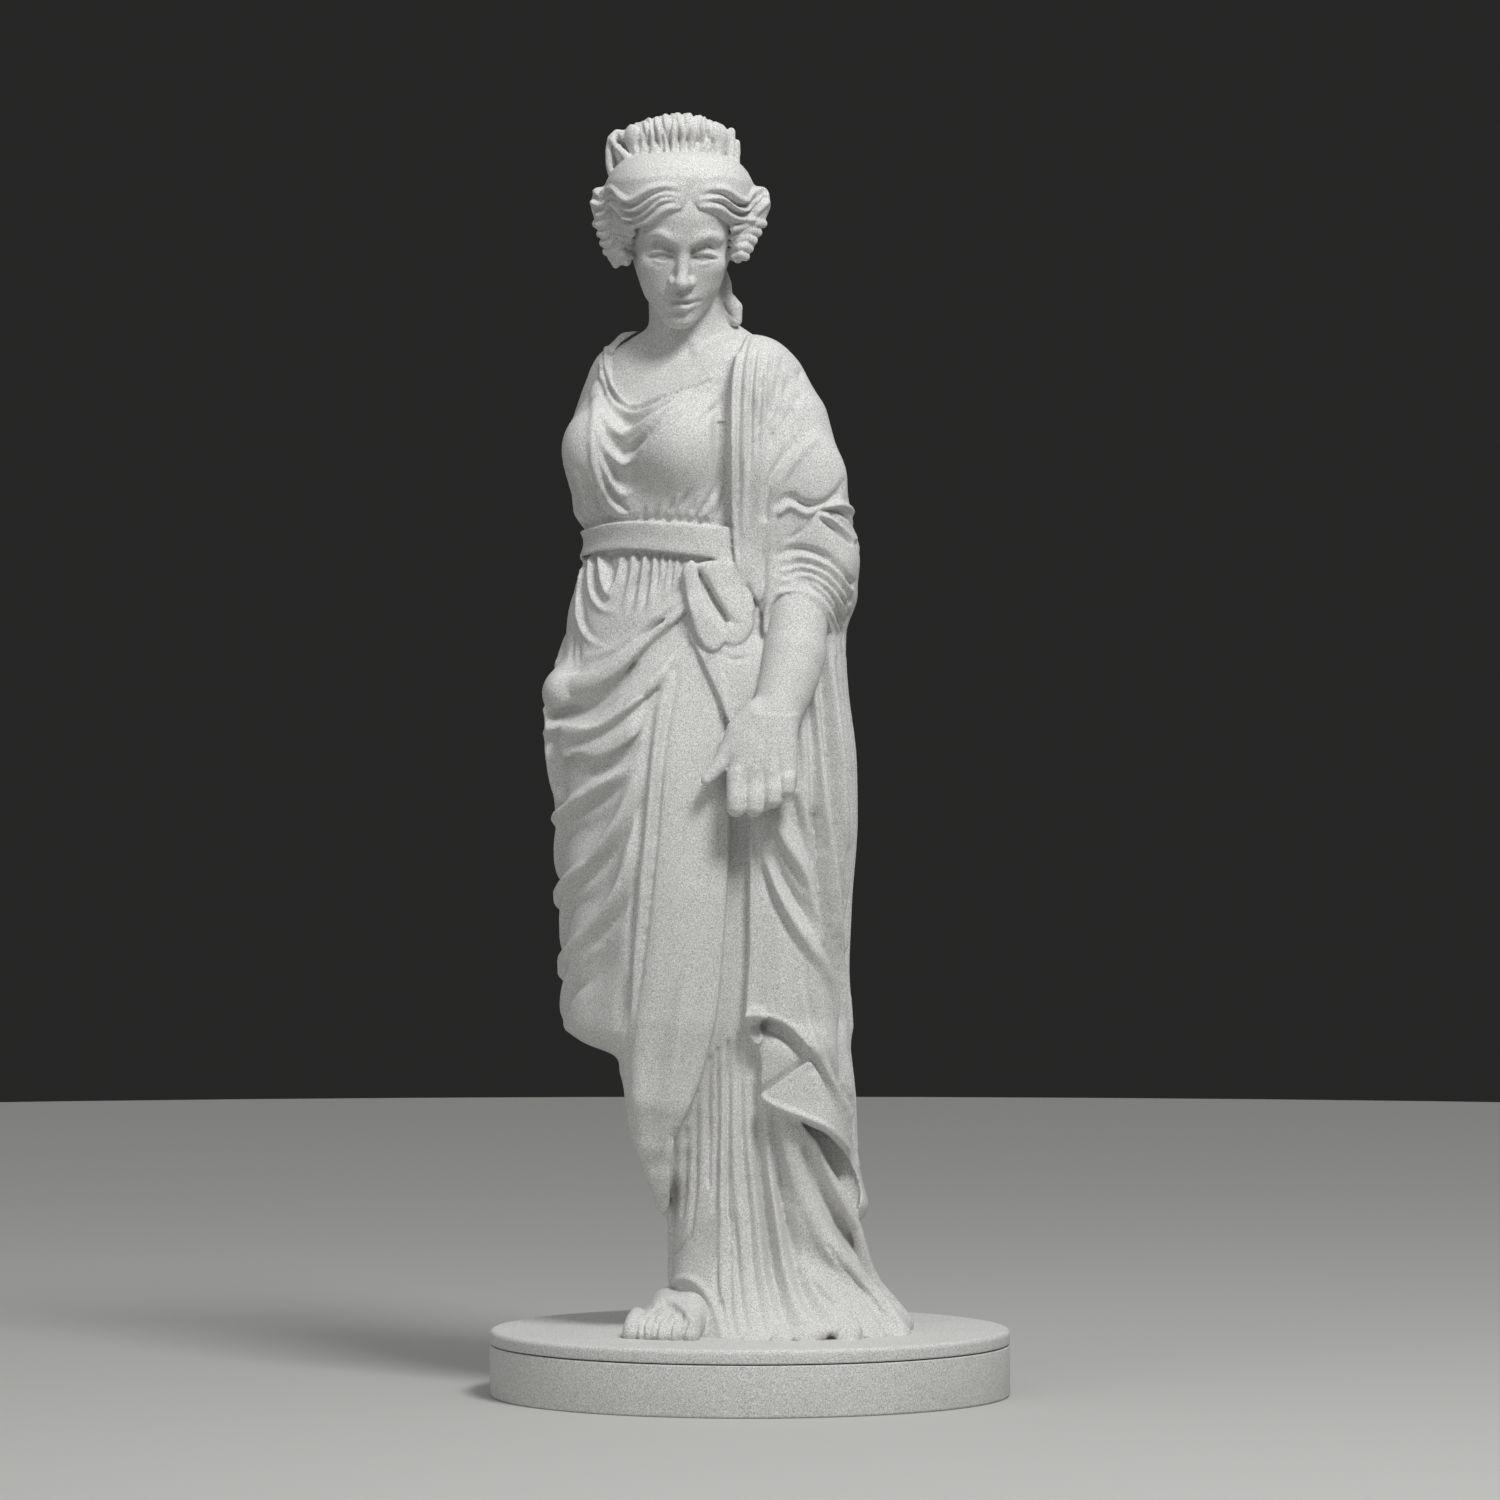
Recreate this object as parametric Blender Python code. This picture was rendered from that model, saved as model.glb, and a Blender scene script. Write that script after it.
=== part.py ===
"""Resin goddess statue on a round plinth: standing figure in a belted tunic and a draped mantle.

Object frame: metres, +Z up, origin at the centre of the plinth's underside, front facing -Y.
The figure is modelled in millimetres as clay: a grid of signed distances to which rounded masses, cloth
layers, ridges and grooves are added, and which is then skinned, thinned to facets and joined to its disc.
"""
import math

import bmesh
import bpy
import numpy as np
from mathutils import Euler

# ---- driving sizes, in metres -------------------------------------------
PLINTH_RADIUS = 0.065
PLINTH_HEIGHT = 0.0165
DISC_THICKNESS = 0.0035
JOINT_GAP = 0.0003
RIM_ROUNDING = 0.0012
PLINTH_SIDES = 72

# ---- the finish: matte pale grey cast resin --------------------------------
RESIN_COLOUR = (0.62, 0.61, 0.59)
RESIN_ROUGHNESS = 0.85

# ---- how finely each mass is modelled (mm), and its facets ----------------
ROBE_STEP = 1.25
HEAD_STEP = 0.9
ARM_STEP = 0.8
FOOT_STEP = 0.8
ROBE_FACETS = 5150
HEAD_FACETS = 2250
ARM_FACETS = 620
FOOT_FACETS = 380


# ---- the drawing plane -------------------------------------------------
# Fronts are laid out on the plane y = 0 as (x, z), in millimetres, and are carried on to the figure along
# sight lines from one eye point far in front of it.
EYE_DISTANCE = 1750.0
EYE_HEIGHT = 161.0
MM = 0.001
FAR = 50.0


def smooth_min(a, b, blend):
    """The union of two distance fields, with a fillet about blend wide."""
    if blend <= 0:
        return np.minimum(a, b)
    overlap = np.maximum(blend - np.abs(a - b), 0) / blend
    return np.minimum(a, b) - overlap * overlap * blend * 0.25


def smooth_max(a, b, blend):
    return -smooth_min(-a, -b, blend)


def curve_at(knots, values, at):
    """Values at the places at, on a smooth curve through values at the rising knots, with no overshoot."""
    knots = np.asarray(knots, float)
    values = np.asarray(values, float)
    flat = values.ndim == 1
    if flat:
        values = values[:, None]
    width = np.diff(knots)[:, None]
    slope = np.diff(values, axis=0) / width
    tangent = np.zeros_like(values)
    tangent[0], tangent[-1] = slope[0], slope[-1]
    same = slope[:-1] * slope[1:] > 0
    total = slope[:-1] + slope[1:]
    tangent[1:-1] = np.where(same, 2 * slope[:-1] * slope[1:] / np.where(same, total, 1), 0)
    at = np.clip(np.asarray(at, float), knots[0], knots[-1])
    i = np.clip(np.searchsorted(knots, at, side="right") - 1, 0, len(knots) - 2)
    t = ((at - knots[i]) / width[i, 0])[..., None]
    made = (
        (2 * t**3 - 3 * t**2 + 1) * values[i]
        + (t**3 - 2 * t**2 + t) * width[i] * tangent[i]
        + (-2 * t**3 + 3 * t**2) * values[i + 1]
        + (t**3 - t**2) * width[i] * tangent[i + 1]
    )
    return made[..., 0] if flat else made


def smooth_path(points, spacing, closed=False):
    """Points spaced along a Catmull-Rom curve through the given ones."""
    p = np.asarray(points, float)
    if len(p) < 2:
        return p
    if closed:
        p = np.vstack([p[-1], p, p[0], p[1]])
    else:
        p = np.vstack([2 * p[0] - p[1], p, 2 * p[-1] - p[-2]])
    out = []
    for a, b, c, d in zip(p[:-3], p[1:-2], p[2:-1], p[3:]):
        count = max(1, int(math.ceil(np.linalg.norm(c - b) / spacing)))
        t = np.arange(count)[:, None] / count
        out.append(
            0.5
            * (2 * b + (c - a) * t + (2 * a - 5 * b + 4 * c - d) * t**2 + (3 * b - a - 3 * c + d) * t**3)
        )
    if not closed:
        out.append(p[-2][None])
    return np.vstack(out)


def turned(angles):
    """The rotation matrix of Euler angles in degrees."""
    return np.array(Euler([math.radians(a) for a in angles]).to_matrix())


class Clay:
    """A block of clay: a grid of signed distances in millimetres, negative inside."""

    def __init__(self, low, high, step):
        self.low = np.array(low, float)
        self.step = step
        count = np.ceil((np.array(high, float) - self.low) / step).astype(int) + 1
        self.field = np.full(count, FAR, np.float32)
        self.smooth = self.field

    def hold(self):
        """Strokes that follow are laid out on the clay as it is now, and don't disturb each other."""
        self.smooth = self.field.copy()

    # -- reading it
    def block(self, low, high):
        """The part of the grid between two corners, with the coordinates along each axis."""
        first = np.clip(np.floor((np.asarray(low) - self.low) / self.step).astype(int), 0, self.field.shape)
        last = np.clip(np.ceil((np.asarray(high) - self.low) / self.step).astype(int) + 1, 0,
                       self.field.shape)
        axes = [
            (self.low[i] + self.step * np.arange(first[i], last[i])).astype(np.float32) for i in range(3)
        ]
        part = tuple(slice(a, b) for a, b in zip(first, last))
        return part, axes[0][:, None, None], axes[1][None, :, None], axes[2][None, None, :]

    def value(self, points):
        """The held field at points, between grid points by proportion."""
        q = (np.asarray(points) - self.low) / self.step
        q = np.clip(q, 0, np.array(self.field.shape) - 1.001)
        i = q.astype(int)
        f = q - i
        total = 0
        for dx in (0, 1):
            for dy in (0, 1):
                for dz in (0, 1):
                    weight = (
                        (f[..., 0] if dx else 1 - f[..., 0])
                        * (f[..., 1] if dy else 1 - f[..., 1])
                        * (f[..., 2] if dz else 1 - f[..., 2])
                    )
                    total = total + weight * self.smooth[i[..., 0] + dx, i[..., 1] + dy, i[..., 2] + dz]
        return total

    def slope(self, points):
        h = self.step
        return np.stack(
            [
                (self.value(points + h * axis) - self.value(points - h * axis)) / (2 * h)
                for axis in np.eye(3)
            ],
            axis=-1,
        )

    def settle(self, points, rounds=3):
        """Points moved on to the surface along the slope of the field."""
        p = np.array(points, float)
        for _ in range(rounds):
            g = self.slope(p)
            size = np.maximum((g * g).sum(-1, keepdims=True), 0.05)
            move = self.value(p)[..., None] * g / size
            far = np.linalg.norm(move, axis=-1, keepdims=True)
            p -= move * np.minimum(1, 3.0 / np.maximum(far, 1e-6))
        return p

    def first_hit(self, starts, directions, reach, missed):
        """Where rays first enter the clay, or missed(index) points where they don't."""
        steps = np.arange(0, reach, self.step * 0.8)
        p = starts[:, None, :] + directions[:, None, :] * steps[None, :, None]
        inside = self.value(p) < 0
        hit = inside.argmax(axis=1)
        found = inside.any(axis=1)
        made = starts + directions * steps[hit][:, None]
        made[~found] = missed(~found)
        return made

    def seen(self, points):
        """Points (x, z) of the drawing plane carried on to the clay along the sight lines."""
        p = np.asarray(points, float)
        near, far = self.low[1], self.low[1] + self.step * (self.field.shape[1] - 1)

        def at_depth(y):
            share = (EYE_DISTANCE + y) / EYE_DISTANCE
            return np.stack([p[:, 0] * share, np.full(len(p), y),
                             EYE_HEIGHT + (p[:, 1] - EYE_HEIGHT) * share], 1)

        start, end = at_depth(near), at_depth(far)
        direction = (end - start) / (far - near)
        return self.first_hit(start, direction, far - near, lambda lost: at_depth(0.0)[lost])

    # -- adding and taking away
    def put(self, shape, blend=0.0, cut=False):
        """Adds a shape, or cuts it away, with a fillet of that size."""
        distance, low, high = shape
        margin = blend + 3 * self.step + 1.0
        part, x, y, z = self.block(np.asarray(low) - margin, np.asarray(high) + margin)
        if 0 in self.field[part].shape:
            return
        d = distance(x, y, z)
        if cut:
            self.field[part] = smooth_max(self.field[part], -d, blend)
        else:
            self.field[part] = smooth_min(self.field[part], d, blend)

    def roll(self, points, radii, sink, blend=1.0):
        """A rounded roll of cloth along a line of the drawing plane, sunk that far into the clay."""
        path = self.settle(self.seen(smooth_path(points, 2.0)))
        inward = self.slope(path)
        path -= inward / np.maximum(np.linalg.norm(inward, axis=1, keepdims=True), 0.2) * sink
        along = np.linspace(0, 1, len(path))
        self.put(limb(path, curve_at([0, 0.5, 1], np.broadcast_to(radii, 3), along)), blend)

    def drawn(self, outline, x, y, z):
        """How far each place lies outside an outline of the drawing plane, seen from the eye point."""
        edge = smooth_path(outline, 1.0, closed=True)
        low, high = edge.min(0) - 12, edge.max(0) + 12
        count = np.ceil((high - low) / 0.5).astype(int) + 2
        gu = (low[0] + 0.5 * np.arange(count[0]))[:, None]
        gv = (low[1] + 0.5 * np.arange(count[1]))[None, :]
        best = np.full(count, 1e9)
        inside = np.zeros(count, bool)
        for a, b in zip(edge, np.roll(edge, -1, axis=0)):
            line = b - a
            t = np.clip(((gu - a[0]) * line[0] + (gv - a[1]) * line[1]) / max(line @ line, 1e-9), 0, 1)
            best = np.minimum(best, (gu - a[0] - t * line[0]) ** 2 + (gv - a[1] - t * line[1]) ** 2)
            if a[1] != b[1]:
                crosses = ((a[1] > gv) != (b[1] > gv)) & (gu < a[0] + (gv - a[1]) * line[0] / line[1])
                inside ^= crosses
        plan = np.where(inside, -1, 1) * np.sqrt(best)
        share = EYE_DISTANCE / (EYE_DISTANCE + y)
        u = np.clip((x * share - low[0]) / 0.5, 0, count[0] - 1.001)
        v = np.clip(((EYE_HEIGHT + (z - EYE_HEIGHT) * share) - low[1]) / 0.5, 0, count[1] - 1.001)
        iu, iv = u.astype(int), v.astype(int)
        fu, fv = u - iu, v - iv
        return (
            plan[iu, iv] * (1 - fu) * (1 - fv) + plan[iu + 1, iv] * fu * (1 - fv)
            + plan[iu, iv + 1] * (1 - fu) * fv + plan[iu + 1, iv + 1] * fu * fv
        ).astype(np.float32)

    def layer(self, outline, thick, back, blend=1.0, edge=0.8, rise=None, run=None, over=False):
        """Lays cloth of that thickness on the front, within an outline of the drawing plane.
        A negative thickness takes that much away. Nothing behind y = back changes. The cloth thins to
        nothing from one height to the other in rise, and from one x to the other in run. Cloth laid over
        the folds is smooth, as it is measured from the clay as it was held."""
        shape = np.asarray(outline, float)
        low = [shape[:, 0].min() - 8, self.low[1], shape[:, 1].min() - 8]
        high = [shape[:, 0].max() + 8, back + 4, shape[:, 1].max() + 8]
        part, x, y, z = self.block(low, high)
        target = self.field[part]
        below = self.smooth[part] if over else target
        out = np.maximum(self.drawn(outline, x, y, z), y - back)
        if rise:
            share = np.clip((z - rise[1]) / (rise[0] - rise[1]), 0, 1)
            thick = thick * share * share * (3 - 2 * share)
        if run:
            share = np.clip((x - run[1]) / (run[0] - run[1]), 0, 1)
            thick = thick * share * share * (3 - 2 * share)
        if np.max(thick) > 0:
            cloth = smooth_max(below - thick, out, edge)
            self.field[part] = smooth_min(target, cloth, blend)
        else:
            taken = smooth_max(-target + thick, out, edge)
            self.field[part] = smooth_max(target, -taken, blend)

    def opening(self, outline, near, far, blend=0.5):
        """Cuts away everything within an outline of the drawing plane, between two depths."""
        shape = np.asarray(outline, float)
        low = [shape[:, 0].min() - 6, near, shape[:, 1].min() - 6]
        high = [shape[:, 0].max() + 6, far + 3, shape[:, 1].max() + 6]
        part, x, y, z = self.block(low, high)
        out = np.maximum(self.drawn(outline, x, y, z), y - far)
        self.field[part] = smooth_max(self.field[part], -out, blend)


# ---- shapes: (distance function, low corner, high corner) ---------------
def ball(centre, radii, angles=(0, 0, 0)):
    c = np.asarray(centre, float)
    r = np.broadcast_to(radii, 3).astype(float)
    m = turned(angles)
    reach = np.abs(m) @ r if any(angles) else r

    def distance(x, y, z):
        dx, dy, dz = x - c[0], y - c[1], z - c[2]
        if any(angles):
            dx, dy, dz = (dx * m[0, i] + dy * m[1, i] + dz * m[2, i] for i in range(3))
        k0 = np.sqrt((dx / r[0]) ** 2 + (dy / r[1]) ** 2 + (dz / r[2]) ** 2)
        k1 = np.sqrt((dx / r[0] ** 2) ** 2 + (dy / r[1] ** 2) ** 2 + (dz / r[2] ** 2) ** 2)
        return (k0 * (k0 - 1) / np.maximum(k1, 1e-6)).astype(np.float32)

    return distance, c - reach, c + reach


def limb(points, radii):
    """A tapered limb through points, with a radius at each."""
    p = np.asarray(points, float)
    r = np.broadcast_to(radii, len(p)).astype(float)

    def distance(x, y, z):
        best = None
        for i in range(len(p) - 1):
            a, line = p[i], p[i + 1] - p[i]
            size = max(float(line @ line), 1e-9)
            t = np.clip(((x - a[0]) * line[0] + (y - a[1]) * line[1] + (z - a[2]) * line[2]) / size, 0, 1)
            px, py, pz = x - a[0] - t * line[0], y - a[1] - t * line[1], z - a[2] - t * line[2]
            d = np.sqrt(px * px + py * py + pz * pz) - (r[i] + (r[i + 1] - r[i]) * t)
            best = d if best is None else np.minimum(best, d)
        return best.astype(np.float32)

    reach = r[:, None]
    return distance, (p - reach).min(0), (p + reach).max(0)


def loft(sections, power=2.2):
    """A body through level sections (z, x centre, y centre, half width, half depth, turn in degrees)."""
    s = np.asarray(sections, float)
    s = s[np.argsort(s[:, 0])]
    bottom, top = s[0, 0], s[-1, 0]
    wide = np.hypot(s[:, 3], s[:, 4]).max()
    levels = np.linspace(bottom, top, 240)
    table = curve_at(s[:, 0], s[:, 1:], levels)

    def distance(x, y, z):
        cx, cy, a, b, turn = (np.interp(z, levels, column).astype(np.float32) for column in table.T)
        cos, sin = np.cos(np.radians(turn)), np.sin(np.radians(turn))
        dx, dy = x - cx, y - cy
        u, v = dx * cos + dy * sin, dy * cos - dx * sin
        q = ((np.abs(u) / a) ** power + (np.abs(v) / b) ** power) ** (1 / power)
        size = np.sqrt(u * u + v * v)
        side = np.where(q > 1e-3, size - size / np.maximum(q, 1e-3), -np.minimum(a, b))
        cap = np.maximum(bottom - z, z - top)
        return np.maximum(side, cap).astype(np.float32)

    low = [s[:, 1].min() - wide, s[:, 2].min() - wide, bottom]
    high = [s[:, 1].max() + wide, s[:, 2].max() + wide, top]
    return distance, low, high


def posed(shape, origin, angles):
    """A shape moved from its own frame to one at origin, turned by Euler angles in degrees."""
    inner, low, high = shape
    o = np.asarray(origin, float)
    m = turned(angles)
    corners = np.array([[(low, high)[i][0], (low, high)[j][1], (low, high)[k][2]]
                        for i in (0, 1) for j in (0, 1) for k in (0, 1)])
    corners = corners @ m.T + o

    def distance(x, y, z):
        dx, dy, dz = x - o[0], y - o[1], z - o[2]
        local = [dx * m[0, i] + dy * m[1, i] + dz * m[2, i] for i in range(3)]
        return inner(*local).astype(np.float32)

    return distance, corners.min(0), corners.max(0)


# ---- from clay to mesh ----------------------------------------------------
def well_composed(field):
    """Fills the single cells where the surface would touch itself."""
    for _ in range(8):
        inside = field < 0
        changed = False
        for axis in range(3):
            others = [i for i in range(3) if i != axis]

            def part(du, dv):
                index = [slice(None)] * 3
                index[others[0]] = slice(1, None) if du else slice(None, -1)
                index[others[1]] = slice(1, None) if dv else slice(None, -1)
                return tuple(index)

            a, b, c, d = inside[part(0, 0)], inside[part(1, 1)], inside[part(0, 1)], inside[part(1, 0)]
            for pair, fill in (((a & b) & ~(c | d), part(0, 1)), ((c & d) & ~(a | b), part(0, 0))):
                if pair.any():
                    view = field[fill]
                    view[pair] = -0.01
                    changed = True
            inside = field < 0
        corner = [
            (slice(1, None) if i & 1 else slice(None, -1), slice(1, None) if i & 2 else slice(None, -1),
             slice(1, None) if i & 4 else slice(None, -1))
            for i in range(8)
        ]
        count = sum(inside[c].astype(np.int8) for c in corner)
        for i in range(4):
            two = (count == 2) & inside[corner[i]] & inside[corner[7 - i]]
            six = (count == 6) & ~inside[corner[i]] & ~inside[corner[7 - i]]
            for found, fill in ((two, corner[i ^ 1]), (six, corner[i])):
                if found.any():
                    view = field[fill]
                    view[found] = -0.01
                    changed = True
        if not changed:
            return


def surface(clay):
    """The clay's skin as (points, quads), by surface nets."""
    field = clay.field
    field[[0, -1]] = np.maximum(field[[0, -1]], 0.5)
    field[:, [0, -1]] = np.maximum(field[:, [0, -1]], 0.5)
    field[:, :, [0, -1]] = np.maximum(field[:, :, [0, -1]], 0.5)
    well_composed(field)
    inside = field < 0
    shape = np.array(field.shape) - 1
    count = np.zeros(shape, np.int8)
    for i in range(8):
        part = tuple(slice(1, None) if i >> k & 1 else slice(None, -1) for k in range(3))
        count += inside[part]
    cells = np.argwhere((count > 0) & (count < 8))
    number = np.full(shape, -1, np.int32)
    number[tuple(cells.T)] = np.arange(len(cells))
    corners = np.stack([field[tuple((cells + [i & 1, i >> 1 & 1, i >> 2 & 1]).T)] for i in range(8)], 1)
    total = np.zeros((len(cells), 3))
    crossings = np.zeros(len(cells))
    for i in range(8):
        for k in range(3):
            j = i | 1 << k
            if j == i:
                continue
            a, b = corners[:, i], corners[:, j]
            cross = (a < 0) != (b < 0)
            t = np.where(cross, a / np.where(cross, a - b, 1), 0)
            point = np.tile([i & 1, i >> 1 & 1, i >> 2 & 1], (len(cells), 1)).astype(float)
            point[:, k] = t
            total += point * cross[:, None]
            crossings += cross
    points = clay.low + clay.step * (cells + total / crossings[:, None])
    quads = []
    for k in range(3):
        a = [slice(1, -1)] * 3
        b = [slice(1, -1)] * 3
        a[k], b[k] = slice(None, -1), slice(1, None)
        first, second = inside[tuple(a)], inside[tuple(b)]
        where = np.argwhere(first != second)
        base = where + 1
        base[:, k] -= 1
        u, v = [i for i in range(3) if i != k]
        if k == 1:
            u, v = v, u
        ring = []
        for du, dv in ((-1, -1), (0, -1), (0, 0), (-1, 0)):
            cell = base.copy()
            cell[:, u] += du
            cell[:, v] += dv
            ring.append(number[tuple(cell.T)])
        ring = np.stack(ring, 1)
        outward = first[tuple(where.T)]
        quads.append(np.where(outward[:, None], ring, ring[:, ::-1]))
    return points, np.vstack(quads)


def mesh_object(name, points, faces):
    """A Blender object from points in millimetres."""
    mesh = bpy.data.meshes.new(name)
    points = np.asarray(points, np.float32) * MM
    faces = np.asarray(faces, np.int32)
    mesh.vertices.add(len(points))
    mesh.vertices.foreach_set("co", points.ravel())
    mesh.loops.add(faces.size)
    mesh.loops.foreach_set("vertex_index", faces.ravel())
    mesh.polygons.add(len(faces))
    mesh.polygons.foreach_set("loop_start", np.arange(len(faces), dtype=np.int32) * faces.shape[1])
    mesh.polygons.foreach_set("loop_total", np.full(len(faces), faces.shape[1], np.int32))
    mesh.update(calc_edges=True)
    mesh.validate()
    made = bpy.data.objects.new(name, mesh)
    bpy.context.scene.collection.objects.link(made)
    return made


def applied(made):
    """The object with its modifiers applied."""
    graph = bpy.context.evaluated_depsgraph_get()
    graph.update()
    mesh = bpy.data.meshes.new_from_object(made.evaluated_get(graph))
    made.modifiers.clear()
    made.data = mesh
    return made


# ---- the robe ---------------------------------------------------------------
def torso_form(inset=0.0):
    """The trunk under the cloth, with its chest turned towards the right shoulder."""
    sections = [
        (266, -14.5, 4.5, 9, 7, -25),
        (262, -15, 4, 19, 9.5, -26),
        (257, -15, 3, 25.5, 12, -28),
        (250, -16, 2, 27, 14.5, -28),
        (240, -19, 1, 27.5, 16, -28),
        (228, -20.5, 1, 26, 16, -28),
        (221, -20.5, 1, 25, 16, -27),
        (213, -17.8, 1, 22.9, 16, -25),
        (205, -18, 1, 25.5, 17, -20),
        (195, -17, 1, 28, 17.5, -16),
        (185, -15.5, 1, 26, 14, -13),
        (172, -14, 1, 16, 8, -10),
    ]
    return loft([(z, x, y, a - inset, b - inset, turn) for z, x, y, a, b, turn in sections])


def robe_masses(clay):
    clay.put(torso_form())
    # hips, thighs and the mantle round them
    clay.put(loft([
        (206, -16, 1, 16, 9, -16),
        (198, -16, 1, 27, 16.5, -16),
        (187, -14.5, 1, 32.3, 19.8, -13),
        (176, -13.5, 1, 35, 21.5, -10),
        (160, -12.5, 1, 35.8, 22, -6),
        (148, -11.6, 1.5, 34.4, 22, -4),
        (135, -11.2, 1.8, 33.7, 22, -2),
        (120, -10.6, 2, 33.2, 21.5, 0),
        (107, -10.2, 2.2, 32.9, 21, 0),
        (98, -9.9, 2.5, 33.5, 20.5, 0),
        (92, -9.8, 2.5, 34, 19.5, 0),
        (88, -8.4, 2.5, 30.6, 18.5, 0),
        (83, -4.4, 2.5, 22.8, 17, 0),
        (77, -3.2, 2.5, 21.6, 15, 0),
        (68, -3, 2, 12, 9, 0),
    ]), 5)
    # the long tunic down to the plinth, spreading towards the left heel
    clay.put(loft([
        (125, -3, 1, 10, 8, 0),
        (100, -1, 1, 20, 15, 0),
        (75, 1.5, 1, 22, 17.5, 0),
        (58, 2.5, 0.5, 22.5, 17.5, 0),
        (45, 3.4, 0, 23, 18, 0),
        (36, 4.3, -0.5, 23.8, 18.6, 0),
        (29, 5.8, -1.6, 25.2, 20, 0),
        (23.5, 8.4, -3.2, 26.8, 22.4, 0),
        (19, 9.8, -5.2, 29.6, 25.6, 0),
        (15.5, 10.2, -6.8, 30, 28, 0),
        (13, 10.2, -7, 30, 28.4, 0),
    ]), 3)
    # two round folds that run down to the left heel
    clay.put(limb([(9.6, -16.4, 66), (10.2, -16.2, 60), (11.8, -15.4, 54), (14, -15, 48), (17, -14.6, 42),
                   (20.6, -15, 36.5), (24.8, -13.6, 31), (29, -12.8, 26), (33, -14.8, 20.5),
                   (36, -17.4, 15.5)],
                  (2.2, 2.3, 2.5, 2.7, 2.8, 2.9, 3, 3.4, 3.8, 4.2)), 1)
    # shoulders and bust
    clay.put(ball((-28.4, 8.5, 254), (8.8, 9.5, 9.2)), 6)
    clay.put(limb([(-24.4, 6, 263.2), (-30.4, 6, 262), (-34, 8, 257)], (3.3, 3.9, 4.4)), 2.5)
    clay.put(ball((-1, -4, 251.5), (12.4, 11.6, 12)), 6)
    clay.put(ball((-37, -5, 235.6), (10, 9.5, 11), (0, -8, -20)), 7)
    clay.put(ball((-16.5, -13.5, 236.5), (11.5, 9.5, 11.5), (0, 8, 0)), 6)
    # the right arm, carried behind the back under the cloth
    clay.put(limb([(-30.6, 10, 252), (-37, 15.5, 235), (-34.4, 20, 217), (-29, 24, 206), (-14, 25, 200)],
                  (7.8, 8.3, 7.0, 7.5, 6.5)), 6)
    # the left upper arm under the mantle
    clay.put(limb([(3.4, -7, 250), (9, -9, 242), (11.5, -10, 232), (15, -10, 217), (17.2, -10, 208),
                   (15.6, -13, 200)], (10.6, 10.5, 10.6, 10.5, 9.8, 9)), 4)
    clay.put(limb([(1, -5, 249), (3, -7, 235), (6, -8, 220), (8, -8, 204)], (9, 9, 8.5, 8)), 8)
    clay.put(ball((14.6, -16.4, 229.4), (8.6, 4, 7.4), (0, 20, 0)), 6)
    # the right thigh and shin press forward under the mantle
    clay.put(limb([(-18, -3, 172), (-16.5, -9, 125), (-18, -10, 95), (-20.6, -10, 76), (-21.6, -9, 65),
                   (-21.2, -8.5, 58)], (15, 13.5, 11.5, 8.9, 6.4, 4.2)), 8)
    clay.put(limb([(-21.6, -8.5, 60), (-22.4, -8.5, 53), (-22.2, -8.5, 49.6)], (4, 2.4, 1)), 2)
    # the mantle that hangs from the left arm
    clay.put(loft([
        (214, 16, 0, 10, 12, 0),
        (200, 16, 1, 10.5, 15, 0),
        (190, 13.3, 1, 10.2, 17, 0),
        (177, 12.8, 1, 10.6, 19, 0),
        (160, 14.3, 1, 10.8, 20, 0),
        (145, 14.8, 1, 10.7, 21, 0),
        (120, 12.7, 1, 10.7, 21, 0),
        (106, 12, 1, 10.5, 20.8, 0),
        (95, 11.9, 1, 10.7, 20.5, 0),
        (75, 13.9, 0.5, 10.8, 19, 0),
        (66, 14.4, 0, 10.6, 18.4, 0),
        (60, 15, 0, 10.8, 17.4, 0),
        (56, 16.4, 0, 10.8, 16.4, 0),
        (51.5, 18, 0, 10.6, 15, 0),
        (48, 19.4, 0, 10.2, 13.4, 0),
        (44.5, 20.6, 0, 8, 11, 0),
    ], 3.3), 4)


# the panel of mantle that hangs straight over the right leg
PANEL = [(-12.5, 192), (-8.5, 180), (-6, 165), (-5, 143.3), (-5.5, 131.8), (-6.1, 120.4), (-7, 109),
         (-8.1, 97), (-9.9, 88), (-12.3, 78.8), (-15, 71.8), (-18, 65.5), (-19.4, 60), (-20, 54),
         (-20.2, 47.4), (-21, 45.4), (-22.4, 46.8), (-24.2, 49.8), (-25.8, 53.6), (-27, 57.4),
         (-28.8, 61.4), (-30.6, 67), (-31.6, 76.4), (-33, 80.2), (-37, 83.2), (-41.4, 86.4), (-46, 90.4),
         (-54, 93), (-54, 170), (-40, 192)]

# the fold of mantle that falls from the left hand
FALL = [(6, 178), (1, 165), (-0.1, 150), (-0.1, 130), (-0.3, 110), (-0.9, 94), (3, 93.2), (7, 92.8),
        (10.5, 90.8), (14, 87.4), (17.5, 83), (21, 77.6), (25, 70.5), (32, 66), (36, 110), (30, 178)]

# the lower turn of the same fold, nearer the body
TURN = [(3, 96), (2.8, 82), (2.6, 74), (6, 71.8), (11, 69.4), (17.1, 66.8), (21.8, 63.2), (25.2, 59.8),
        (28, 55.4), (33, 50), (36, 70), (30, 96)]

# the mantle over the left shoulder, with its straight border down the front
MANTLE = [(3, 276), (0.4, 267), (-2, 263.6), (-3.6, 260), (-4.4, 256), (-4.8, 250), (-4.9, 240),
          (-4.7, 230), (-4.3, 222), (-3.9, 214), (-3.3, 207.6), (-1.5, 203.8), (0.4, 200.4), (3, 195),
          (6, 188), (30, 188), (36, 230), (30, 262), (14, 276)]

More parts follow.
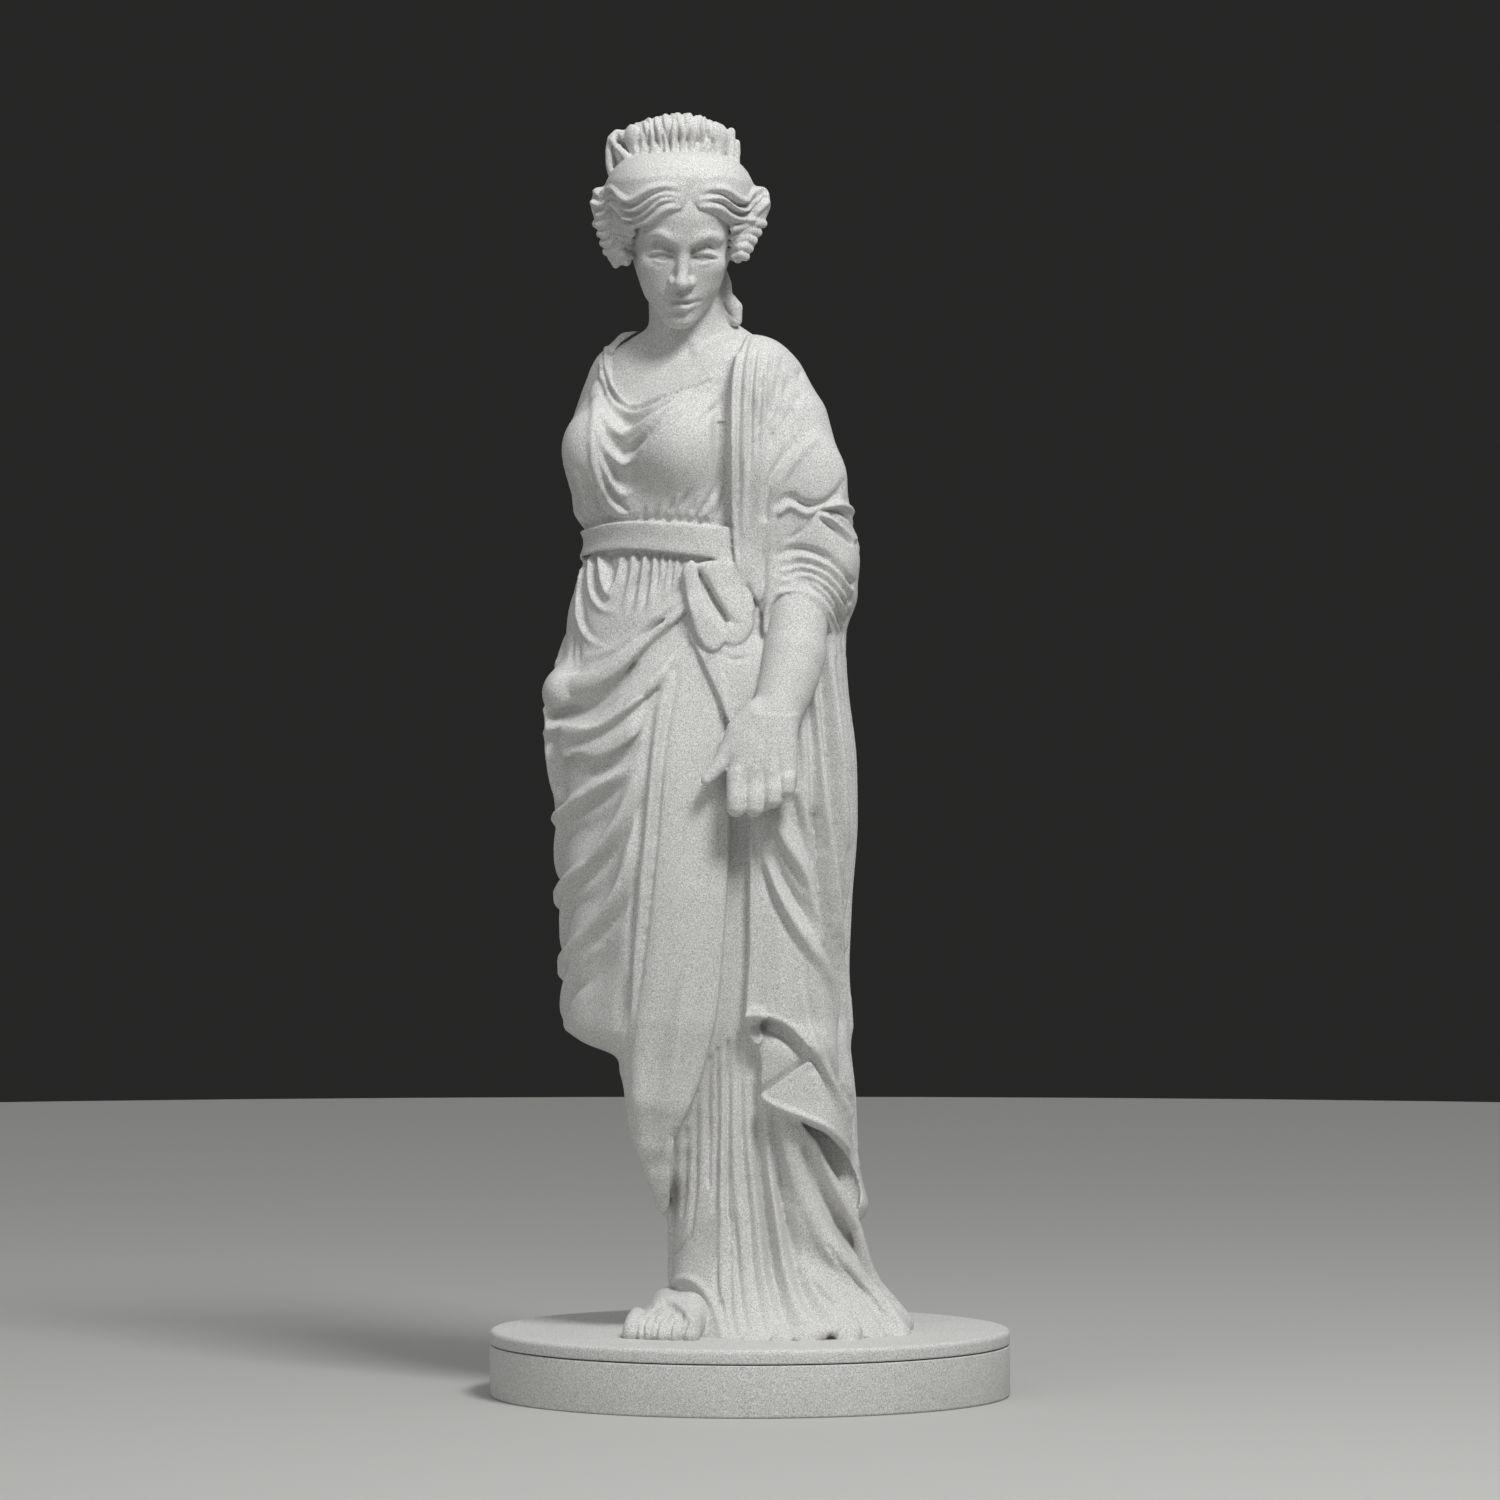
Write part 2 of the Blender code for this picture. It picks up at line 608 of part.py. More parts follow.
# the small hem corner under the fall, and the facet of cloth that turns over below it
TAB = [(-0.8, 96), (-0.6, 91), (0.6, 88), (2.2, 87.2), (3.2, 88.8), (3.4, 96)]
FACET = [(2.8, 75), (8, 78.9), (12, 81.9), (14.8, 83.4), (17, 81.3), (20, 74.5), (23.5, 67), (26, 61),
         (22, 63.8), (16, 67.5), (8, 70.8), (3.6, 73.3)]

# the dark inside of the fall's lowest turn
TURN_INSIDE = [(12.6, 68), (15, 66.9), (18.6, 65.3), (21.6, 62.8), (24.2, 59.4), (26.2, 55.4),
               (27.4, 51.6), (27.5, 48.8), (26.9, 46.6), (26.2, 45.6), (25, 46.6), (22.6, 51.2),
               (19.6, 57), (17, 62.4)]
BELT_TOP = [(0, 215.6), (-10.5, 217), (-17, 217.6), (-25, 218), (-33, 218), (-38.5, 216.9), (-44, 214.6)]
BELT_FOOT = [(-44, 209.2), (-38, 210.6), (-32, 211.2), (-25, 210.8), (-19, 210.2), (-14, 209.6),
             (-9, 208.8), (0, 206.8)]


def robe_layers(clay):
    clay.layer(PANEL, 3.0, 8, 0.8, 0.8, rise=(150, 186))
    clay.layer(TURN, 3.0, 10, 0.6, 0.6, rise=(86, 96), run=(16, 27))
    clay.opening(TURN_INSIDE, -40, -8.5, 0.8)
    clay.layer(FALL, 3.4, 8, 0.6, 0.6, rise=(146, 172), run=(12, 24))
    clay.layer(TAB, 1.6, 4, 0.4, 0.4)
    clay.put(limb([(15.6, -15, 63), (18.6, -14, 56), (21.6, -12.6, 51), (23.9, -11.4, 46.4),
                   (26.2, -9.6, 41.5), (27.4, -8.4, 37), (28.8, -7, 32), (30.8, -6, 27.4), (34, -5, 23),
                   (37.4, -5, 18)],
                  (1.4, 1.8, 2.2, 2.1, 1.9, 1.9, 2, 2.3, 2.8, 3.4)), 0.8)


# the lowest swag's free hem
HIP_HEM = [(-46.8, 158), (-45.6, 158.8), (-44.2, 159.8), (-42.3, 159.8), (-40.2, 158.9), (-37.7, 158.6),
           (-33.6, 160.2), (-30, 162.8), (-27.5, 165.8), (-25.6, 169.8), (-22.6, 175), (-28.5, 174),
           (-34, 170), (-40, 167), (-48, 167)]


def hip_rolls(clay):
    """The mantle's rolled edge: three swags that hang from the knot round to the right hip."""
    clay.put(ball((-46, -2, 175.4), (5.9, 8.4, 6.2), (0, 14, 0)), 4)
    clay.roll([(-47.6, 177.6), (-43.8, 177), (-38.7, 178.2), (-33.6, 181.2), (-28.5, 185), (-22, 190.4),
               (-16, 196.4)],
              (3.4, 3.4, 1.4), 0.6, 0.8)
    clay.roll([(-48.9, 167.3), (-44.8, 165.8), (-38.7, 167.3), (-33.6, 170.4), (-28.5, 174), (-23.4, 178),
               (-19.3, 183.2), (-14.7, 189.8)], (2.4, 2.6, 1.2), 0.5, 0.6)
    clay.layer(HIP_HEM, 2.6, 4, 0.5, 0.6, run=(-31, -24))


def cloth_over(clay):
    """What lies over the folds: the belt, the knot, the mantle on the left shoulder and the turned facet."""
    clay.layer(BELT_FOOT + BELT_TOP, 1.9, 4, 0.2, 0.5, run=(-7, 0), over=True)
    knot(clay)
    clay.layer(MANTLE, 3.0, 10, 0.4, 1.6, rise=(257, 269), run=(2, 12), over=True)
    clay.layer(FACET, 1.4, 6, 0.4, 0.4, run=(20, 27))


def neckline(clay):
    """The cloth is cut back at the neck so that the skin beneath shows."""
    clay.opening([(-22, 275), (-24.6, 267.4), (-27.6, 265.7), (-30.4, 264.2), (-33.2, 261.8),
                  (-34.4, 258), (-34, 252.4), (-31.8, 249), (-29, 247.4), (-23.5, 249.6), (-17.3, 252.4),
                  (-11, 255.4), (-5, 258.5), (-1.5, 263), (0, 275)], -40, 12, 0.3)


def knot(clay):
    """The mantle's end tucked at the left hip: two flat tongues, and the tip that hangs below."""
    clay.layer([(-14.6, 192), (-12.2, 184), (-10, 179), (-8.4, 175.6), (-6.6, 171), (-5.2, 168),
                (-4, 166.6), (-1.6, 169.2), (0.6, 171.6), (3, 178), (5, 186), (2, 192)], 1.8, 4, 0.4, 0.4,
                rise=(184, 191),
               over=True)
    clay.layer([(-13, 207.6), (-12.2, 203), (-10.2, 199), (-8, 195.6), (-6.2, 192.4), (-6.6, 189),
                (-5.6, 187.2), (-3, 187.2), (-0.8, 188.8), (0.8, 191.6), (1.4, 194.6), (1, 198), (0, 201),
                (-2.3, 205), (-4.6, 208.2)], 2.2, 4, 0.3, 1.2, over=True)
    clay.layer([(-16.9, 206), (-16.6, 203), (-15.9, 199), (-15, 195), (-13.8, 191), (-12.5, 188),
                (-10.6, 186), (-8.6, 185.6), (-6.6, 187.4), (-6.2, 189.4), (-7, 192), (-9, 195),
                (-11, 198.6), (-12.4, 203), (-13, 206.4), (-14.6, 208.6)], 3.0, 4, 0.3, 1.2, over=True)


def hem_on_the_disc(clay):
    """The hem's small rolls where the pleats meet the disc."""
    for x, y, z, radii in (
        (-4.8, -30.6, 15, (1.9, 2, 2)), (-0.8, -32.6, 15.2, (2.3, 2, 2.3)), (3.1, -33.6, 15, (1.7, 2, 2.2)),
        (8, -34.8, 15.2, (3.2, 2.6, 3.6)), (14, -34.4, 15, (2.7, 2.6, 3.3)),
        (17.8, -33, 17.2, (2.8, 2.4, 2)),
        (31.8, -26.6, 15, (2.4, 3, 3)), (37, -20, 15, (2.8, 4, 3)),
    ):
        clay.put(ball((x, y, z), radii), 0.5)
    clay.put(limb([(24.6, -31.4, 13.6), (24.9, -25.6, 20.4)], (3.5, 0.9)), 0.4)
    for x, y, z, r in ((-2.9, -33.4, 14.6, 1.0), (4.9, -36, 14.8, 1.1), (11.2, -37, 14.8, 1.1),
                       (20, -35, 15, 1.6), (28.6, -31.6, 15, 1.5), (34.6, -26.6, 15, 1.2)):
        clay.put(ball((x, y, z), (r, 4, r * 1.7)), 0.3, True)


# ---- the left forearm and hand ------------------------------------------------
def arm_forms(clay):
    clay.put(limb([(13.5, -13, 203), (12, -17, 194), (11, -20, 185)], (7.6, 7.4, 7.6)))
    clay.put(limb([(11, -20, 185), (10, -22, 180), (8.4, -24, 175), (6.8, -26, 170.5), (5.8, -27, 167)],
                  (7.6, 7.4, 6.8, 6.1, 5.5)), 1)
    # the flat back of the hand
    clay.put(loft([
        (169, 6, -27, 5.4, 5, 0),
        (165, 4.4, -28.4, 7.2, 4.6, 0),
        (160, 3.5, -29.4, 8.2, 4.1, 0),
        (155, 3.2, -30, 8.5, 3.7, 0),
        (151.5, 3.2, -30, 8.2, 3.2, 0),
    ], 3), 2)
    # the ball of the thumb, then the thumb
    clay.put(limb([(2, -27.5, 169), (-2.6, -28, 165.4), (-4.8, -28.6, 161)], (4.4, 3.4, 2.7)), 2)
    clay.put(limb([(-5, -28.6, 161), (-7.6, -29.8, 157), (-10.6, -30.6, 153.6)], (2.5, 2.0, 1.5)), 0.7)
    # fingers side by side: knuckle, straight front and a tip that curls back
    for x, low, r in ((-3.3, 147, 2.5), (1.2, 147, 2.45), (5.6, 149, 2.35), (9.2, 151.4, 1.9)):
        clay.put(limb([(x * 0.8 + 0.6, -29.6, 160), (x, -31.2, 154.8), (x, -32.8, low + 2), (x, -32.8, low),
                       (x, -29, low - 0.2)], (1.7, r, r, r, r * 0.9)), 0.35)
        clay.put(ball((x, -32.2, 154.6), 1.6), 1.4)
    for x, y, low in ((-1, -30.6, 147.6), (3.4, -30.6, 148), (7.4, -29.8, 151)):
        clay.put(limb([(x, y + 0.6, 155), (x, y, low)], 2.1), 0.2)


# ---- the right foot -------------------------------------------------------------
def foot_forms(clay):
    clay.put(limb([(-24.4, 0, 18), (-26.4, -28, 17.9)], (4.2, 4.1)))
    clay.put(limb([(-19.5, 0, 21), (-20.4, -16, 21), (-21.6, -27, 18.8)], (6, 5, 4)), 2.5)
    clay.put(limb([(-14, 0, 21), (-14.6, -17, 21), (-15.8, -28, 18.6)], (6.4, 5.6, 4)), 2.5)
    for x, y, r in ((-28.6, -29.6, 2.5), (-25.2, -32.4, 2.15), (-21.8, -34.2, 2.15), (-18.4, -35, 2.2),
                    (-14.6, -35, 2.6)):
        clay.put(limb([(x + 0.8, y + 8.5, 21.4), (x + 0.3, y + 3.4, 20.4), (x - 0.2, y, 18.6)],
                      (r * 0.8, r * 0.95, r)), 0.3)
        clay.put(ball((x - 0.2, y - 0.4, 17.6), (r * 1.02, r * 1.1, r)), 0.4)


# ---- the head ---------------------------------------------------------------------
HEAD = (-17.0, -6.0, 289.5)
NOD = (22.0, 2.0, 3.0)


def head_forms(clay):
    """The skull, the face and the neck."""
    def put(shape, blend=0.0, cut=False):
        clay.put(posed(shape, HEAD, NOD), blend, cut)

    put(ball((0, 1.5, 4.5), (12.4, 16.2, 15.5)))
    put(loft([
        (13, 0, -2, 9.8, 12.2, 0),
        (8, 0, -2, 11.2, 13.7, 0),
        (3.4, 0, -2, 11.6, 13.7, 0),
        (0, 0, -2.2, 11.5, 12.9, 0),
        (-4, 0, -3, 11.1, 11.9, 0),
        (-8, 0, -4, 10.1, 10.8, 0),
        (-12, 0, -5, 8.4, 9.5, 0),
        (-16, 0, -6, 5.9, 7.8, 0),
        (-18.6, 0, -6.5, 4.3, 6.9, 0),
        (-19.8, 0, -7, 2.6, 5.0, 0),
    ], 2.1), 2)
    for side in (-1, 1):
        # jaw, cheek, cheekbone, brow
        put(limb([(side * 9.3, -1, -6.5), (side * 6.6, -6.8, -13.2), (side * 2.4, -10.8, -17.4)],
                 (2.4, 2.2, 2.1)), 3)
        put(ball((side * 5.8, -9.2, -8.0), (3.6, 3.2, 4.2)), 3.5)
        put(ball((side * 7.0, -10.4, -4.0), (3.3, 2.8, 2.6)), 3)
        put(limb([(side * 2.0, -13.8, 3.0), (side * 4.8, -13.7, 4.0), (side * 8.6, -11.2, 2.8)],
                 (0.9, 1.2, 0.8)), 2.5)
        # eye socket and eyeball
        put(ball((side * 5.1, -15.6, -0.4), (4.0, 3.3, 2.5), (0, side * -4, 0)), 1.8, True)
        put(ball((side * 5.1, -10.7, -0.9), (3.5, 3.3, 2.9)), 0.7)
    put(ball((0, -11.7, -17.7), (2.9, 2.8, 2.4)), 2.4)
    put(ball((0, -11.4, -12.2), (4.7, 3.3, 3.8)), 3)
    # nose
    put(limb([(0, -13.6, 3.6), (0, -14.5, -0.4), (0, -16.0, -4.6), (0, -17.2, -6.9)],
             (1.5, 1.25, 1.4, 1.5)), 1.6)
    put(ball((0, -17.2, -7.2), (1.9, 1.8, 1.5)), 1.0)
    for side in (-1, 1):
        put(ball((side * 2.1, -15.2, -7.6), (1.3, 1.8, 1.25)), 0.9)
    # lips
    put(limb([(-4.0, -12.9, -12.5), (-1.5, -14.9, -11.7), (0, -15.0, -12.0), (1.5, -14.9, -11.7),
              (4.0, -12.9, -12.5)], (0.4, 1.05, 0.95, 1.05, 0.4)), 0.8)
    put(limb([(-3.2, -13.2, -13.6), (-1.2, -14.6, -14.2), (1.2, -14.6, -14.2), (3.2, -13.2, -13.6)],
             (0.6, 1.35, 1.35, 0.6)), 0.8)
    # neck, and its slopes to the shoulders
    clay.put(limb([(-14.6, 6, 254), (-15.4, 4.5, 266), (-16.2, 2.5, 280)], (11.4, 9.8, 9.3)), 2.5)
    clay.put(limb([(-15, 6, 261.4), (-28, 9, 257.2)], (8.4, 6.4)), 4)
    clay.put(limb([(-15, 6, 262), (-2, 2, 257.5)], (8.6, 6.4)), 4)
    clay.put(limb([(-12, 7, 268), (-4.4, 5, 263.6), (2, 3, 259.4)], (4.8, 4.1, 4.0)), 2)
    clay.put(limb([(-18.4, 7, 266.4), (-25, 7, 262), (-31, 8, 258.6)], (4.0, 3.4, 3.4)), 2)


def chest(clay, form):
    clay.put(form)
    clay.put(ball((-29.4, 8, 253.8), (7.4, 7.8, 7.8)), 6)
    clay.put(limb([(-19, 5, 263), (-26, 4.4, 262), (-32, 5, 258.4)], (3.6, 3.3, 3.4)), 2)
    clay.put(ball((-1.5, -3, 251.5), (10, 9.6, 10)), 5)
    clay.put(ball((-36.2, -4.5, 235.4), (8.4, 8.2, 9.6)), 6)
    clay.put(ball((-16.5, -12.4, 236.5), (10, 8.6, 10)), 6)


# ---- the hair ---------------------------------------------------------------------
FACE = [(-15, 297.2), (-18.5, 295.9), (-21, 294.7), (-23.5, 293.2), (-26, 292.3), (-28.5, 291.8),
        (-29.4, 289), (-29.2, 285), (-28.6, 281), (-28.4, 262), (-5, 262), (-5.4, 281), (-5, 285),
        (-4.7, 289), (-5, 292), (-6.5, 293.4), (-8.5, 294.8), (-11, 295.9), (-13.8, 296.8)]


def hair_masses(clay):
    clay.put(loft([
        (309.5, -17.6, -3, 7, 8, 0),
        (309.1, -17.6, -3.4, 11, 12.4, 0),
        (308.1, -17.6, -3.8, 13.8, 15.6, 0),
        (306.7, -17.6, -4, 15.6, 17.6, 0),
        (304.4, -17.6, -4.3, 17.4, 19.6, 0),
        (301.5, -17.6, -4.4, 18.5, 20.9, 0),
        (297, -17.6, -4.2, 18.4, 21, 0),
        (291, -17.4, -3, 17, 19.4, 0),
        (285, -17, 0, 14.2, 15, 0),
    ], 2.1))
    clay.put(ball((-17, 7, 292), (15.4, 16, 12)), 3)
    # the puffs over the ears, and their upper corners
    clay.put(limb([(-34.4, -6, 296.4), (-33.9, -6.4, 291), (-32.8, -7, 286.8), (-32, -7, 284)],
                  (5.2, 4.1, 3.2, 2.3)), 1.2)
    clay.put(limb([(0.4, -6, 296.8), (-0.6, -6.4, 291.6), (-2.2, -7, 287.4), (-3.6, -7, 284.8)],
                  (4.7, 3.6, 2.8, 1.9)), 1.2)
    clay.put(ball((-38, -5.5, 299.6), (1.6, 2.6, 1.6)), 1.4)
    clay.put(ball((3, -5.5, 299.6), (1.6, 2.6, 1.6)), 1.4)
    # the chignon behind, and the roll of hair along the nape
    clay.put(ball((-17, 21, 288), (9.5, 7.5, 8.5)), 1)
    clay.put(limb([(-26.5, 5, 286.5), (-22.5, 11, 284), (-17, 13, 283.2), (-11.5, 11, 284),
                   (-7.5, 5, 286.5)],
                  (3, 3.6, 3.8, 3.6, 3)), 2)
    clay.opening(FACE, -45, -8.5, 0.5)
    side_locks(clay)
    crest(clay)
    nape_lock(clay)


def side_locks(clay):
    """Smooth curled ends beside the jaw."""
    clay.put(limb([(-33.2, -8, 288), (-31.8, -9, 284.8), (-30.8, -9.2, 282.6)], (2.4, 2.2, 1.3)), 0.8)
    clay.put(limb([(-35, -6.6, 287.4), (-34, -7, 283.8), (-33.4, -7, 281.8)], (2, 1.5, 0.9)), 0.6)
    clay.put(limb([(-3.2, -8.6, 289), (-2.3, -9.2, 285.4), (-3, -9.2, 283.2)], (2.8, 2.1, 1.2)), 0.8)
    clay.put(limb([(0, -7.6, 288.4), (-0.8, -8.2, 285.6), (-1.4, -8.4, 284.2)], (2, 1.4, 0.9)), 0.6)


def crest(clay):
    clay.put(limb([(-27.6, -5, 313.8), (-22.8, -6.6, 314.9), (-17.4, -7.2, 315.4), (-11.8, -6.6, 314.8),
                   (-9, -5, 313.9)], (3.9, 4.3, 4.6, 4.3, 3.7)), 0.5)
    clay.put(limb([(-27.6, -2, 311), (-17.6, -1, 311.6), (-7.6, -2, 311)], (3.4, 4.4, 3)), 1)
    clay.put(limb([(-26.8, -5.4, 310.4), (-17.6, -7.4, 311), (-9.4, -5.4, 310.4)], (3.4, 3.9, 3.2)), 1.2)
    clay.put(limb([(-27, 3, 311), (-17.6, 4, 312), (-10, 3, 311)], (4, 4.6, 4)), 2)
    # two ribbons to the viewer's right of the crest
    clay.put(limb([(-4.9, -5, 308.6), (-4.7, -5, 315.1)], (1.2, 1.05)), 0.3)
    clay.put(limb([(-3.5, -4.2, 306.6), (-3.45, -4.2, 312.3)], (1.3, 1.0)), 0.3)
    # the loop of hair on the other side
    clay.put(limb([(-31.4, -4.6, 314), (-33.1, -4.8, 314.5), (-34.6, -4.8, 313.4), (-35.2, -4.6, 310.6),
                   (-35.1, -4.4, 307.4), (-34.4, -4, 304.6)], (1.6, 1.25, 1.0, 0.9, 0.95, 1.2)), 0.3)
    clay.put(limb([(-34.2, -6, 312.9), (-32.8, -6.3, 311), (-31.2, -6.8, 309.2), (-29.8, -7.2, 308)],
                  (0.9, 0.95, 1.05, 1.0)), 0.3)
    clay.put(ball((-32.4, -1, 309.6), (2.2, 2.4, 4.6)), 0.5)


def nape_lock(clay):
    clay.put(limb([(-7, 3, 281), (-6.4, 2, 277.8), (-5.9, 1.5, 275)], (1.2, 1.75, 1.5)), 0.5)
    clay.put(limb([(-5, 1.2, 273.6), (-3.8, 1, 271.6), (-3.4, 1, 268.4)], (1.6, 1.95, 1.4)), 0.3)
    clay.put(limb([(-8, 3, 279), (-7, 2.4, 274), (-5, 2.6, 269)], (2, 2, 2)), 1)


def robe(step):
    """The robe's masses and the cloth that lies over them."""
    clay = Clay((-60, -41, 13.4), (48, 40, 272), step)
    robe_masses(clay)
    robe_layers(clay)
    clay.hold()
    hip_rolls(clay)
    hem_on_the_disc(clay)
    clay.hold()
    cloth_over(clay)
    neckline(clay)
    return clay


def head(step, form):
    """The head, neck and chest, with the hair over them."""
    clay = Clay((-44, -36, 242), (12, 36, 323), step)
    head_forms(clay)
    chest(clay, form)
    hair = Clay((-44, -36, 242), (12, 36, 323), step)
    hair_masses(hair)
    clay.field = smooth_min(clay.field, hair.field, 0.25)
    return clay


def forearm(step):
    """The left forearm and hand."""
    clay = Clay((-17, -44, 140), (24, -4, 206), step)
    arm_forms(clay)
    return clay


def foot(step):
    """The right foot, which shows below the hem."""
    clay = Clay((-36, -46, 13.4), (-2, 4, 33), step)
    foot_forms(clay)
    return clay


# ---- facets and joining -----------------------------------------------------
def thinned(name, clay, facets):
    """The clay's skin as an object with about that many triangles."""
    points, quads = surface(clay)
    made = mesh_object(name, points, quads)
    cut = made.modifiers.new("thin", "DECIMATE")
    cut.ratio = facets / (2 * len(quads))
    cut.use_collapse_triangulate = True
    return applied(made)


def joined(made, other):
    """Two overlapping bodies as one; the second object goes."""
    union = made.modifiers.new("union", "BOOLEAN")
    union.operation = "UNION"
    union.solver = "EXACT"
    union.object = other
    made = applied(made)
    bpy.data.objects.remove(other)
    return made


def one_shell(made):
    """Closes the pockets that the union sealed inside, by removing their walls."""
    shape = bmesh.new()
    shape.from_mesh(made.data)
    groups = []
    waiting = set(shape.verts)
    while waiting:
        group = [waiting.pop()]
        for vertex in group:
            for edge in vertex.link_edges:
                other = edge.other_vert(vertex)
                if other in waiting:
                    waiting.remove(other)
                    group.append(other)
        groups.append(group)
    groups.sort(key=len)
    for group in groups[:-1]:
        bmesh.ops.delete(shape, geom=group, context="VERTS")
    shape.to_mesh(made.data)
    shape.free()


def turned_disc(name, bottom, top, radius, rounding_below, rounding_above):
    """A round slab between two heights, its rims rounded by those radii."""
    profile = [(0, bottom)]
    for share in (0, 1):
        angle = share * math.pi / 2
        profile.append((radius - rounding_below * (1 - math.sin(angle)),
                        bottom + rounding_below * (1 - math.cos(angle))))
    for share in (0, 0.5, 1):
        angle = share * math.pi / 2
        profile.append((radius - rounding_above * (1 - math.cos(angle)),
                        top - rounding_above * (1 - math.sin(angle))))
    profile.append((0, top))
    mesh = bpy.data.meshes.new(name)
    made = bpy.data.objects.new(name, mesh)
    bpy.context.scene.collection.objects.link(made)
    shape = bmesh.new()
    low_pole = shape.verts.new((0, 0, profile[0][1]))
    high_pole = shape.verts.new((0, 0, profile[-1][1]))
    rings = []
    for r, z in profile[1:-1]:
        ring = []
        for i in range(PLINTH_SIDES):
            angle = 2 * math.pi * i / PLINTH_SIDES
            ring.append(shape.verts.new((r * math.cos(angle), r * math.sin(angle), z)))
        rings.append(ring)
    for i in range(PLINTH_SIDES):
        j = (i + 1) % PLINTH_SIDES
        shape.faces.new((low_pole, rings[0][j], rings[0][i]))
        shape.faces.new((high_pole, rings[-1][i], rings[-1][j]))
        for lower, upper in zip(rings[:-1], rings[1:]):
            shape.faces.new((lower[i], lower[j], upper[j], upper[i]))
    shape.to_mesh(mesh)
    shape.free()
    return made


def cast_resin(name):
    """Matte pale grey resin, as one material for one sub-part."""
    material = bpy.data.materials.new(name)
    material.use_nodes = True
    shader = material.node_tree.nodes["Principled BSDF"]
    shader.inputs["Base Color"].default_value = (*RESIN_COLOUR, 1)
    shader.inputs["Roughness"].default_value = RESIN_ROUGHNESS
    shader.inputs["Metallic"].default_value = 0
    return material


for thing in list(bpy.data.objects):
    bpy.data.objects.remove(thing)

figure = thinned("figure_with_base_disc", robe(ROBE_STEP), ROBE_FACETS)
for other in (
    thinned("head", head(HEAD_STEP, torso_form(1.6)), HEAD_FACETS),
    thinned("forearm", forearm(ARM_STEP), ARM_FACETS),
    thinned("foot", foot(FOOT_STEP), FOOT_FACETS),
    turned_disc("disc", PLINTH_HEIGHT - DISC_THICKNESS, PLINTH_HEIGHT, PLINTH_RADIUS, 0.0004, RIM_ROUNDING),
):
    figure = joined(figure, other)
one_shell(figure)
figure.data.materials.clear()
figure.data.materials.append(cast_resin("figure_resin"))

drum = turned_disc("plinth_drum", 0.0, PLINTH_HEIGHT - DISC_THICKNESS - JOINT_GAP, PLINTH_RADIUS, 0.0006,
                   0.0004)
drum.data.materials.append(cast_resin("drum_resin"))
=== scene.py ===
"""Looks for the resin goddess statue: the fine carved surface, its sandy finish, floor, lights and camera.

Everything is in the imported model's frame: metres, +Z up, origin at the centre of the plinth's underside,
front facing -Y. The figure is modelled in millimetres as clay: a grid of signed distances to which rounded
masses, cloth layers, ridges and grooves are added, and which is then skinned and joined to its disc.
"""
import math

import bmesh
import bpy
import numpy as np
from mathutils import Euler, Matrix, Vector


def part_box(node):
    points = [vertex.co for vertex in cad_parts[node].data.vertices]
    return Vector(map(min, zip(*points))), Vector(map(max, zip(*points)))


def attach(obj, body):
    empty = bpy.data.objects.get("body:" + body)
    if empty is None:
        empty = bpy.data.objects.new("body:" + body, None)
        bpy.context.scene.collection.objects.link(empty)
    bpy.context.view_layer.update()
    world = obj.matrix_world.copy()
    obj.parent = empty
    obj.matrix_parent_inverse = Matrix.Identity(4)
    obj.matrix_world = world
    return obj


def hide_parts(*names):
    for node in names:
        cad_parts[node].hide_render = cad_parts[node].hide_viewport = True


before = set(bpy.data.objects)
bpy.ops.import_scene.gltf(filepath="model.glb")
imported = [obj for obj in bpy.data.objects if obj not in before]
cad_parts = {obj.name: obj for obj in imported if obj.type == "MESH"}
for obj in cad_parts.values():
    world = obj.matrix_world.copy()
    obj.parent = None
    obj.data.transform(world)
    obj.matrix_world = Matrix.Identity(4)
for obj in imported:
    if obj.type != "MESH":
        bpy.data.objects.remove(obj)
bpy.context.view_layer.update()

# ---- how finely each mass is modelled (mm), and its triangles --------------
ROBE_STEP = 0.5
HEAD_STEP = 0.3
ARM_STEP = 0.35
FOOT_STEP = 0.4
ROBE_FACETS = 100000
HEAD_FACETS = 72000
ARM_FACETS = 12000
FOOT_FACETS = 8000

# ---- the plinth, in metres ---------------------------------------------------
PLINTH_SIDES = 256
PLINTH_TOP = 0.0165
JOINT_GAP = 0.0003
RIM_ROUNDING = 0.0012
JOINT_ROUNDING = 0.0004
FOOT_ROUNDING = 0.0006
RIM_MARGIN = 0.0015
RIM_STEPS = 5
LEVEL_TOLERANCE = 2e-5
LEVEL_NORMAL = 0.999

# ---- the finish: how many grains and clouds to the metre, and the grain's colours, dark to light --------
GRAIN_SCALE = 3500
CLOUD_SCALE = 45
GRAIN_COLOURS = ((0.25, (0.33, 0.328, 0.322)), (0.5, (0.59, 0.587, 0.577)), (0.75, (0.82, 0.816, 0.806)))
CLOUD_COLOURS = ((0.35, (0.95, 0.95, 0.95)), (0.65, (1.0, 1.0, 1.0)))
GRAIN_DEPTH = 0.0001
STONE_ROUGHNESS = 0.85
STONE_SPECULAR = 0.25

# ---- the studio, in metres and watts --------------------------------------------
FLOOR_RADIUS = 1.2
FLOOR_COLOUR = (0.46, 0.46, 0.45)
DOME_DARK, DOME_BRIGHT = 0.02, 0.8
KEY_PLACE, KEY_POWER, KEY_SIZE, KEY_AIM = (0.27, -0.54, 0.86), 7.0, 0.24, (0, 0, 0.24)
FILL_PLACE, FILL_POWER, FILL_SIZE, FILL_AIM = (-1.1, -1.35, 0.4), 3.8, 0.8, (0, 0, 0.16)
LENS_MM = 168
SENSOR_MM = 36
FARTHEST_SEEN = 20


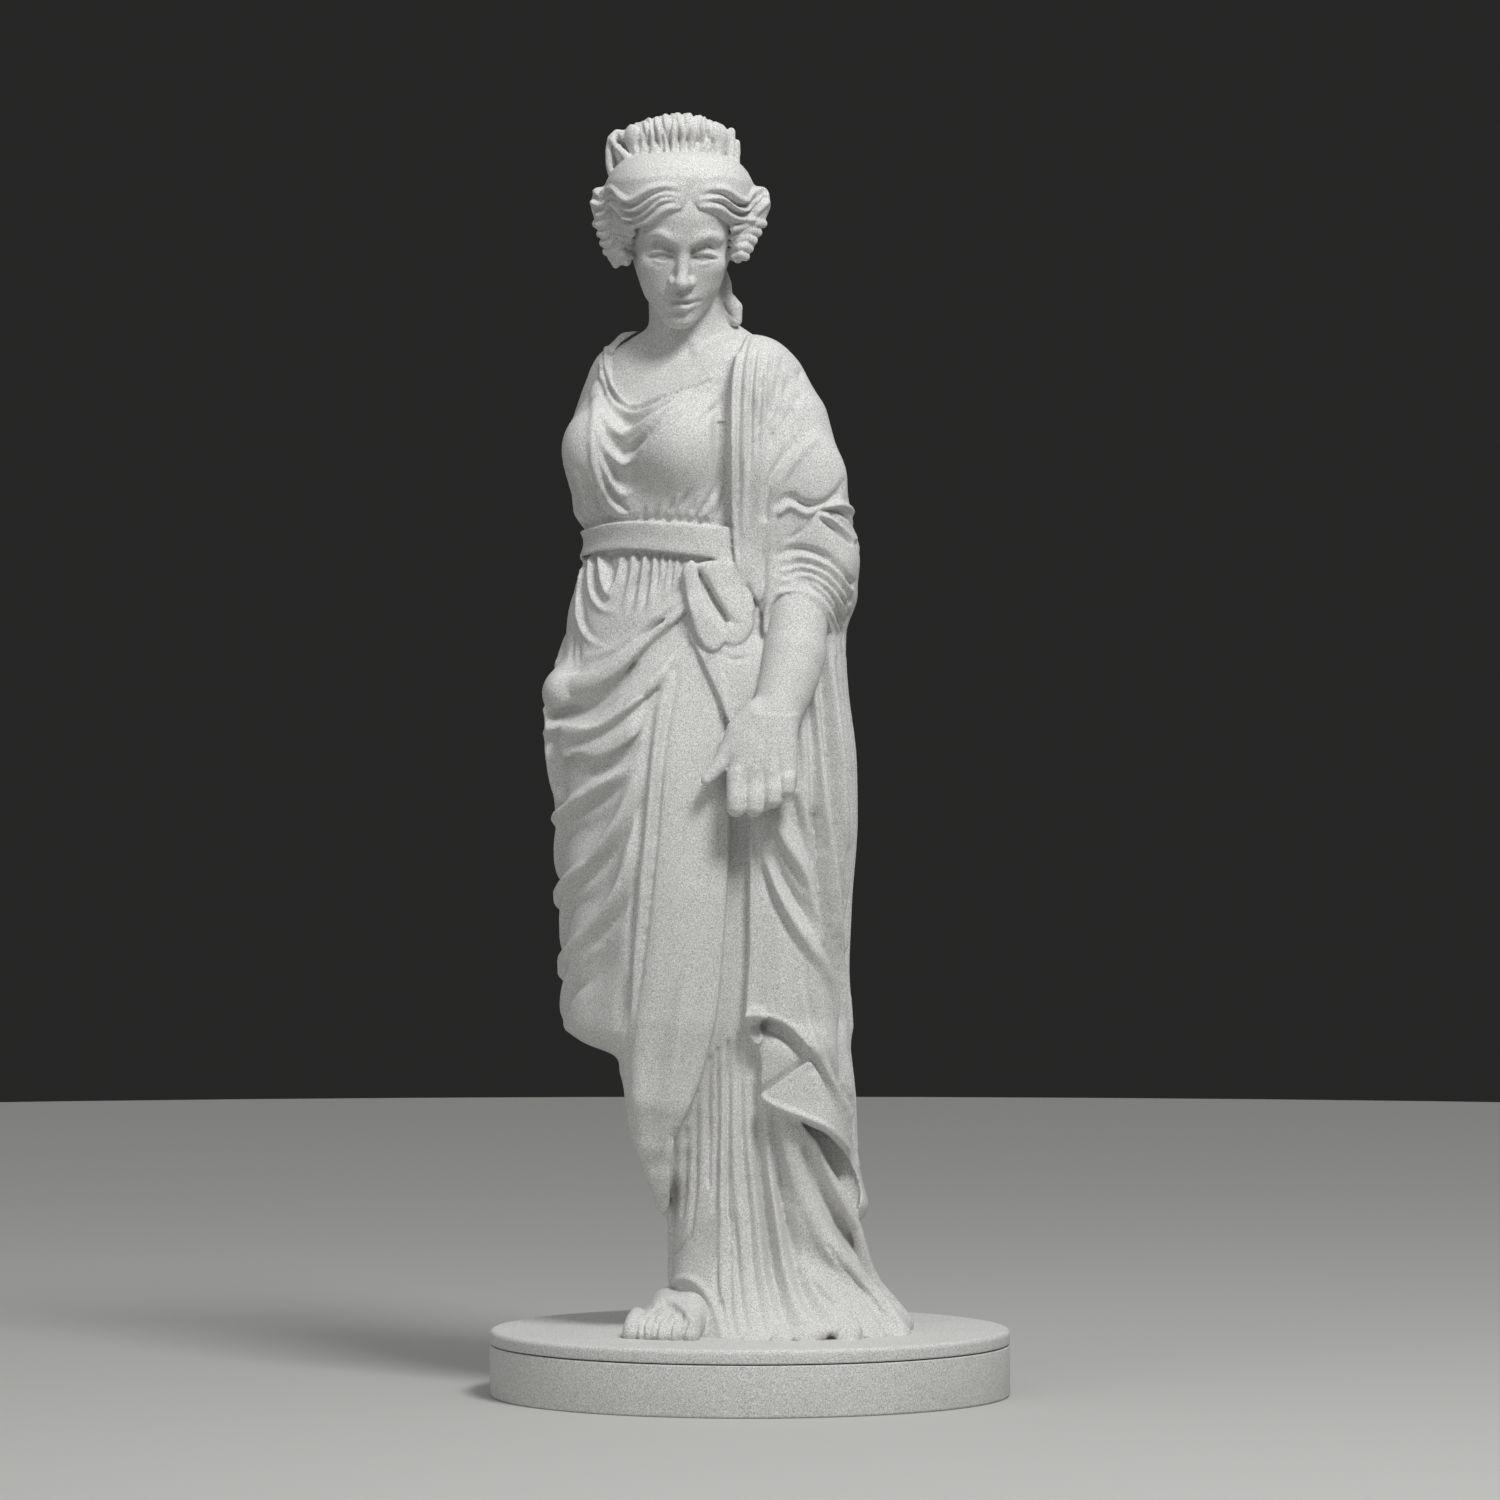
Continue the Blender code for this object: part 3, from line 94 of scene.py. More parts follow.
# ---- the drawing plane -------------------------------------------------
# Fronts are laid out on the plane y = 0 as (x, z), in millimetres, and are carried on to the figure along
# sight lines from one eye point far in front of it.
EYE_DISTANCE = 1750.0
EYE_HEIGHT = 161.0
MM = 0.001
FAR = 50.0
STROKE_REACH = 2.2      # how far above and below its own height a stroke still acts
AXIS_REACH = 70.0       # how far from an upright axis the search for the surface starts
PLAN_STEP = 0.5         # how finely the distance to an outline is measured
PLAN_MARGIN = 12        # and how far beyond the outline
LAYER_MARGIN = 8        # how far beyond its outline a layer is worked
OPENING_MARGIN = 6      # and an opening
LEAST_SLOPE = 0.2       # a flatter slope than this isn't scaled up to a full normal
SETTLING_ROUNDS = 3     # how often a point steps towards the surface


def smooth_min(a, b, blend):
    """The union of two distance fields, with a fillet about blend wide."""
    if blend <= 0:
        return np.minimum(a, b)
    overlap = np.maximum(blend - np.abs(a - b), 0) / blend
    return np.minimum(a, b) - overlap * overlap * blend * 0.25


def smooth_max(a, b, blend):
    """What two distance fields share, with a rounding about blend wide."""
    return -smooth_min(-a, -b, blend)


def curve_at(knots, values, at):
    """Values at the places at, on a smooth curve through values at the rising knots, with no overshoot."""
    knots = np.asarray(knots, float)
    values = np.asarray(values, float)
    flat = values.ndim == 1
    if flat:
        values = values[:, None]
    width = np.diff(knots)[:, None]
    slope = np.diff(values, axis=0) / width
    tangent = np.zeros_like(values)
    tangent[0], tangent[-1] = slope[0], slope[-1]
    same = slope[:-1] * slope[1:] > 0
    total = slope[:-1] + slope[1:]
    tangent[1:-1] = np.where(same, 2 * slope[:-1] * slope[1:] / np.where(same, total, 1), 0)
    at = np.clip(np.asarray(at, float), knots[0], knots[-1])
    i = np.clip(np.searchsorted(knots, at, side="right") - 1, 0, len(knots) - 2)
    t = ((at - knots[i]) / width[i, 0])[..., None]
    made = (
        (2 * t**3 - 3 * t**2 + 1) * values[i]
        + (t**3 - 2 * t**2 + t) * width[i] * tangent[i]
        + (-2 * t**3 + 3 * t**2) * values[i + 1]
        + (t**3 - t**2) * width[i] * tangent[i + 1]
    )
    return made[..., 0] if flat else made


def smooth_path(points, spacing, closed=False):
    """Points spaced along a Catmull-Rom curve through the given ones."""
    p = np.asarray(points, float)
    if closed:
        p = np.vstack([p[-1], p, p[0], p[1]])
    else:
        p = np.vstack([2 * p[0] - p[1], p, 2 * p[-1] - p[-2]])
    out = []
    for a, b, c, d in zip(p[:-3], p[1:-2], p[2:-1], p[3:]):
        count = max(1, int(math.ceil(np.linalg.norm(c - b) / spacing)))
        t = np.arange(count)[:, None] / count
        out.append(
            0.5
            * (2 * b + (c - a) * t + (2 * a - 5 * b + 4 * c - d) * t**2 + (3 * b - a - 3 * c + d) * t**3)
        )
    if not closed:
        out.append(p[-2][None])
    return np.vstack(out)


def turned(angles):
    """The rotation matrix of Euler angles in degrees."""
    return np.array(Euler([math.radians(a) for a in angles]).to_matrix())


def from_segment(x, y, z, start, line):
    """The share along a segment where it is nearest to each place, and the offset from there."""
    size = max(float(line @ line), 1e-9)
    reached = (x - start[0]) * line[0] + (y - start[1]) * line[1] + (z - start[2]) * line[2]
    t = np.clip(reached / size, 0, 1)
    return t, x - start[0] - t * line[0], y - start[1] - t * line[1], z - start[2] - t * line[2]


class Clay:
    """A block of clay: a grid of signed distances in millimetres, negative inside."""

    def __init__(self, low, high, step):
        self.low = np.array(low, float)
        self.step = step
        count = np.ceil((np.array(high, float) - self.low) / step).astype(int) + 1
        self.field = np.full(count, FAR, np.float32)
        self.smooth = self.field

    def hold(self):
        """Strokes that follow are laid out on the clay as it is now, and don't disturb each other."""
        self.smooth = self.field.copy()

    # -- reading it
    def block(self, low, high):
        """The part of the grid between two corners, with the coordinates along each axis."""
        first = np.clip(np.floor((np.asarray(low) - self.low) / self.step).astype(int), 0, self.field.shape)
        last = np.clip(np.ceil((np.asarray(high) - self.low) / self.step).astype(int) + 1, 0,
                       self.field.shape)
        axes = [
            (self.low[i] + self.step * np.arange(first[i], last[i])).astype(np.float32) for i in range(3)
        ]
        part = tuple(slice(a, b) for a, b in zip(first, last))
        return part, axes[0][:, None, None], axes[1][None, :, None], axes[2][None, None, :]

    def value(self, points):
        """The held field at points, between grid points by proportion."""
        q = (np.asarray(points) - self.low) / self.step
        q = np.clip(q, 0, np.array(self.field.shape) - 1.001)
        i = q.astype(int)
        f = q - i
        total = 0
        for dx in (0, 1):
            for dy in (0, 1):
                for dz in (0, 1):
                    weight = (
                        (f[..., 0] if dx else 1 - f[..., 0])
                        * (f[..., 1] if dy else 1 - f[..., 1])
                        * (f[..., 2] if dz else 1 - f[..., 2])
                    )
                    total = total + weight * self.smooth[i[..., 0] + dx, i[..., 1] + dy, i[..., 2] + dz]
        return total

    def slope(self, points):
        """The held field's slope at points."""
        h = self.step
        return np.stack(
            [
                (self.value(points + h * axis) - self.value(points - h * axis)) / (2 * h)
                for axis in np.eye(3)
            ],
            axis=-1,
        )

    def settle(self, points):
        """Points moved on to the surface along the slope of the field."""
        p = np.array(points, float)
        for _ in range(SETTLING_ROUNDS):
            g = self.slope(p)
            size = np.maximum((g * g).sum(-1, keepdims=True), 0.05)
            move = self.value(p)[..., None] * g / size
            far = np.linalg.norm(move, axis=-1, keepdims=True)
            p -= move * np.minimum(1, 3.0 / np.maximum(far, 1e-6))
        return p

    def first_hit(self, starts, directions, reach, missed):
        """Where rays first enter the clay, or missed(index) points where they don't."""
        steps = np.arange(0, reach, self.step * 0.8)
        p = starts[:, None, :] + directions[:, None, :] * steps[None, :, None]
        inside = self.value(p) < 0
        hit = inside.argmax(axis=1)
        found = inside.any(axis=1)
        made = starts + directions * steps[hit][:, None]
        made[~found] = missed(~found)
        return made

    def seen(self, points):
        """Points (x, z) of the drawing plane carried on to the clay along the sight lines."""
        p = np.asarray(points, float)
        near, far = self.low[1], self.low[1] + self.step * (self.field.shape[1] - 1)

        def at_depth(y):
            share = (EYE_DISTANCE + y) / EYE_DISTANCE
            return np.stack([p[:, 0] * share, np.full(len(p), y),
                             EYE_HEIGHT + (p[:, 1] - EYE_HEIGHT) * share], 1)

        start, end = at_depth(near), at_depth(far)
        direction = (end - start) / (far - near)
        return self.first_hit(start, direction, far - near, lambda lost: at_depth(0.0)[lost])

    def around(self, points, centre):
        """Points (degrees round the vertical line at centre, z), from outside in. 0 faces front, 90 right."""
        p = np.asarray(points, float)
        angle = np.radians(p[:, 0])
        out = np.stack([np.sin(angle), -np.cos(angle), np.zeros(len(p))], 1)
        axis = np.stack([np.full(len(p), centre[0]), np.full(len(p), centre[1]), p[:, 1]], 1)
        return self.first_hit(axis + out * AXIS_REACH, -out, AXIS_REACH, lambda lost: (axis + out * 10)[lost])

    # -- adding and taking away
    def put(self, shape, blend=0.0, cut=False):
        """Adds a shape, or cuts it away, with a fillet of that size."""
        distance, low, high = shape
        margin = blend + 3 * self.step + 1.0
        part, x, y, z = self.block(np.asarray(low) - margin, np.asarray(high) + margin)
        d = distance(x, y, z)
        if cut:
            self.field[part] = smooth_max(self.field[part], -d, blend)
        else:
            self.field[part] = smooth_min(self.field[part], d, blend)

    def stroke(self, path, width, height, soft=False):
        """Raises a ridge along a path on the clay, or with a height below 0 presses a groove.
        width and height are one number, or one for each end and the middle as (start, middle, end).
        A ridge has a round top, and a groove a sharp bottom unless it is soft."""
        path = np.asarray(path, float)
        along = np.linspace(0, 1, len(path))
        widths = curve_at([0, 0.5, 1], np.broadcast_to(width, 3), along)
        heights = curve_at([0, 0.5, 1], np.broadcast_to(height, 3), along)
        crisp = heights.sum() < 0 and not soft
        if crisp:
            widths = widths * 1.2
        normal = self.slope(path)
        normal /= np.maximum(np.linalg.norm(normal, axis=1, keepdims=True), LEAST_SLOPE)
        deep = np.abs(heights).max() + STROKE_REACH
        reach = float(np.hypot(widths.max(), deep))
        part = self.block(path.min(0) - reach, path.max(0) + reach)[0]
        raised = np.zeros(self.field[part].shape, np.float32)
        for i in range(len(path) - 1):
            a, b = path[i], path[i + 1]
            r = float(np.hypot(max(widths[i], widths[i + 1]), deep))
            sub, sx, sy, sz = self.block(np.minimum(a, b) - r, np.maximum(a, b) + r)
            local = tuple(
                slice(max(s.start - q.start, 0), s.stop - q.start) for s, q in zip(sub, part)
            )
            line = b - a
            up = normal[i] + normal[i + 1]
            up /= max(np.linalg.norm(up), LEAST_SLOPE)
            t, px, py, pz = from_segment(sx, sy, sz, a, line)
            off = px * up[0] + py * up[1] + pz * up[2]
            d2 = np.maximum(px * px + py * py + pz * pz - off * off, 0)
            w = np.maximum(widths[i] + (widths[i + 1] - widths[i]) * t, 0.05)
            h = heights[i] + (heights[i + 1] - heights[i]) * t
            h = h * np.clip((deep - np.abs(off)) / 0.8, 0, 1)
            if crisp:
                bump = np.maximum(1 - np.sqrt(d2) / w, 0) ** 1.3 * h
            else:
                bump = np.maximum(1 - d2 / (w * w), 0) ** 1.6 * h
            view = raised[local]
            np.copyto(view, bump, where=np.abs(bump) > np.abs(view))
        self.field[part] -= raised

    def front(self, points, width, height, soft=False):
        """A stroke drawn on the drawing plane and carried on to the clay as seen from the front."""
        self.stroke(self.settle(self.seen(smooth_path(points, 1.0))), width, height, soft)

    def lines(self, width, height, paths, ends=(0.35, 0.35), soft=False):
        """Strokes of one size on the front. ends are the shares of the height left at the two ends."""
        for points in paths:
            self.front(points, width, (height * ends[0], height, height * ends[1]), soft)

    def roll(self, points, radii, sink, blend=1.0):
        """A rounded roll of cloth along a line of the drawing plane, sunk that far into the clay."""
        path = self.settle(self.seen(smooth_path(points, 2.0)))
        inward = self.slope(path)
        inward /= np.maximum(np.linalg.norm(inward, axis=1, keepdims=True), LEAST_SLOPE)
        path -= inward * sink
        along = np.linspace(0, 1, len(path))
        self.put(limb(path, curve_at([0, 0.5, 1], np.broadcast_to(radii, 3), along)), blend)

    def round_about(self, points, centre, width, height):
        """A stroke given as (degrees round the line at centre, z)."""
        self.stroke(self.settle(self.around(smooth_path(points, 3.0), centre)), width, height)

    def drawn(self, outline, x, y, z):
        """How far each place lies outside an outline of the drawing plane, seen from the eye point."""
        edge = smooth_path(outline, 1.0, closed=True)
        low, high = edge.min(0) - PLAN_MARGIN, edge.max(0) + PLAN_MARGIN
        count = np.ceil((high - low) / PLAN_STEP).astype(int) + 2
        gu = (low[0] + PLAN_STEP * np.arange(count[0]))[:, None]
        gv = (low[1] + PLAN_STEP * np.arange(count[1]))[None, :]
        best = np.full(count, 1e9)
        inside = np.zeros(count, bool)
        for a, b in zip(edge, np.roll(edge, -1, axis=0)):
            line = b - a
            t = np.clip(((gu - a[0]) * line[0] + (gv - a[1]) * line[1]) / max(line @ line, 1e-9), 0, 1)
            best = np.minimum(best, (gu - a[0] - t * line[0]) ** 2 + (gv - a[1] - t * line[1]) ** 2)
            if a[1] != b[1]:
                crosses = ((a[1] > gv) != (b[1] > gv)) & (gu < a[0] + (gv - a[1]) * line[0] / line[1])
                inside ^= crosses
        plan = np.where(inside, -1, 1) * np.sqrt(best)
        share = EYE_DISTANCE / (EYE_DISTANCE + y)
        u = np.clip((x * share - low[0]) / PLAN_STEP, 0, count[0] - 1.001)
        v = np.clip(((EYE_HEIGHT + (z - EYE_HEIGHT) * share) - low[1]) / PLAN_STEP, 0, count[1] - 1.001)
        iu, iv = u.astype(int), v.astype(int)
        fu, fv = u - iu, v - iv
        return (
            plan[iu, iv] * (1 - fu) * (1 - fv) + plan[iu + 1, iv] * fu * (1 - fv)
            + plan[iu, iv + 1] * (1 - fu) * fv + plan[iu + 1, iv + 1] * fu * fv
        ).astype(np.float32)

    def layer(self, outline, thick, back, blend, edge, rise=None, run=None, over=False):
        """Lays cloth of that thickness on the front, within an outline of the drawing plane.
        Nothing behind y = back changes. The cloth thins to nothing from one height to the other in rise, and
        from one x to the other in run. Cloth laid over the folds is smooth, as it is measured from the clay
        as it was held."""
        shape = np.asarray(outline, float)
        low = [shape[:, 0].min() - LAYER_MARGIN, self.low[1], shape[:, 1].min() - LAYER_MARGIN]
        high = [shape[:, 0].max() + LAYER_MARGIN, back + 4, shape[:, 1].max() + LAYER_MARGIN]
        part, x, y, z = self.block(low, high)
        target = self.field[part]
        below = self.smooth[part] if over else target
        out = np.maximum(self.drawn(outline, x, y, z), y - back)
        if rise:
            share = np.clip((z - rise[1]) / (rise[0] - rise[1]), 0, 1)
            thick = thick * share * share * (3 - 2 * share)
        if run:
            share = np.clip((x - run[1]) / (run[0] - run[1]), 0, 1)
            thick = thick * share * share * (3 - 2 * share)
        self.field[part] = smooth_min(target, smooth_max(below - thick, out, edge), blend)

    def opening(self, outline, near, far, blend):
        """Cuts away everything within an outline of the drawing plane, between two depths."""
        shape = np.asarray(outline, float)
        low = [shape[:, 0].min() - OPENING_MARGIN, near, shape[:, 1].min() - OPENING_MARGIN]
        high = [shape[:, 0].max() + OPENING_MARGIN, far + 3, shape[:, 1].max() + OPENING_MARGIN]
        part, x, y, z = self.block(low, high)
        out = np.maximum(self.drawn(outline, x, y, z), y - far)
        self.field[part] = smooth_max(self.field[part], -out, blend)


# ---- shapes: (distance function, low corner, high corner) ---------------
def ball(centre, radii, angles=(0, 0, 0)):
    """A ball, or an ellipsoid turned by Euler angles in degrees."""
    c = np.asarray(centre, float)
    r = np.broadcast_to(radii, 3).astype(float)
    m = turned(angles)
    reach = np.abs(m) @ r if any(angles) else r

    def distance(x, y, z):
        dx, dy, dz = x - c[0], y - c[1], z - c[2]
        if any(angles):
            dx, dy, dz = (dx * m[0, i] + dy * m[1, i] + dz * m[2, i] for i in range(3))
        k0 = np.sqrt((dx / r[0]) ** 2 + (dy / r[1]) ** 2 + (dz / r[2]) ** 2)
        k1 = np.sqrt((dx / r[0] ** 2) ** 2 + (dy / r[1] ** 2) ** 2 + (dz / r[2] ** 2) ** 2)
        return (k0 * (k0 - 1) / np.maximum(k1, 1e-6)).astype(np.float32)

    return distance, c - reach, c + reach


def limb(points, radii):
    """A tapered limb through points, with a radius at each."""
    p = np.asarray(points, float)
    r = np.broadcast_to(radii, len(p)).astype(float)

    def distance(x, y, z):
        best = None
        for i in range(len(p) - 1):
            a, line = p[i], p[i + 1] - p[i]
            t, px, py, pz = from_segment(x, y, z, a, line)
            d = np.sqrt(px * px + py * py + pz * pz) - (r[i] + (r[i + 1] - r[i]) * t)
            best = d if best is None else np.minimum(best, d)
        return best.astype(np.float32)

    reach = r[:, None]
    return distance, (p - reach).min(0), (p + reach).max(0)


def loft(sections, power=2.2):
    """A body through level sections (z, x centre, y centre, half width, half depth, turn in degrees)."""
    s = np.asarray(sections, float)
    s = s[np.argsort(s[:, 0])]
    bottom, top = s[0, 0], s[-1, 0]
    wide = np.hypot(s[:, 3], s[:, 4]).max()
    levels = np.linspace(bottom, top, 240)
    table = curve_at(s[:, 0], s[:, 1:], levels)

    def distance(x, y, z):
        cx, cy, a, b, turn = (np.interp(z, levels, column).astype(np.float32) for column in table.T)
        cos, sin = np.cos(np.radians(turn)), np.sin(np.radians(turn))
        dx, dy = x - cx, y - cy
        u, v = dx * cos + dy * sin, dy * cos - dx * sin
        q = ((np.abs(u) / a) ** power + (np.abs(v) / b) ** power) ** (1 / power)
        size = np.sqrt(u * u + v * v)
        side = np.where(q > 1e-3, size - size / np.maximum(q, 1e-3), -np.minimum(a, b))
        cap = np.maximum(bottom - z, z - top)
        return np.maximum(side, cap).astype(np.float32)

    low = [s[:, 1].min() - wide, s[:, 2].min() - wide, bottom]
    high = [s[:, 1].max() + wide, s[:, 2].max() + wide, top]
    return distance, low, high


def posed(shape, origin, angles):
    """A shape moved from its own frame to one at origin, turned by Euler angles in degrees."""
    inner, low, high = shape
    o = np.asarray(origin, float)
    m = turned(angles)
    corners = np.array([[(low, high)[i][0], (low, high)[j][1], (low, high)[k][2]]
                        for i in (0, 1) for j in (0, 1) for k in (0, 1)])
    corners = corners @ m.T + o

    def distance(x, y, z):
        dx, dy, dz = x - o[0], y - o[1], z - o[2]
        local = [dx * m[0, i] + dy * m[1, i] + dz * m[2, i] for i in range(3)]
        return inner(*local).astype(np.float32)

    return distance, corners.min(0), corners.max(0)


# ---- from clay to mesh ----------------------------------------------------
def well_composed(field):
    """Fills the single cells where the surface would touch itself."""
    for _ in range(8):
        inside = field < 0
        changed = False
        for axis in range(3):
            others = [i for i in range(3) if i != axis]

            def part(du, dv):
                index = [slice(None)] * 3
                index[others[0]] = slice(1, None) if du else slice(None, -1)
                index[others[1]] = slice(1, None) if dv else slice(None, -1)
                return tuple(index)

            a, b, c, d = inside[part(0, 0)], inside[part(1, 1)], inside[part(0, 1)], inside[part(1, 0)]
            for pair, fill in (((a & b) & ~(c | d), part(0, 1)), ((c & d) & ~(a | b), part(0, 0))):
                if pair.any():
                    view = field[fill]
                    view[pair] = -0.01
                    changed = True
            inside = field < 0
        corner = [
            (slice(1, None) if i & 1 else slice(None, -1), slice(1, None) if i & 2 else slice(None, -1),
             slice(1, None) if i & 4 else slice(None, -1))
            for i in range(8)
        ]
        count = sum(inside[c].astype(np.int8) for c in corner)
        for i in range(4):
            two = (count == 2) & inside[corner[i]] & inside[corner[7 - i]]
            six = (count == 6) & ~inside[corner[i]] & ~inside[corner[7 - i]]
            for found, fill in ((two, corner[i ^ 1]), (six, corner[i])):
                if found.any():
                    view = field[fill]
                    view[found] = -0.01
                    changed = True
        if not changed:
            return


def surface(clay):
    """The clay's skin as (points, quads), by surface nets."""
    field = clay.field
    field[[0, -1]] = np.maximum(field[[0, -1]], 0.5)
    field[:, [0, -1]] = np.maximum(field[:, [0, -1]], 0.5)
    field[:, :, [0, -1]] = np.maximum(field[:, :, [0, -1]], 0.5)
    well_composed(field)
    inside = field < 0
    shape = np.array(field.shape) - 1
    count = np.zeros(shape, np.int8)
    for i in range(8):
        part = tuple(slice(1, None) if i >> k & 1 else slice(None, -1) for k in range(3))
        count += inside[part]
    cells = np.argwhere((count > 0) & (count < 8))
    number = np.full(shape, -1, np.int32)
    number[tuple(cells.T)] = np.arange(len(cells))
    corners = np.stack([field[tuple((cells + [i & 1, i >> 1 & 1, i >> 2 & 1]).T)] for i in range(8)], 1)
    total = np.zeros((len(cells), 3))
    crossings = np.zeros(len(cells))
    for i in range(8):
        for k in range(3):
            j = i | 1 << k
            if j == i:
                continue
            a, b = corners[:, i], corners[:, j]
            cross = (a < 0) != (b < 0)
            t = np.where(cross, a / np.where(cross, a - b, 1), 0)
            point = np.tile([i & 1, i >> 1 & 1, i >> 2 & 1], (len(cells), 1)).astype(float)
            point[:, k] = t
            total += point * cross[:, None]
            crossings += cross
    points = clay.low + clay.step * (cells + total / crossings[:, None])
    quads = []
    for k in range(3):
        a = [slice(1, -1)] * 3
        b = [slice(1, -1)] * 3
        a[k], b[k] = slice(None, -1), slice(1, None)
        first, second = inside[tuple(a)], inside[tuple(b)]
        where = np.argwhere(first != second)
        base = where + 1
        base[:, k] -= 1
        u, v = [i for i in range(3) if i != k]
        if k == 1:
            u, v = v, u
        ring = []
        for du, dv in ((-1, -1), (0, -1), (0, 0), (-1, 0)):
            cell = base.copy()
            cell[:, u] += du
            cell[:, v] += dv
            ring.append(number[tuple(cell.T)])
        ring = np.stack(ring, 1)
        outward = first[tuple(where.T)]
        quads.append(np.where(outward[:, None], ring, ring[:, ::-1]))
    return points, np.vstack(quads)


def mesh_object(name, points, faces):
    """A Blender object from points in millimetres."""
    mesh = bpy.data.meshes.new(name)
    points = np.asarray(points, np.float32) * MM
    faces = np.asarray(faces, np.int32)
    mesh.vertices.add(len(points))
    mesh.vertices.foreach_set("co", points.ravel())
    mesh.loops.add(faces.size)
    mesh.loops.foreach_set("vertex_index", faces.ravel())
    mesh.polygons.add(len(faces))
    mesh.polygons.foreach_set("loop_start", np.arange(len(faces), dtype=np.int32) * faces.shape[1])
    mesh.polygons.foreach_set("loop_total", np.full(len(faces), faces.shape[1], np.int32))
    mesh.update(calc_edges=True)
    mesh.validate()
    made = bpy.data.objects.new(name, mesh)
    bpy.context.scene.collection.objects.link(made)
    return made


def applied(made):
    """The object with its modifiers applied."""
    graph = bpy.context.evaluated_depsgraph_get()
    graph.update()
    mesh = bpy.data.meshes.new_from_object(made.evaluated_get(graph))
    made.modifiers.clear()
    made.data = mesh
    return made


# ---- the robe ---------------------------------------------------------------
def torso_form(inset=0.0):
    """The trunk under the cloth, with its chest turned towards the right shoulder."""
    sections = [
        (266, -14.5, 4.5, 9, 7, -25),
        (262, -15, 4, 19, 9.5, -26),
        (257, -15, 3, 25.5, 12, -28),
        (250, -16, 2, 27, 14.5, -28),
        (240, -19, 1, 27.5, 16, -28),
        (228, -20.5, 1, 26, 16, -28),
        (221, -20.5, 1, 25, 16, -27),
        (213, -17.8, 1, 22.9, 16, -25),
        (205, -18, 1, 25.5, 17, -20),
        (195, -17, 1, 28, 17.5, -16),
        (185, -15.5, 1, 26, 14, -13),
        (172, -14, 1, 16, 8, -10),
    ]
    return loft([(z, x, y, a - inset, b - inset, turn) for z, x, y, a, b, turn in sections])


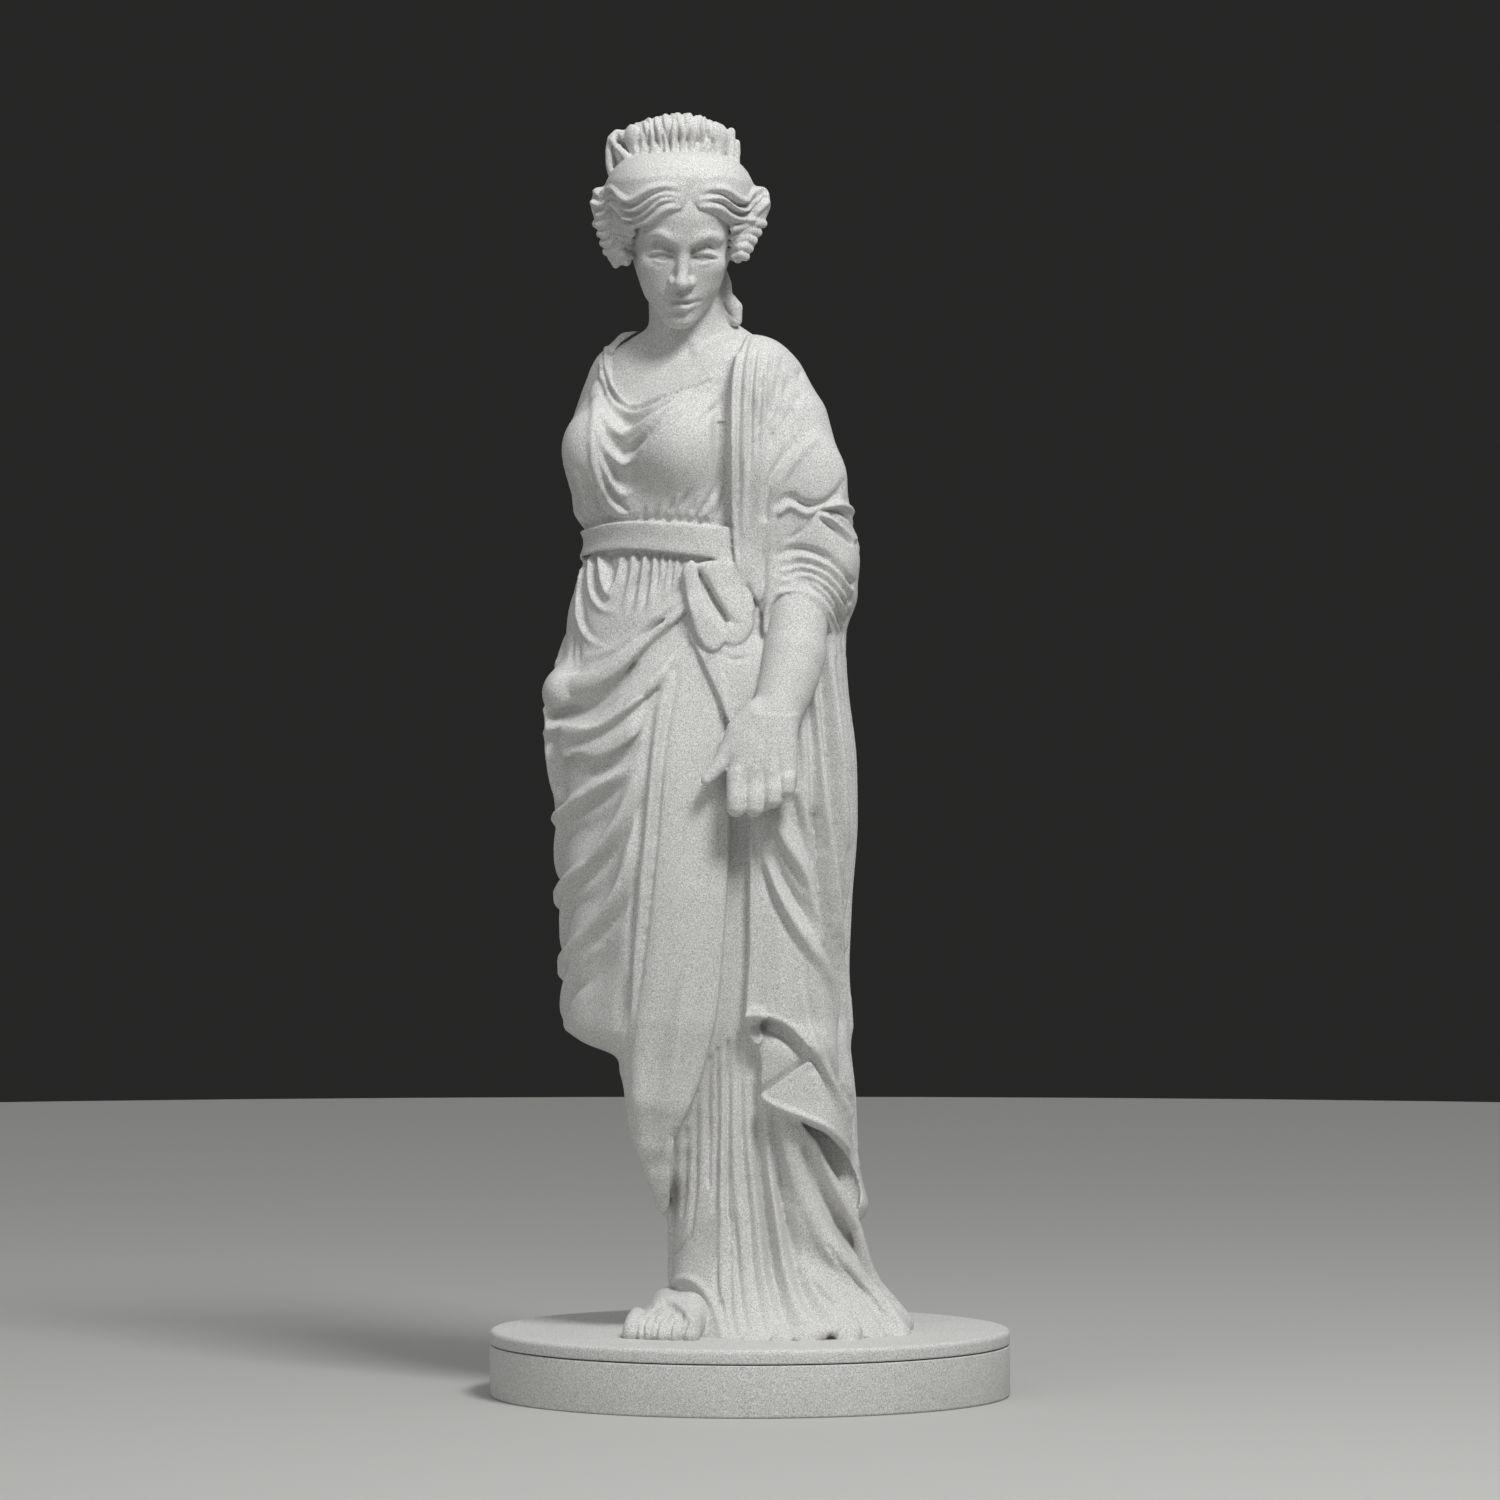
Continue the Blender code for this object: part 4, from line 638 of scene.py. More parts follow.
def robe_masses(clay):
    """The body and the cloth round it, without folds."""
    clay.put(torso_form())
    # hips, thighs and the mantle round them
    clay.put(loft([
        (206, -16, 1, 16, 9, -16),
        (198, -16, 1, 27, 16.5, -16),
        (187, -14.5, 1, 32.3, 19.8, -13),
        (176, -13.5, 1, 35, 21.5, -10),
        (160, -12.5, 1, 35.8, 22, -6),
        (148, -11.6, 1.5, 34.4, 22, -4),
        (135, -11.2, 1.8, 33.7, 22, -2),
        (120, -10.6, 2, 33.2, 21.5, 0),
        (107, -10.2, 2.2, 32.9, 21, 0),
        (98, -9.9, 2.5, 33.5, 20.5, 0),
        (92, -9.8, 2.5, 34, 19.5, 0),
        (88, -8.4, 2.5, 30.6, 18.5, 0),
        (83, -4.4, 2.5, 22.8, 17, 0),
        (77, -3.2, 2.5, 21.6, 15, 0),
        (68, -3, 2, 12, 9, 0),
    ]), 5)
    # the long tunic down to the plinth, spreading towards the left heel
    clay.put(loft([
        (125, -3, 1, 10, 8, 0),
        (100, -1, 1, 20, 15, 0),
        (75, 1.5, 1, 22, 17.5, 0),
        (58, 2.5, 0.5, 22.5, 17.5, 0),
        (45, 3.4, 0, 23, 18, 0),
        (36, 4.3, -0.5, 23.8, 18.6, 0),
        (29, 5.8, -1.6, 25.2, 20, 0),
        (23.5, 8.4, -3.2, 26.8, 22.4, 0),
        (19, 9.8, -5.2, 29.6, 25.6, 0),
        (15.5, 10.2, -6.8, 30, 28, 0),
        (13, 10.2, -7, 30, 28.4, 0),
    ]), 3)
    # two round folds that run down to the left heel
    clay.put(limb([(9.6, -16.4, 66), (10.2, -16.2, 60), (11.8, -15.4, 54), (14, -15, 48), (17, -14.6, 42),
                   (20.6, -15, 36.5), (24.8, -13.6, 31), (29, -12.8, 26), (33, -14.8, 20.5),
                   (36, -17.4, 15.5)],
                  (2.2, 2.3, 2.5, 2.7, 2.8, 2.9, 3, 3.4, 3.8, 4.2)), 1)
    # shoulders and bust
    clay.put(ball((-28.4, 8.5, 254), (8.8, 9.5, 9.2)), 6)
    clay.put(limb([(-24.4, 6, 263.2), (-30.4, 6, 262), (-34, 8, 257)], (3.3, 3.9, 4.4)), 2.5)
    clay.put(ball((-1, -4, 251.5), (12.4, 11.6, 12)), 6)
    clay.put(ball((-37, -5, 235.6), (10, 9.5, 11), (0, -8, -20)), 7)
    clay.put(ball((-16.5, -13.5, 236.5), (11.5, 9.5, 11.5), (0, 8, 0)), 6)
    # the right arm, carried behind the back under the cloth
    clay.put(limb([(-30.6, 10, 252), (-37, 15.5, 235), (-34.4, 20, 217), (-29, 24, 206), (-14, 25, 200)],
                  (7.8, 8.3, 7.0, 7.5, 6.5)), 6)
    # the left upper arm under the mantle
    clay.put(limb([(3.4, -7, 250), (9, -9, 242), (11.5, -10, 232), (15, -10, 217), (17.2, -10, 208),
                   (15.6, -13, 200)], (10.6, 10.5, 10.6, 10.5, 9.8, 9)), 4)
    clay.put(limb([(1, -5, 249), (3, -7, 235), (6, -8, 220), (8, -8, 204)], (9, 9, 8.5, 8)), 8)
    clay.put(ball((14.6, -16.4, 229.4), (8.6, 4, 7.4), (0, 20, 0)), 6)
    # the right thigh and shin press forward under the mantle
    clay.put(limb([(-18, -3, 172), (-16.5, -9, 125), (-18, -10, 95), (-20.6, -10, 76), (-21.6, -9, 65),
                   (-21.2, -8.5, 58)], (15, 13.5, 11.5, 8.9, 6.4, 4.2)), 8)
    clay.put(limb([(-21.6, -8.5, 60), (-22.4, -8.5, 53), (-22.2, -8.5, 49.6)], (4, 2.4, 1)), 2)
    # the mantle that hangs from the left arm
    clay.put(loft([
        (214, 16, 0, 10, 12, 0),
        (200, 16, 1, 10.5, 15, 0),
        (190, 13.3, 1, 10.2, 17, 0),
        (177, 12.8, 1, 10.6, 19, 0),
        (160, 14.3, 1, 10.8, 20, 0),
        (145, 14.8, 1, 10.7, 21, 0),
        (120, 12.7, 1, 10.7, 21, 0),
        (106, 12, 1, 10.5, 20.8, 0),
        (95, 11.9, 1, 10.7, 20.5, 0),
        (75, 13.9, 0.5, 10.8, 19, 0),
        (66, 14.4, 0, 10.6, 18.4, 0),
        (60, 15, 0, 10.8, 17.4, 0),
        (56, 16.4, 0, 10.8, 16.4, 0),
        (51.5, 18, 0, 10.6, 15, 0),
        (48, 19.4, 0, 10.2, 13.4, 0),
        (44.5, 20.6, 0, 8, 11, 0),
    ], 3.3), 4)


# the panel of mantle that hangs straight over the right leg
PANEL = [(-12.5, 192), (-8.5, 180), (-6, 165), (-5, 143.3), (-5.5, 131.8), (-6.1, 120.4), (-7, 109),
         (-8.1, 97), (-9.9, 88), (-12.3, 78.8), (-15, 71.8), (-18, 65.5), (-19.4, 60), (-20, 54),
         (-20.2, 47.4), (-21, 45.4), (-22.4, 46.8), (-24.2, 49.8), (-25.8, 53.6), (-27, 57.4),
         (-28.8, 61.4), (-30.6, 67), (-31.6, 76.4), (-33, 80.2), (-37, 83.2), (-41.4, 86.4), (-46, 90.4),
         (-54, 93), (-54, 170), (-40, 192)]

# the fold of mantle that falls from the left hand
FALL = [(6, 178), (1, 165), (-0.1, 150), (-0.1, 130), (-0.3, 110), (-0.9, 94), (3, 93.2), (7, 92.8),
        (10.5, 90.8), (14, 87.4), (17.5, 83), (21, 77.6), (25, 70.5), (32, 66), (36, 110), (30, 178)]

# the lower turn of the same fold, nearer the body
TURN = [(3, 96), (2.8, 82), (2.6, 74), (6, 71.8), (11, 69.4), (17.1, 66.8), (21.8, 63.2), (25.2, 59.8),
        (28, 55.4), (33, 50), (36, 70), (30, 96)]

# the mantle over the left shoulder, with its straight border down the front
MANTLE = [(3, 276), (0.4, 267), (-2, 263.6), (-3.6, 260), (-4.4, 256), (-4.8, 250), (-4.9, 240),
          (-4.7, 230), (-4.3, 222), (-3.9, 214), (-3.3, 207.6), (-1.5, 203.8), (0.4, 200.4), (3, 195),
          (6, 188), (30, 188), (36, 230), (30, 262), (14, 276)]

# the small hem corner under the fall, and the facet of cloth that turns over below it
TAB = [(-0.8, 96), (-0.6, 91), (0.6, 88), (2.2, 87.2), (3.2, 88.8), (3.4, 96)]
FACET = [(2.8, 75), (8, 78.9), (12, 81.9), (14.8, 83.4), (17, 81.3), (20, 74.5), (23.5, 67), (26, 61),
         (22, 63.8), (16, 67.5), (8, 70.8), (3.6, 73.3)]

# the hollow inside the fall's lowest turn
TURN_INSIDE = [(12.6, 68), (15, 66.9), (18.6, 65.3), (21.6, 62.8), (24.2, 59.4), (26.2, 55.4),
               (27.4, 51.6), (27.5, 48.8), (26.9, 46.6), (26.2, 45.6), (25, 46.6), (22.6, 51.2),
               (19.6, 57), (17, 62.4)]

# the belt's upper and lower edges
BELT_TOP = [(0, 215.6), (-10.5, 217), (-17, 217.6), (-25, 218), (-33, 218), (-38.5, 216.9), (-44, 214.6)]
BELT_FOOT = [(-44, 209.2), (-38, 210.6), (-32, 211.2), (-25, 210.8), (-19, 210.2), (-14, 209.6),
             (-9, 208.8), (0, 206.8)]


def robe_layers(clay):
    """The mantle's layers on the front, below the belt."""
    clay.layer(PANEL, 3.0, 8, 0.8, 0.8, rise=(150, 186))
    clay.layer(TURN, 3.0, 10, 0.6, 0.6, rise=(86, 96), run=(16, 27))
    clay.opening(TURN_INSIDE, -40, -8.5, 0.8)
    clay.layer(FALL, 3.4, 8, 0.6, 0.6, rise=(146, 172), run=(12, 24))
    clay.layer(TAB, 1.6, 4, 0.4, 0.4)
    clay.put(limb([(15.6, -15, 63), (18.6, -14, 56), (21.6, -12.6, 51), (23.9, -11.4, 46.4),
                   (26.2, -9.6, 41.5), (27.4, -8.4, 37), (28.8, -7, 32), (30.8, -6, 27.4), (34, -5, 23),
                   (37.4, -5, 18)],
                  (1.4, 1.8, 2.2, 2.1, 1.9, 1.9, 2, 2.3, 2.8, 3.4)), 0.8)


def cowl(clay):
    """The deep catenary folds of the bodice, which meet in a V and run up to the left shoulder."""
    clay.lines(2.3, -1.6, (
        [(-36.6, 251.8), (-34.6, 247), (-32, 243.6), (-29.6, 242.6), (-26.5, 244.4), (-21.5, 247.6)],
        [(-37.2, 243.5), (-35.2, 239), (-33, 236.3), (-30.6, 234.9), (-28.5, 236.8), (-25, 240),
         (-21, 243.6), (-15.5, 248.2)],
        [(-37.4, 238.5), (-35.6, 233.6), (-33.2, 230), (-31, 227.2), (-29.8, 228.6), (-28.6, 231.4)],
    ), soft=True)
    clay.lines(1.4, 1.1, (
        [(-38.2, 252), (-37.3, 246), (-35.4, 242), (-33, 240), (-30.8, 239.6), (-29, 240.6), (-25, 243.8),
         (-20.5, 247.2), (-16, 250)],
        [(-38.8, 251), (-38.2, 243), (-37, 238), (-35, 234.8), (-32.3, 232.6), (-30, 234), (-27, 237.4),
         (-23, 241.6), (-18.5, 245.8), (-11, 252)],
        [(-39.3, 249), (-39, 243), (-38.3, 236), (-37, 231), (-35, 227.6), (-32, 225), (-30.4, 225.4)],
        [(-39.9, 243), (-39.2, 235), (-37.9, 229), (-35.9, 224.4), (-33, 220.9), (-31, 219.4)],
        [(-43.6, 230), (-41.8, 226), (-40, 222), (-37.8, 218.8)],
    ))
    clay.lines(1.1, 0.8, (
        [(-35.8, 262), (-36, 258), (-34.6, 252.5), (-32, 249.2), (-29.5, 247.6), (-27, 247.6),
         (-22, 249.6), (-17, 251.4), (-8, 254.6)],
        [(-37.2, 258), (-35.8, 250.5), (-33.3, 246.8), (-30.3, 245), (-27.2, 245.3), (-22, 248),
         (-16, 250.6)],
    ), ends=(1, 0.4))
    clay.lines(0.85, -1.1, (
        [(-36.6, 262), (-36.4, 256.5), (-35.1, 251.4), (-32.6, 247.8), (-30, 246.2), (-28, 246.3),
         (-23.5, 248.3), (-18, 250.5), (-14, 251.7), (-8, 253.6)],
        [(-29.4, 241.4), (-25.2, 245), (-20.8, 248.2), (-14, 251)],
        [(-30.4, 236), (-27.2, 239.4), (-23, 243.4), (-18.4, 247.2), (-10, 252.6)],
        [(-28.6, 232.8), (-25.6, 237.4), (-22, 241.4), (-17.5, 245.6), (-8.5, 252.6)],
        [(-6.5, 249.8), (-9.8, 246), (-13, 242.4)],
        [(-39.2, 229), (-37.7, 226), (-35.6, 223.8)],
    ))
    clay.lines(1.15, -1.6, (
        [(-38.7, 242), (-38.3, 235), (-37.1, 230.6), (-35.1, 226.3), (-32.9, 223), (-31.2, 221.2)],
        [(-42.8, 231.4), (-40.7, 227.5), (-38.9, 223.5), (-37.1, 220.5), (-35, 218.2)],
        [(-45.4, 229), (-43.6, 225), (-41.1, 221.5), (-38.5, 219.2), (-36, 217.8)],
        [(-45.2, 223), (-42.9, 219.8), (-40.4, 217.8)],
    ), ends=(0.3, 0.8))


def gathers(clay):
    """Cloth drawn together above and below the belt."""
    clay.lines(1.0, -1.1, (
        [(-21.4, 219.2), (-20.2, 221), (-18.6, 224)],
        [(-18.6, 219.2), (-17.6, 221.6), (-14.6, 226.6)],
        [(-16, 219.2), (-14.8, 220.6), (-13.2, 223.2)],
        [(-13.6, 218.8), (-11.4, 221.6), (-9, 225.6), (-7, 230)],
        [(-10.9, 218.6), (-9.8, 219.6), (-8.6, 221.8)],
        [(-8.8, 218.6), (-7.6, 221.6), (-5.6, 228)],
        [(-24.2, 219.2), (-23.6, 220.4), (-22.6, 222.6)],
        [(-27, 219.2), (-26.8, 220), (-26.2, 222)],
    ), ends=(1, 0.1))
    clay.lines(1.1, 0.6, (
        [(-20, 219.2), (-18.9, 221.4), (-16.6, 225.6)],
        [(-14.9, 219.2), (-13.4, 221.4), (-10.8, 225.6)],
        [(-12.2, 218.8), (-10.2, 221.4), (-7.8, 226)],
        [(-9.9, 218.8), (-8.6, 220.8), (-6.8, 226)],
    ), ends=(1, 0.1))
    # below: long pleats, then two loops that hang at the right hip
    clay.lines(1.15, 0.9, (
        [(-28.9, 209.6), (-29.3, 205), (-30.5, 200), (-31.8, 195)],
        [(-26, 209.6), (-26.6, 205), (-27.5, 199), (-28.6, 194)],
        [(-23.5, 209.6), (-24, 204), (-24.8, 199), (-25.6, 195)],
        [(-21.5, 209.6), (-22, 205), (-22.9, 200)],
        [(-19.8, 209.2), (-20.6, 204), (-21.5, 199.6)],
        [(-18, 209.2), (-18.6, 204.6), (-19.6, 200.6)],
    ), ends=(1, 0.1))
    clay.lines(1.0, -1.2, (
        [(-27.6, 209.6), (-28, 205), (-29.2, 199.6), (-30, 196)],
        [(-24.8, 209.6), (-25.4, 204.6), (-26.3, 199), (-27, 195.6)],
        [(-22.6, 209.6), (-23.1, 205), (-23.9, 200)],
        [(-20.7, 209.4), (-21.4, 205), (-22.3, 200.6)],
        [(-18.9, 209.2), (-19.6, 205), (-20.5, 201)],
        [(-17.2, 209.2), (-17.6, 206), (-18.4, 202.4)],
        [(-30.6, 209.6), (-31, 206), (-31.8, 202)],
    ), ends=(1, 0.1))
    clay.lines(1.1, 1.2, (
        [(-37.6, 209.6), (-37.1, 205.6), (-36.3, 201.8), (-35, 199.6), (-33.8, 202), (-32.6, 206),
         (-31.8, 209.6)],
        [(-39.4, 209.6), (-40, 206), (-39.8, 201.6), (-38.6, 198), (-36.2, 195.8), (-33.4, 195.6)],
        [(-41, 209), (-42.4, 202), (-42.8, 195.6), (-42, 191.4), (-39.8, 188.2), (-36.5, 186.6)],
    ), ends=(1, 0.2))
    clay.lines(1.5, -1.9, (
        [(-35.4, 209.6), (-35.2, 206.6), (-34.7, 203.4), (-34.2, 206.6), (-33.7, 209.6)],
        [(-38.6, 209.2), (-38.6, 205), (-38.1, 201.4), (-36.8, 198.4)],
    ), ends=(1, 0.3))
    clay.lines(1.3, -1.0, (
        [(-41, 208), (-41.6, 202), (-41.8, 196), (-40.8, 191.6), (-38.6, 189)],
        [(-44, 190.6), (-44.4, 186), (-44.4, 182)],
        [(-42.8, 189.4), (-42.9, 185.6), (-42.7, 183)],
    ), ends=(0.8, 0.2))


# the lowest swag's free hem
HIP_HEM = [(-46.8, 158), (-45.6, 158.8), (-44.2, 159.8), (-42.3, 159.8), (-40.2, 158.9), (-37.7, 158.6),
           (-33.6, 160.2), (-30, 162.8), (-27.5, 165.8), (-25.6, 169.8), (-22.6, 175), (-28.5, 174),
           (-34, 170), (-40, 167), (-48, 167)]


def hip_rolls(clay):
    """The mantle's rolled edge: three swags that hang from the knot round to the right hip."""
    clay.put(ball((-46, -2, 175.4), (5.9, 8.4, 6.2), (0, 14, 0)), 4)
    clay.roll([(-47.6, 177.6), (-43.8, 177), (-38.7, 178.2), (-33.6, 181.2), (-28.5, 185), (-22, 190.4),
               (-16, 196.4)],
              (3.4, 3.4, 1.4), 0.6, 0.8)
    clay.roll([(-48.9, 167.3), (-44.8, 165.8), (-38.7, 167.3), (-33.6, 170.4), (-28.5, 174), (-23.4, 178),
               (-19.3, 183.2), (-14.7, 189.8)], (2.4, 2.6, 1.2), 0.5, 0.6)
    clay.layer(HIP_HEM, 2.6, 4, 0.5, 0.6, run=(-31, -24))


def cloth_over(clay):
    """What lies over the folds: the belt, the knot, the mantle on the left shoulder and the turned facet."""
    clay.layer(BELT_FOOT + BELT_TOP, 1.9, 4, 0.2, 0.5, run=(-7, 0), over=True)
    knot(clay)
    clay.layer(MANTLE, 3.0, 10, 0.4, 1.6, rise=(257, 269), run=(2, 12), over=True)
    clay.layer(FACET, 1.4, 6, 0.4, 0.4, run=(20, 27))


def neckline(clay):
    """The cloth is cut back at the neck so that the skin beneath shows."""
    clay.opening([(-22, 275), (-24.6, 267.4), (-27.6, 265.7), (-30.4, 264.2), (-33.2, 261.8),
                  (-34.4, 258), (-34, 252.4), (-31.8, 249), (-29, 247.4), (-23.5, 249.6), (-17.3, 252.4),
                  (-11, 255.4), (-5, 258.5), (-1.5, 263), (0, 275)], -40, 12, 0.3)


def hip_folds(clay):
    """The creases between the swags at the right hip."""
    clay.lines(2.0, -2.6, (
        [(-48.6, 169.8), (-43.5, 171.4), (-40, 172.8), (-36, 175.2), (-32, 178.5), (-28, 182.5),
         (-23.5, 187.2), (-19, 191.2), (-15.5, 194.8)],
    ), ends=(0.8, 0.5))
    clay.lines(3.4, -1.6, (
        [(-48, 169.6), (-43, 169.9), (-39, 171), (-35, 173.2)],
        [(-42, 157.4), (-37, 156.6), (-32.6, 158.6), (-29.6, 161.8)],
    ), soft=True)
    clay.lines(1.8, -1.3, (
        [(-49, 165), (-45, 163.2), (-40, 164), (-36, 165.6), (-31, 168.9), (-27, 172.2), (-23, 175.8),
         (-20.5, 180), (-17.5, 185.5), (-14.4, 190)],
    ), ends=(0.8, 0.8))
    clay.lines(1.2, -1.1, (
        [(-46.6, 180.4), (-42, 180.6), (-38, 181.8), (-34.6, 183.8), (-30.5, 187), (-25.5, 191),
         (-20, 195.2)],
    ), ends=(0.4, 0.2))
    clay.lines(1.4, 1.0, ([(-41, 184), (-35, 185.8), (-29.6, 189.2), (-23.4, 194.2), (-16.4, 199.6)],),
               soft=True)
    # the end of the mantle that drops behind the right hip
    clay.lines(2.4, 1.9, ([(-49.8, 169), (-49.6, 162.5), (-48.8, 155), (-47.6, 149)],), ends=(0.8, 0.7))
    clay.lines(1.2, -1.7, ([(-46.4, 158), (-46, 153.6), (-46.2, 149)],), ends=(1, 0.6))
    clay.lines(1.4, -1.5, ([(-49, 146.8), (-46.6, 147.4), (-44, 148.6)],))


def leg_panel_folds(clay):
    """The mantle's straight front over the right leg, and the folds that fall away from it to the hip."""
    clay.lines(3.0, 2.4, (
        [(-30.6, 158.4), (-32.8, 155.6), (-37.2, 152), (-42.3, 148.6), (-47.4, 144.6)],
        [(-28, 158), (-28.6, 154), (-29.8, 149.4), (-33, 142.6), (-38, 135.4), (-43.6, 129.4),
         (-49.4, 123)],
        [(-28, 146), (-29.4, 136.6), (-31.6, 128.4), (-35, 121.6), (-39.4, 116.4), (-44.4, 110.8),
         (-48.8, 105.4)],
    ), ends=(0, 0.9), soft=True)
    clay.lines(2.2, -2.1, (
        [(-30, 155.6), (-32.4, 152.6), (-36.2, 149.6), (-41.2, 146.2), (-45.6, 142.4)],
        [(-28, 150), (-29.6, 144), (-32.6, 138), (-37, 132.2), (-42, 127.4), (-47, 121.6)],
        [(-29.2, 132), (-31, 125), (-34, 119), (-38.4, 113.6), (-42.4, 109.4)],
        [(-31, 106), (-31.8, 98), (-33.6, 90)],
    ), ends=(0, 0))
    clay.lines(4.4, -1.5, (
        [(-32, 150), (-36.6, 144), (-42, 139), (-47, 135)],
        [(-32.4, 134), (-36.5, 127), (-42, 120.4), (-47, 116)],
        [(-33, 114), (-38, 106), (-44, 99)],
    ), ends=(0, 0), soft=True)
    # the upright folds along the panel's left border
    clay.lines(1.3, -1.8, (
        [(-24.7, 171), (-25.8, 163), (-26.8, 154), (-27.8, 142), (-28.8, 130), (-29.6, 118), (-30.2, 106),
         (-30.7, 94), (-31, 84)],
        [(-18.2, 181), (-19.2, 176), (-20.4, 169), (-21.8, 161), (-22.9, 151), (-23.7, 140), (-24.8, 129),
         (-26, 118), (-27.4, 106), (-28.6, 96), (-29.8, 84)],
    ), ends=(0.4, 0.1))
    clay.lines(0.8, -0.9,
               ([(-23.6, 172), (-24.8, 163), (-25.9, 152), (-26.9, 141), (-28, 128), (-29, 116)],),
               ends=(0.3, 0.1))
    clay.lines(1.9, 1.4, (
        [(-20.8, 180), (-21.8, 173), (-23.2, 163), (-24.4, 151), (-25.3, 140), (-26.4, 129), (-27.4, 118),
         (-28.7, 106), (-29.8, 94)],
    ), ends=(0.5, 0))
    # the shin shows through, and the tip turns back round it
    clay.lines(4.4, -0.8, ([(-17.8, 124), (-20.4, 102), (-22.4, 88), (-23.4, 72), (-24, 58)],),
               ends=(0, 0), soft=True)
    clay.lines(3.2, 0.8, (
        [(-14.6, 112), (-17.4, 94), (-20, 78), (-22, 64), (-22.8, 50)],
        [(-27.4, 100), (-28.2, 84), (-28, 70), (-26, 56)],
    ), ends=(0, 0), soft=True)
    clay.lines(2.0, -1.2, ([(-19.8, 66), (-22, 60), (-24, 55), (-24.6, 51)],), ends=(0.1, 0.3))


def knot(clay):
    """The mantle's end tucked at the left hip: two flat tongues, and the tip that hangs below."""
    clay.layer([(-14.6, 192), (-12.2, 184), (-10, 179), (-8.4, 175.6), (-6.6, 171), (-5.2, 168),
                (-4, 166.6), (-1.6, 169.2), (0.6, 171.6), (3, 178), (5, 186), (2, 192)],
               1.8, 4, 0.4, 0.4, rise=(184, 191), over=True)
    clay.layer([(-13, 207.6), (-12.2, 203), (-10.2, 199), (-8, 195.6), (-6.2, 192.4), (-6.6, 189),
                (-5.6, 187.2), (-3, 187.2), (-0.8, 188.8), (0.8, 191.6), (1.4, 194.6), (1, 198), (0, 201),
                (-2.3, 205), (-4.6, 208.2)], 2.2, 4, 0.3, 1.2, over=True)
    clay.layer([(-16.9, 206), (-16.6, 203), (-15.9, 199), (-15, 195), (-13.8, 191), (-12.5, 188),
                (-10.6, 186), (-8.6, 185.6), (-6.6, 187.4), (-6.2, 189.4), (-7, 192), (-9, 195),
                (-11, 198.6), (-12.4, 203), (-13, 206.4), (-14.6, 208.6)], 3.0, 4, 0.3, 1.2, over=True)


def knot_folds(clay):
    """The slit between the knot's tongues, and the creases below them."""
    clay.lines(1.2, -2.2, ([(-12.4, 205.6), (-10.3, 201.6), (-8.2, 197.6), (-5.8, 194), (-3.8, 192.4)],))
    clay.lines(0.9, -0.9, ([(-7.6, 184.9), (-5, 183.8), (-3, 183.5), (-1, 184), (1.2, 186)],))
    clay.lines(1.0, -1.1, ([(-7.8, 172), (-7.4, 168), (-6.9, 164), (-6.4, 159)],))


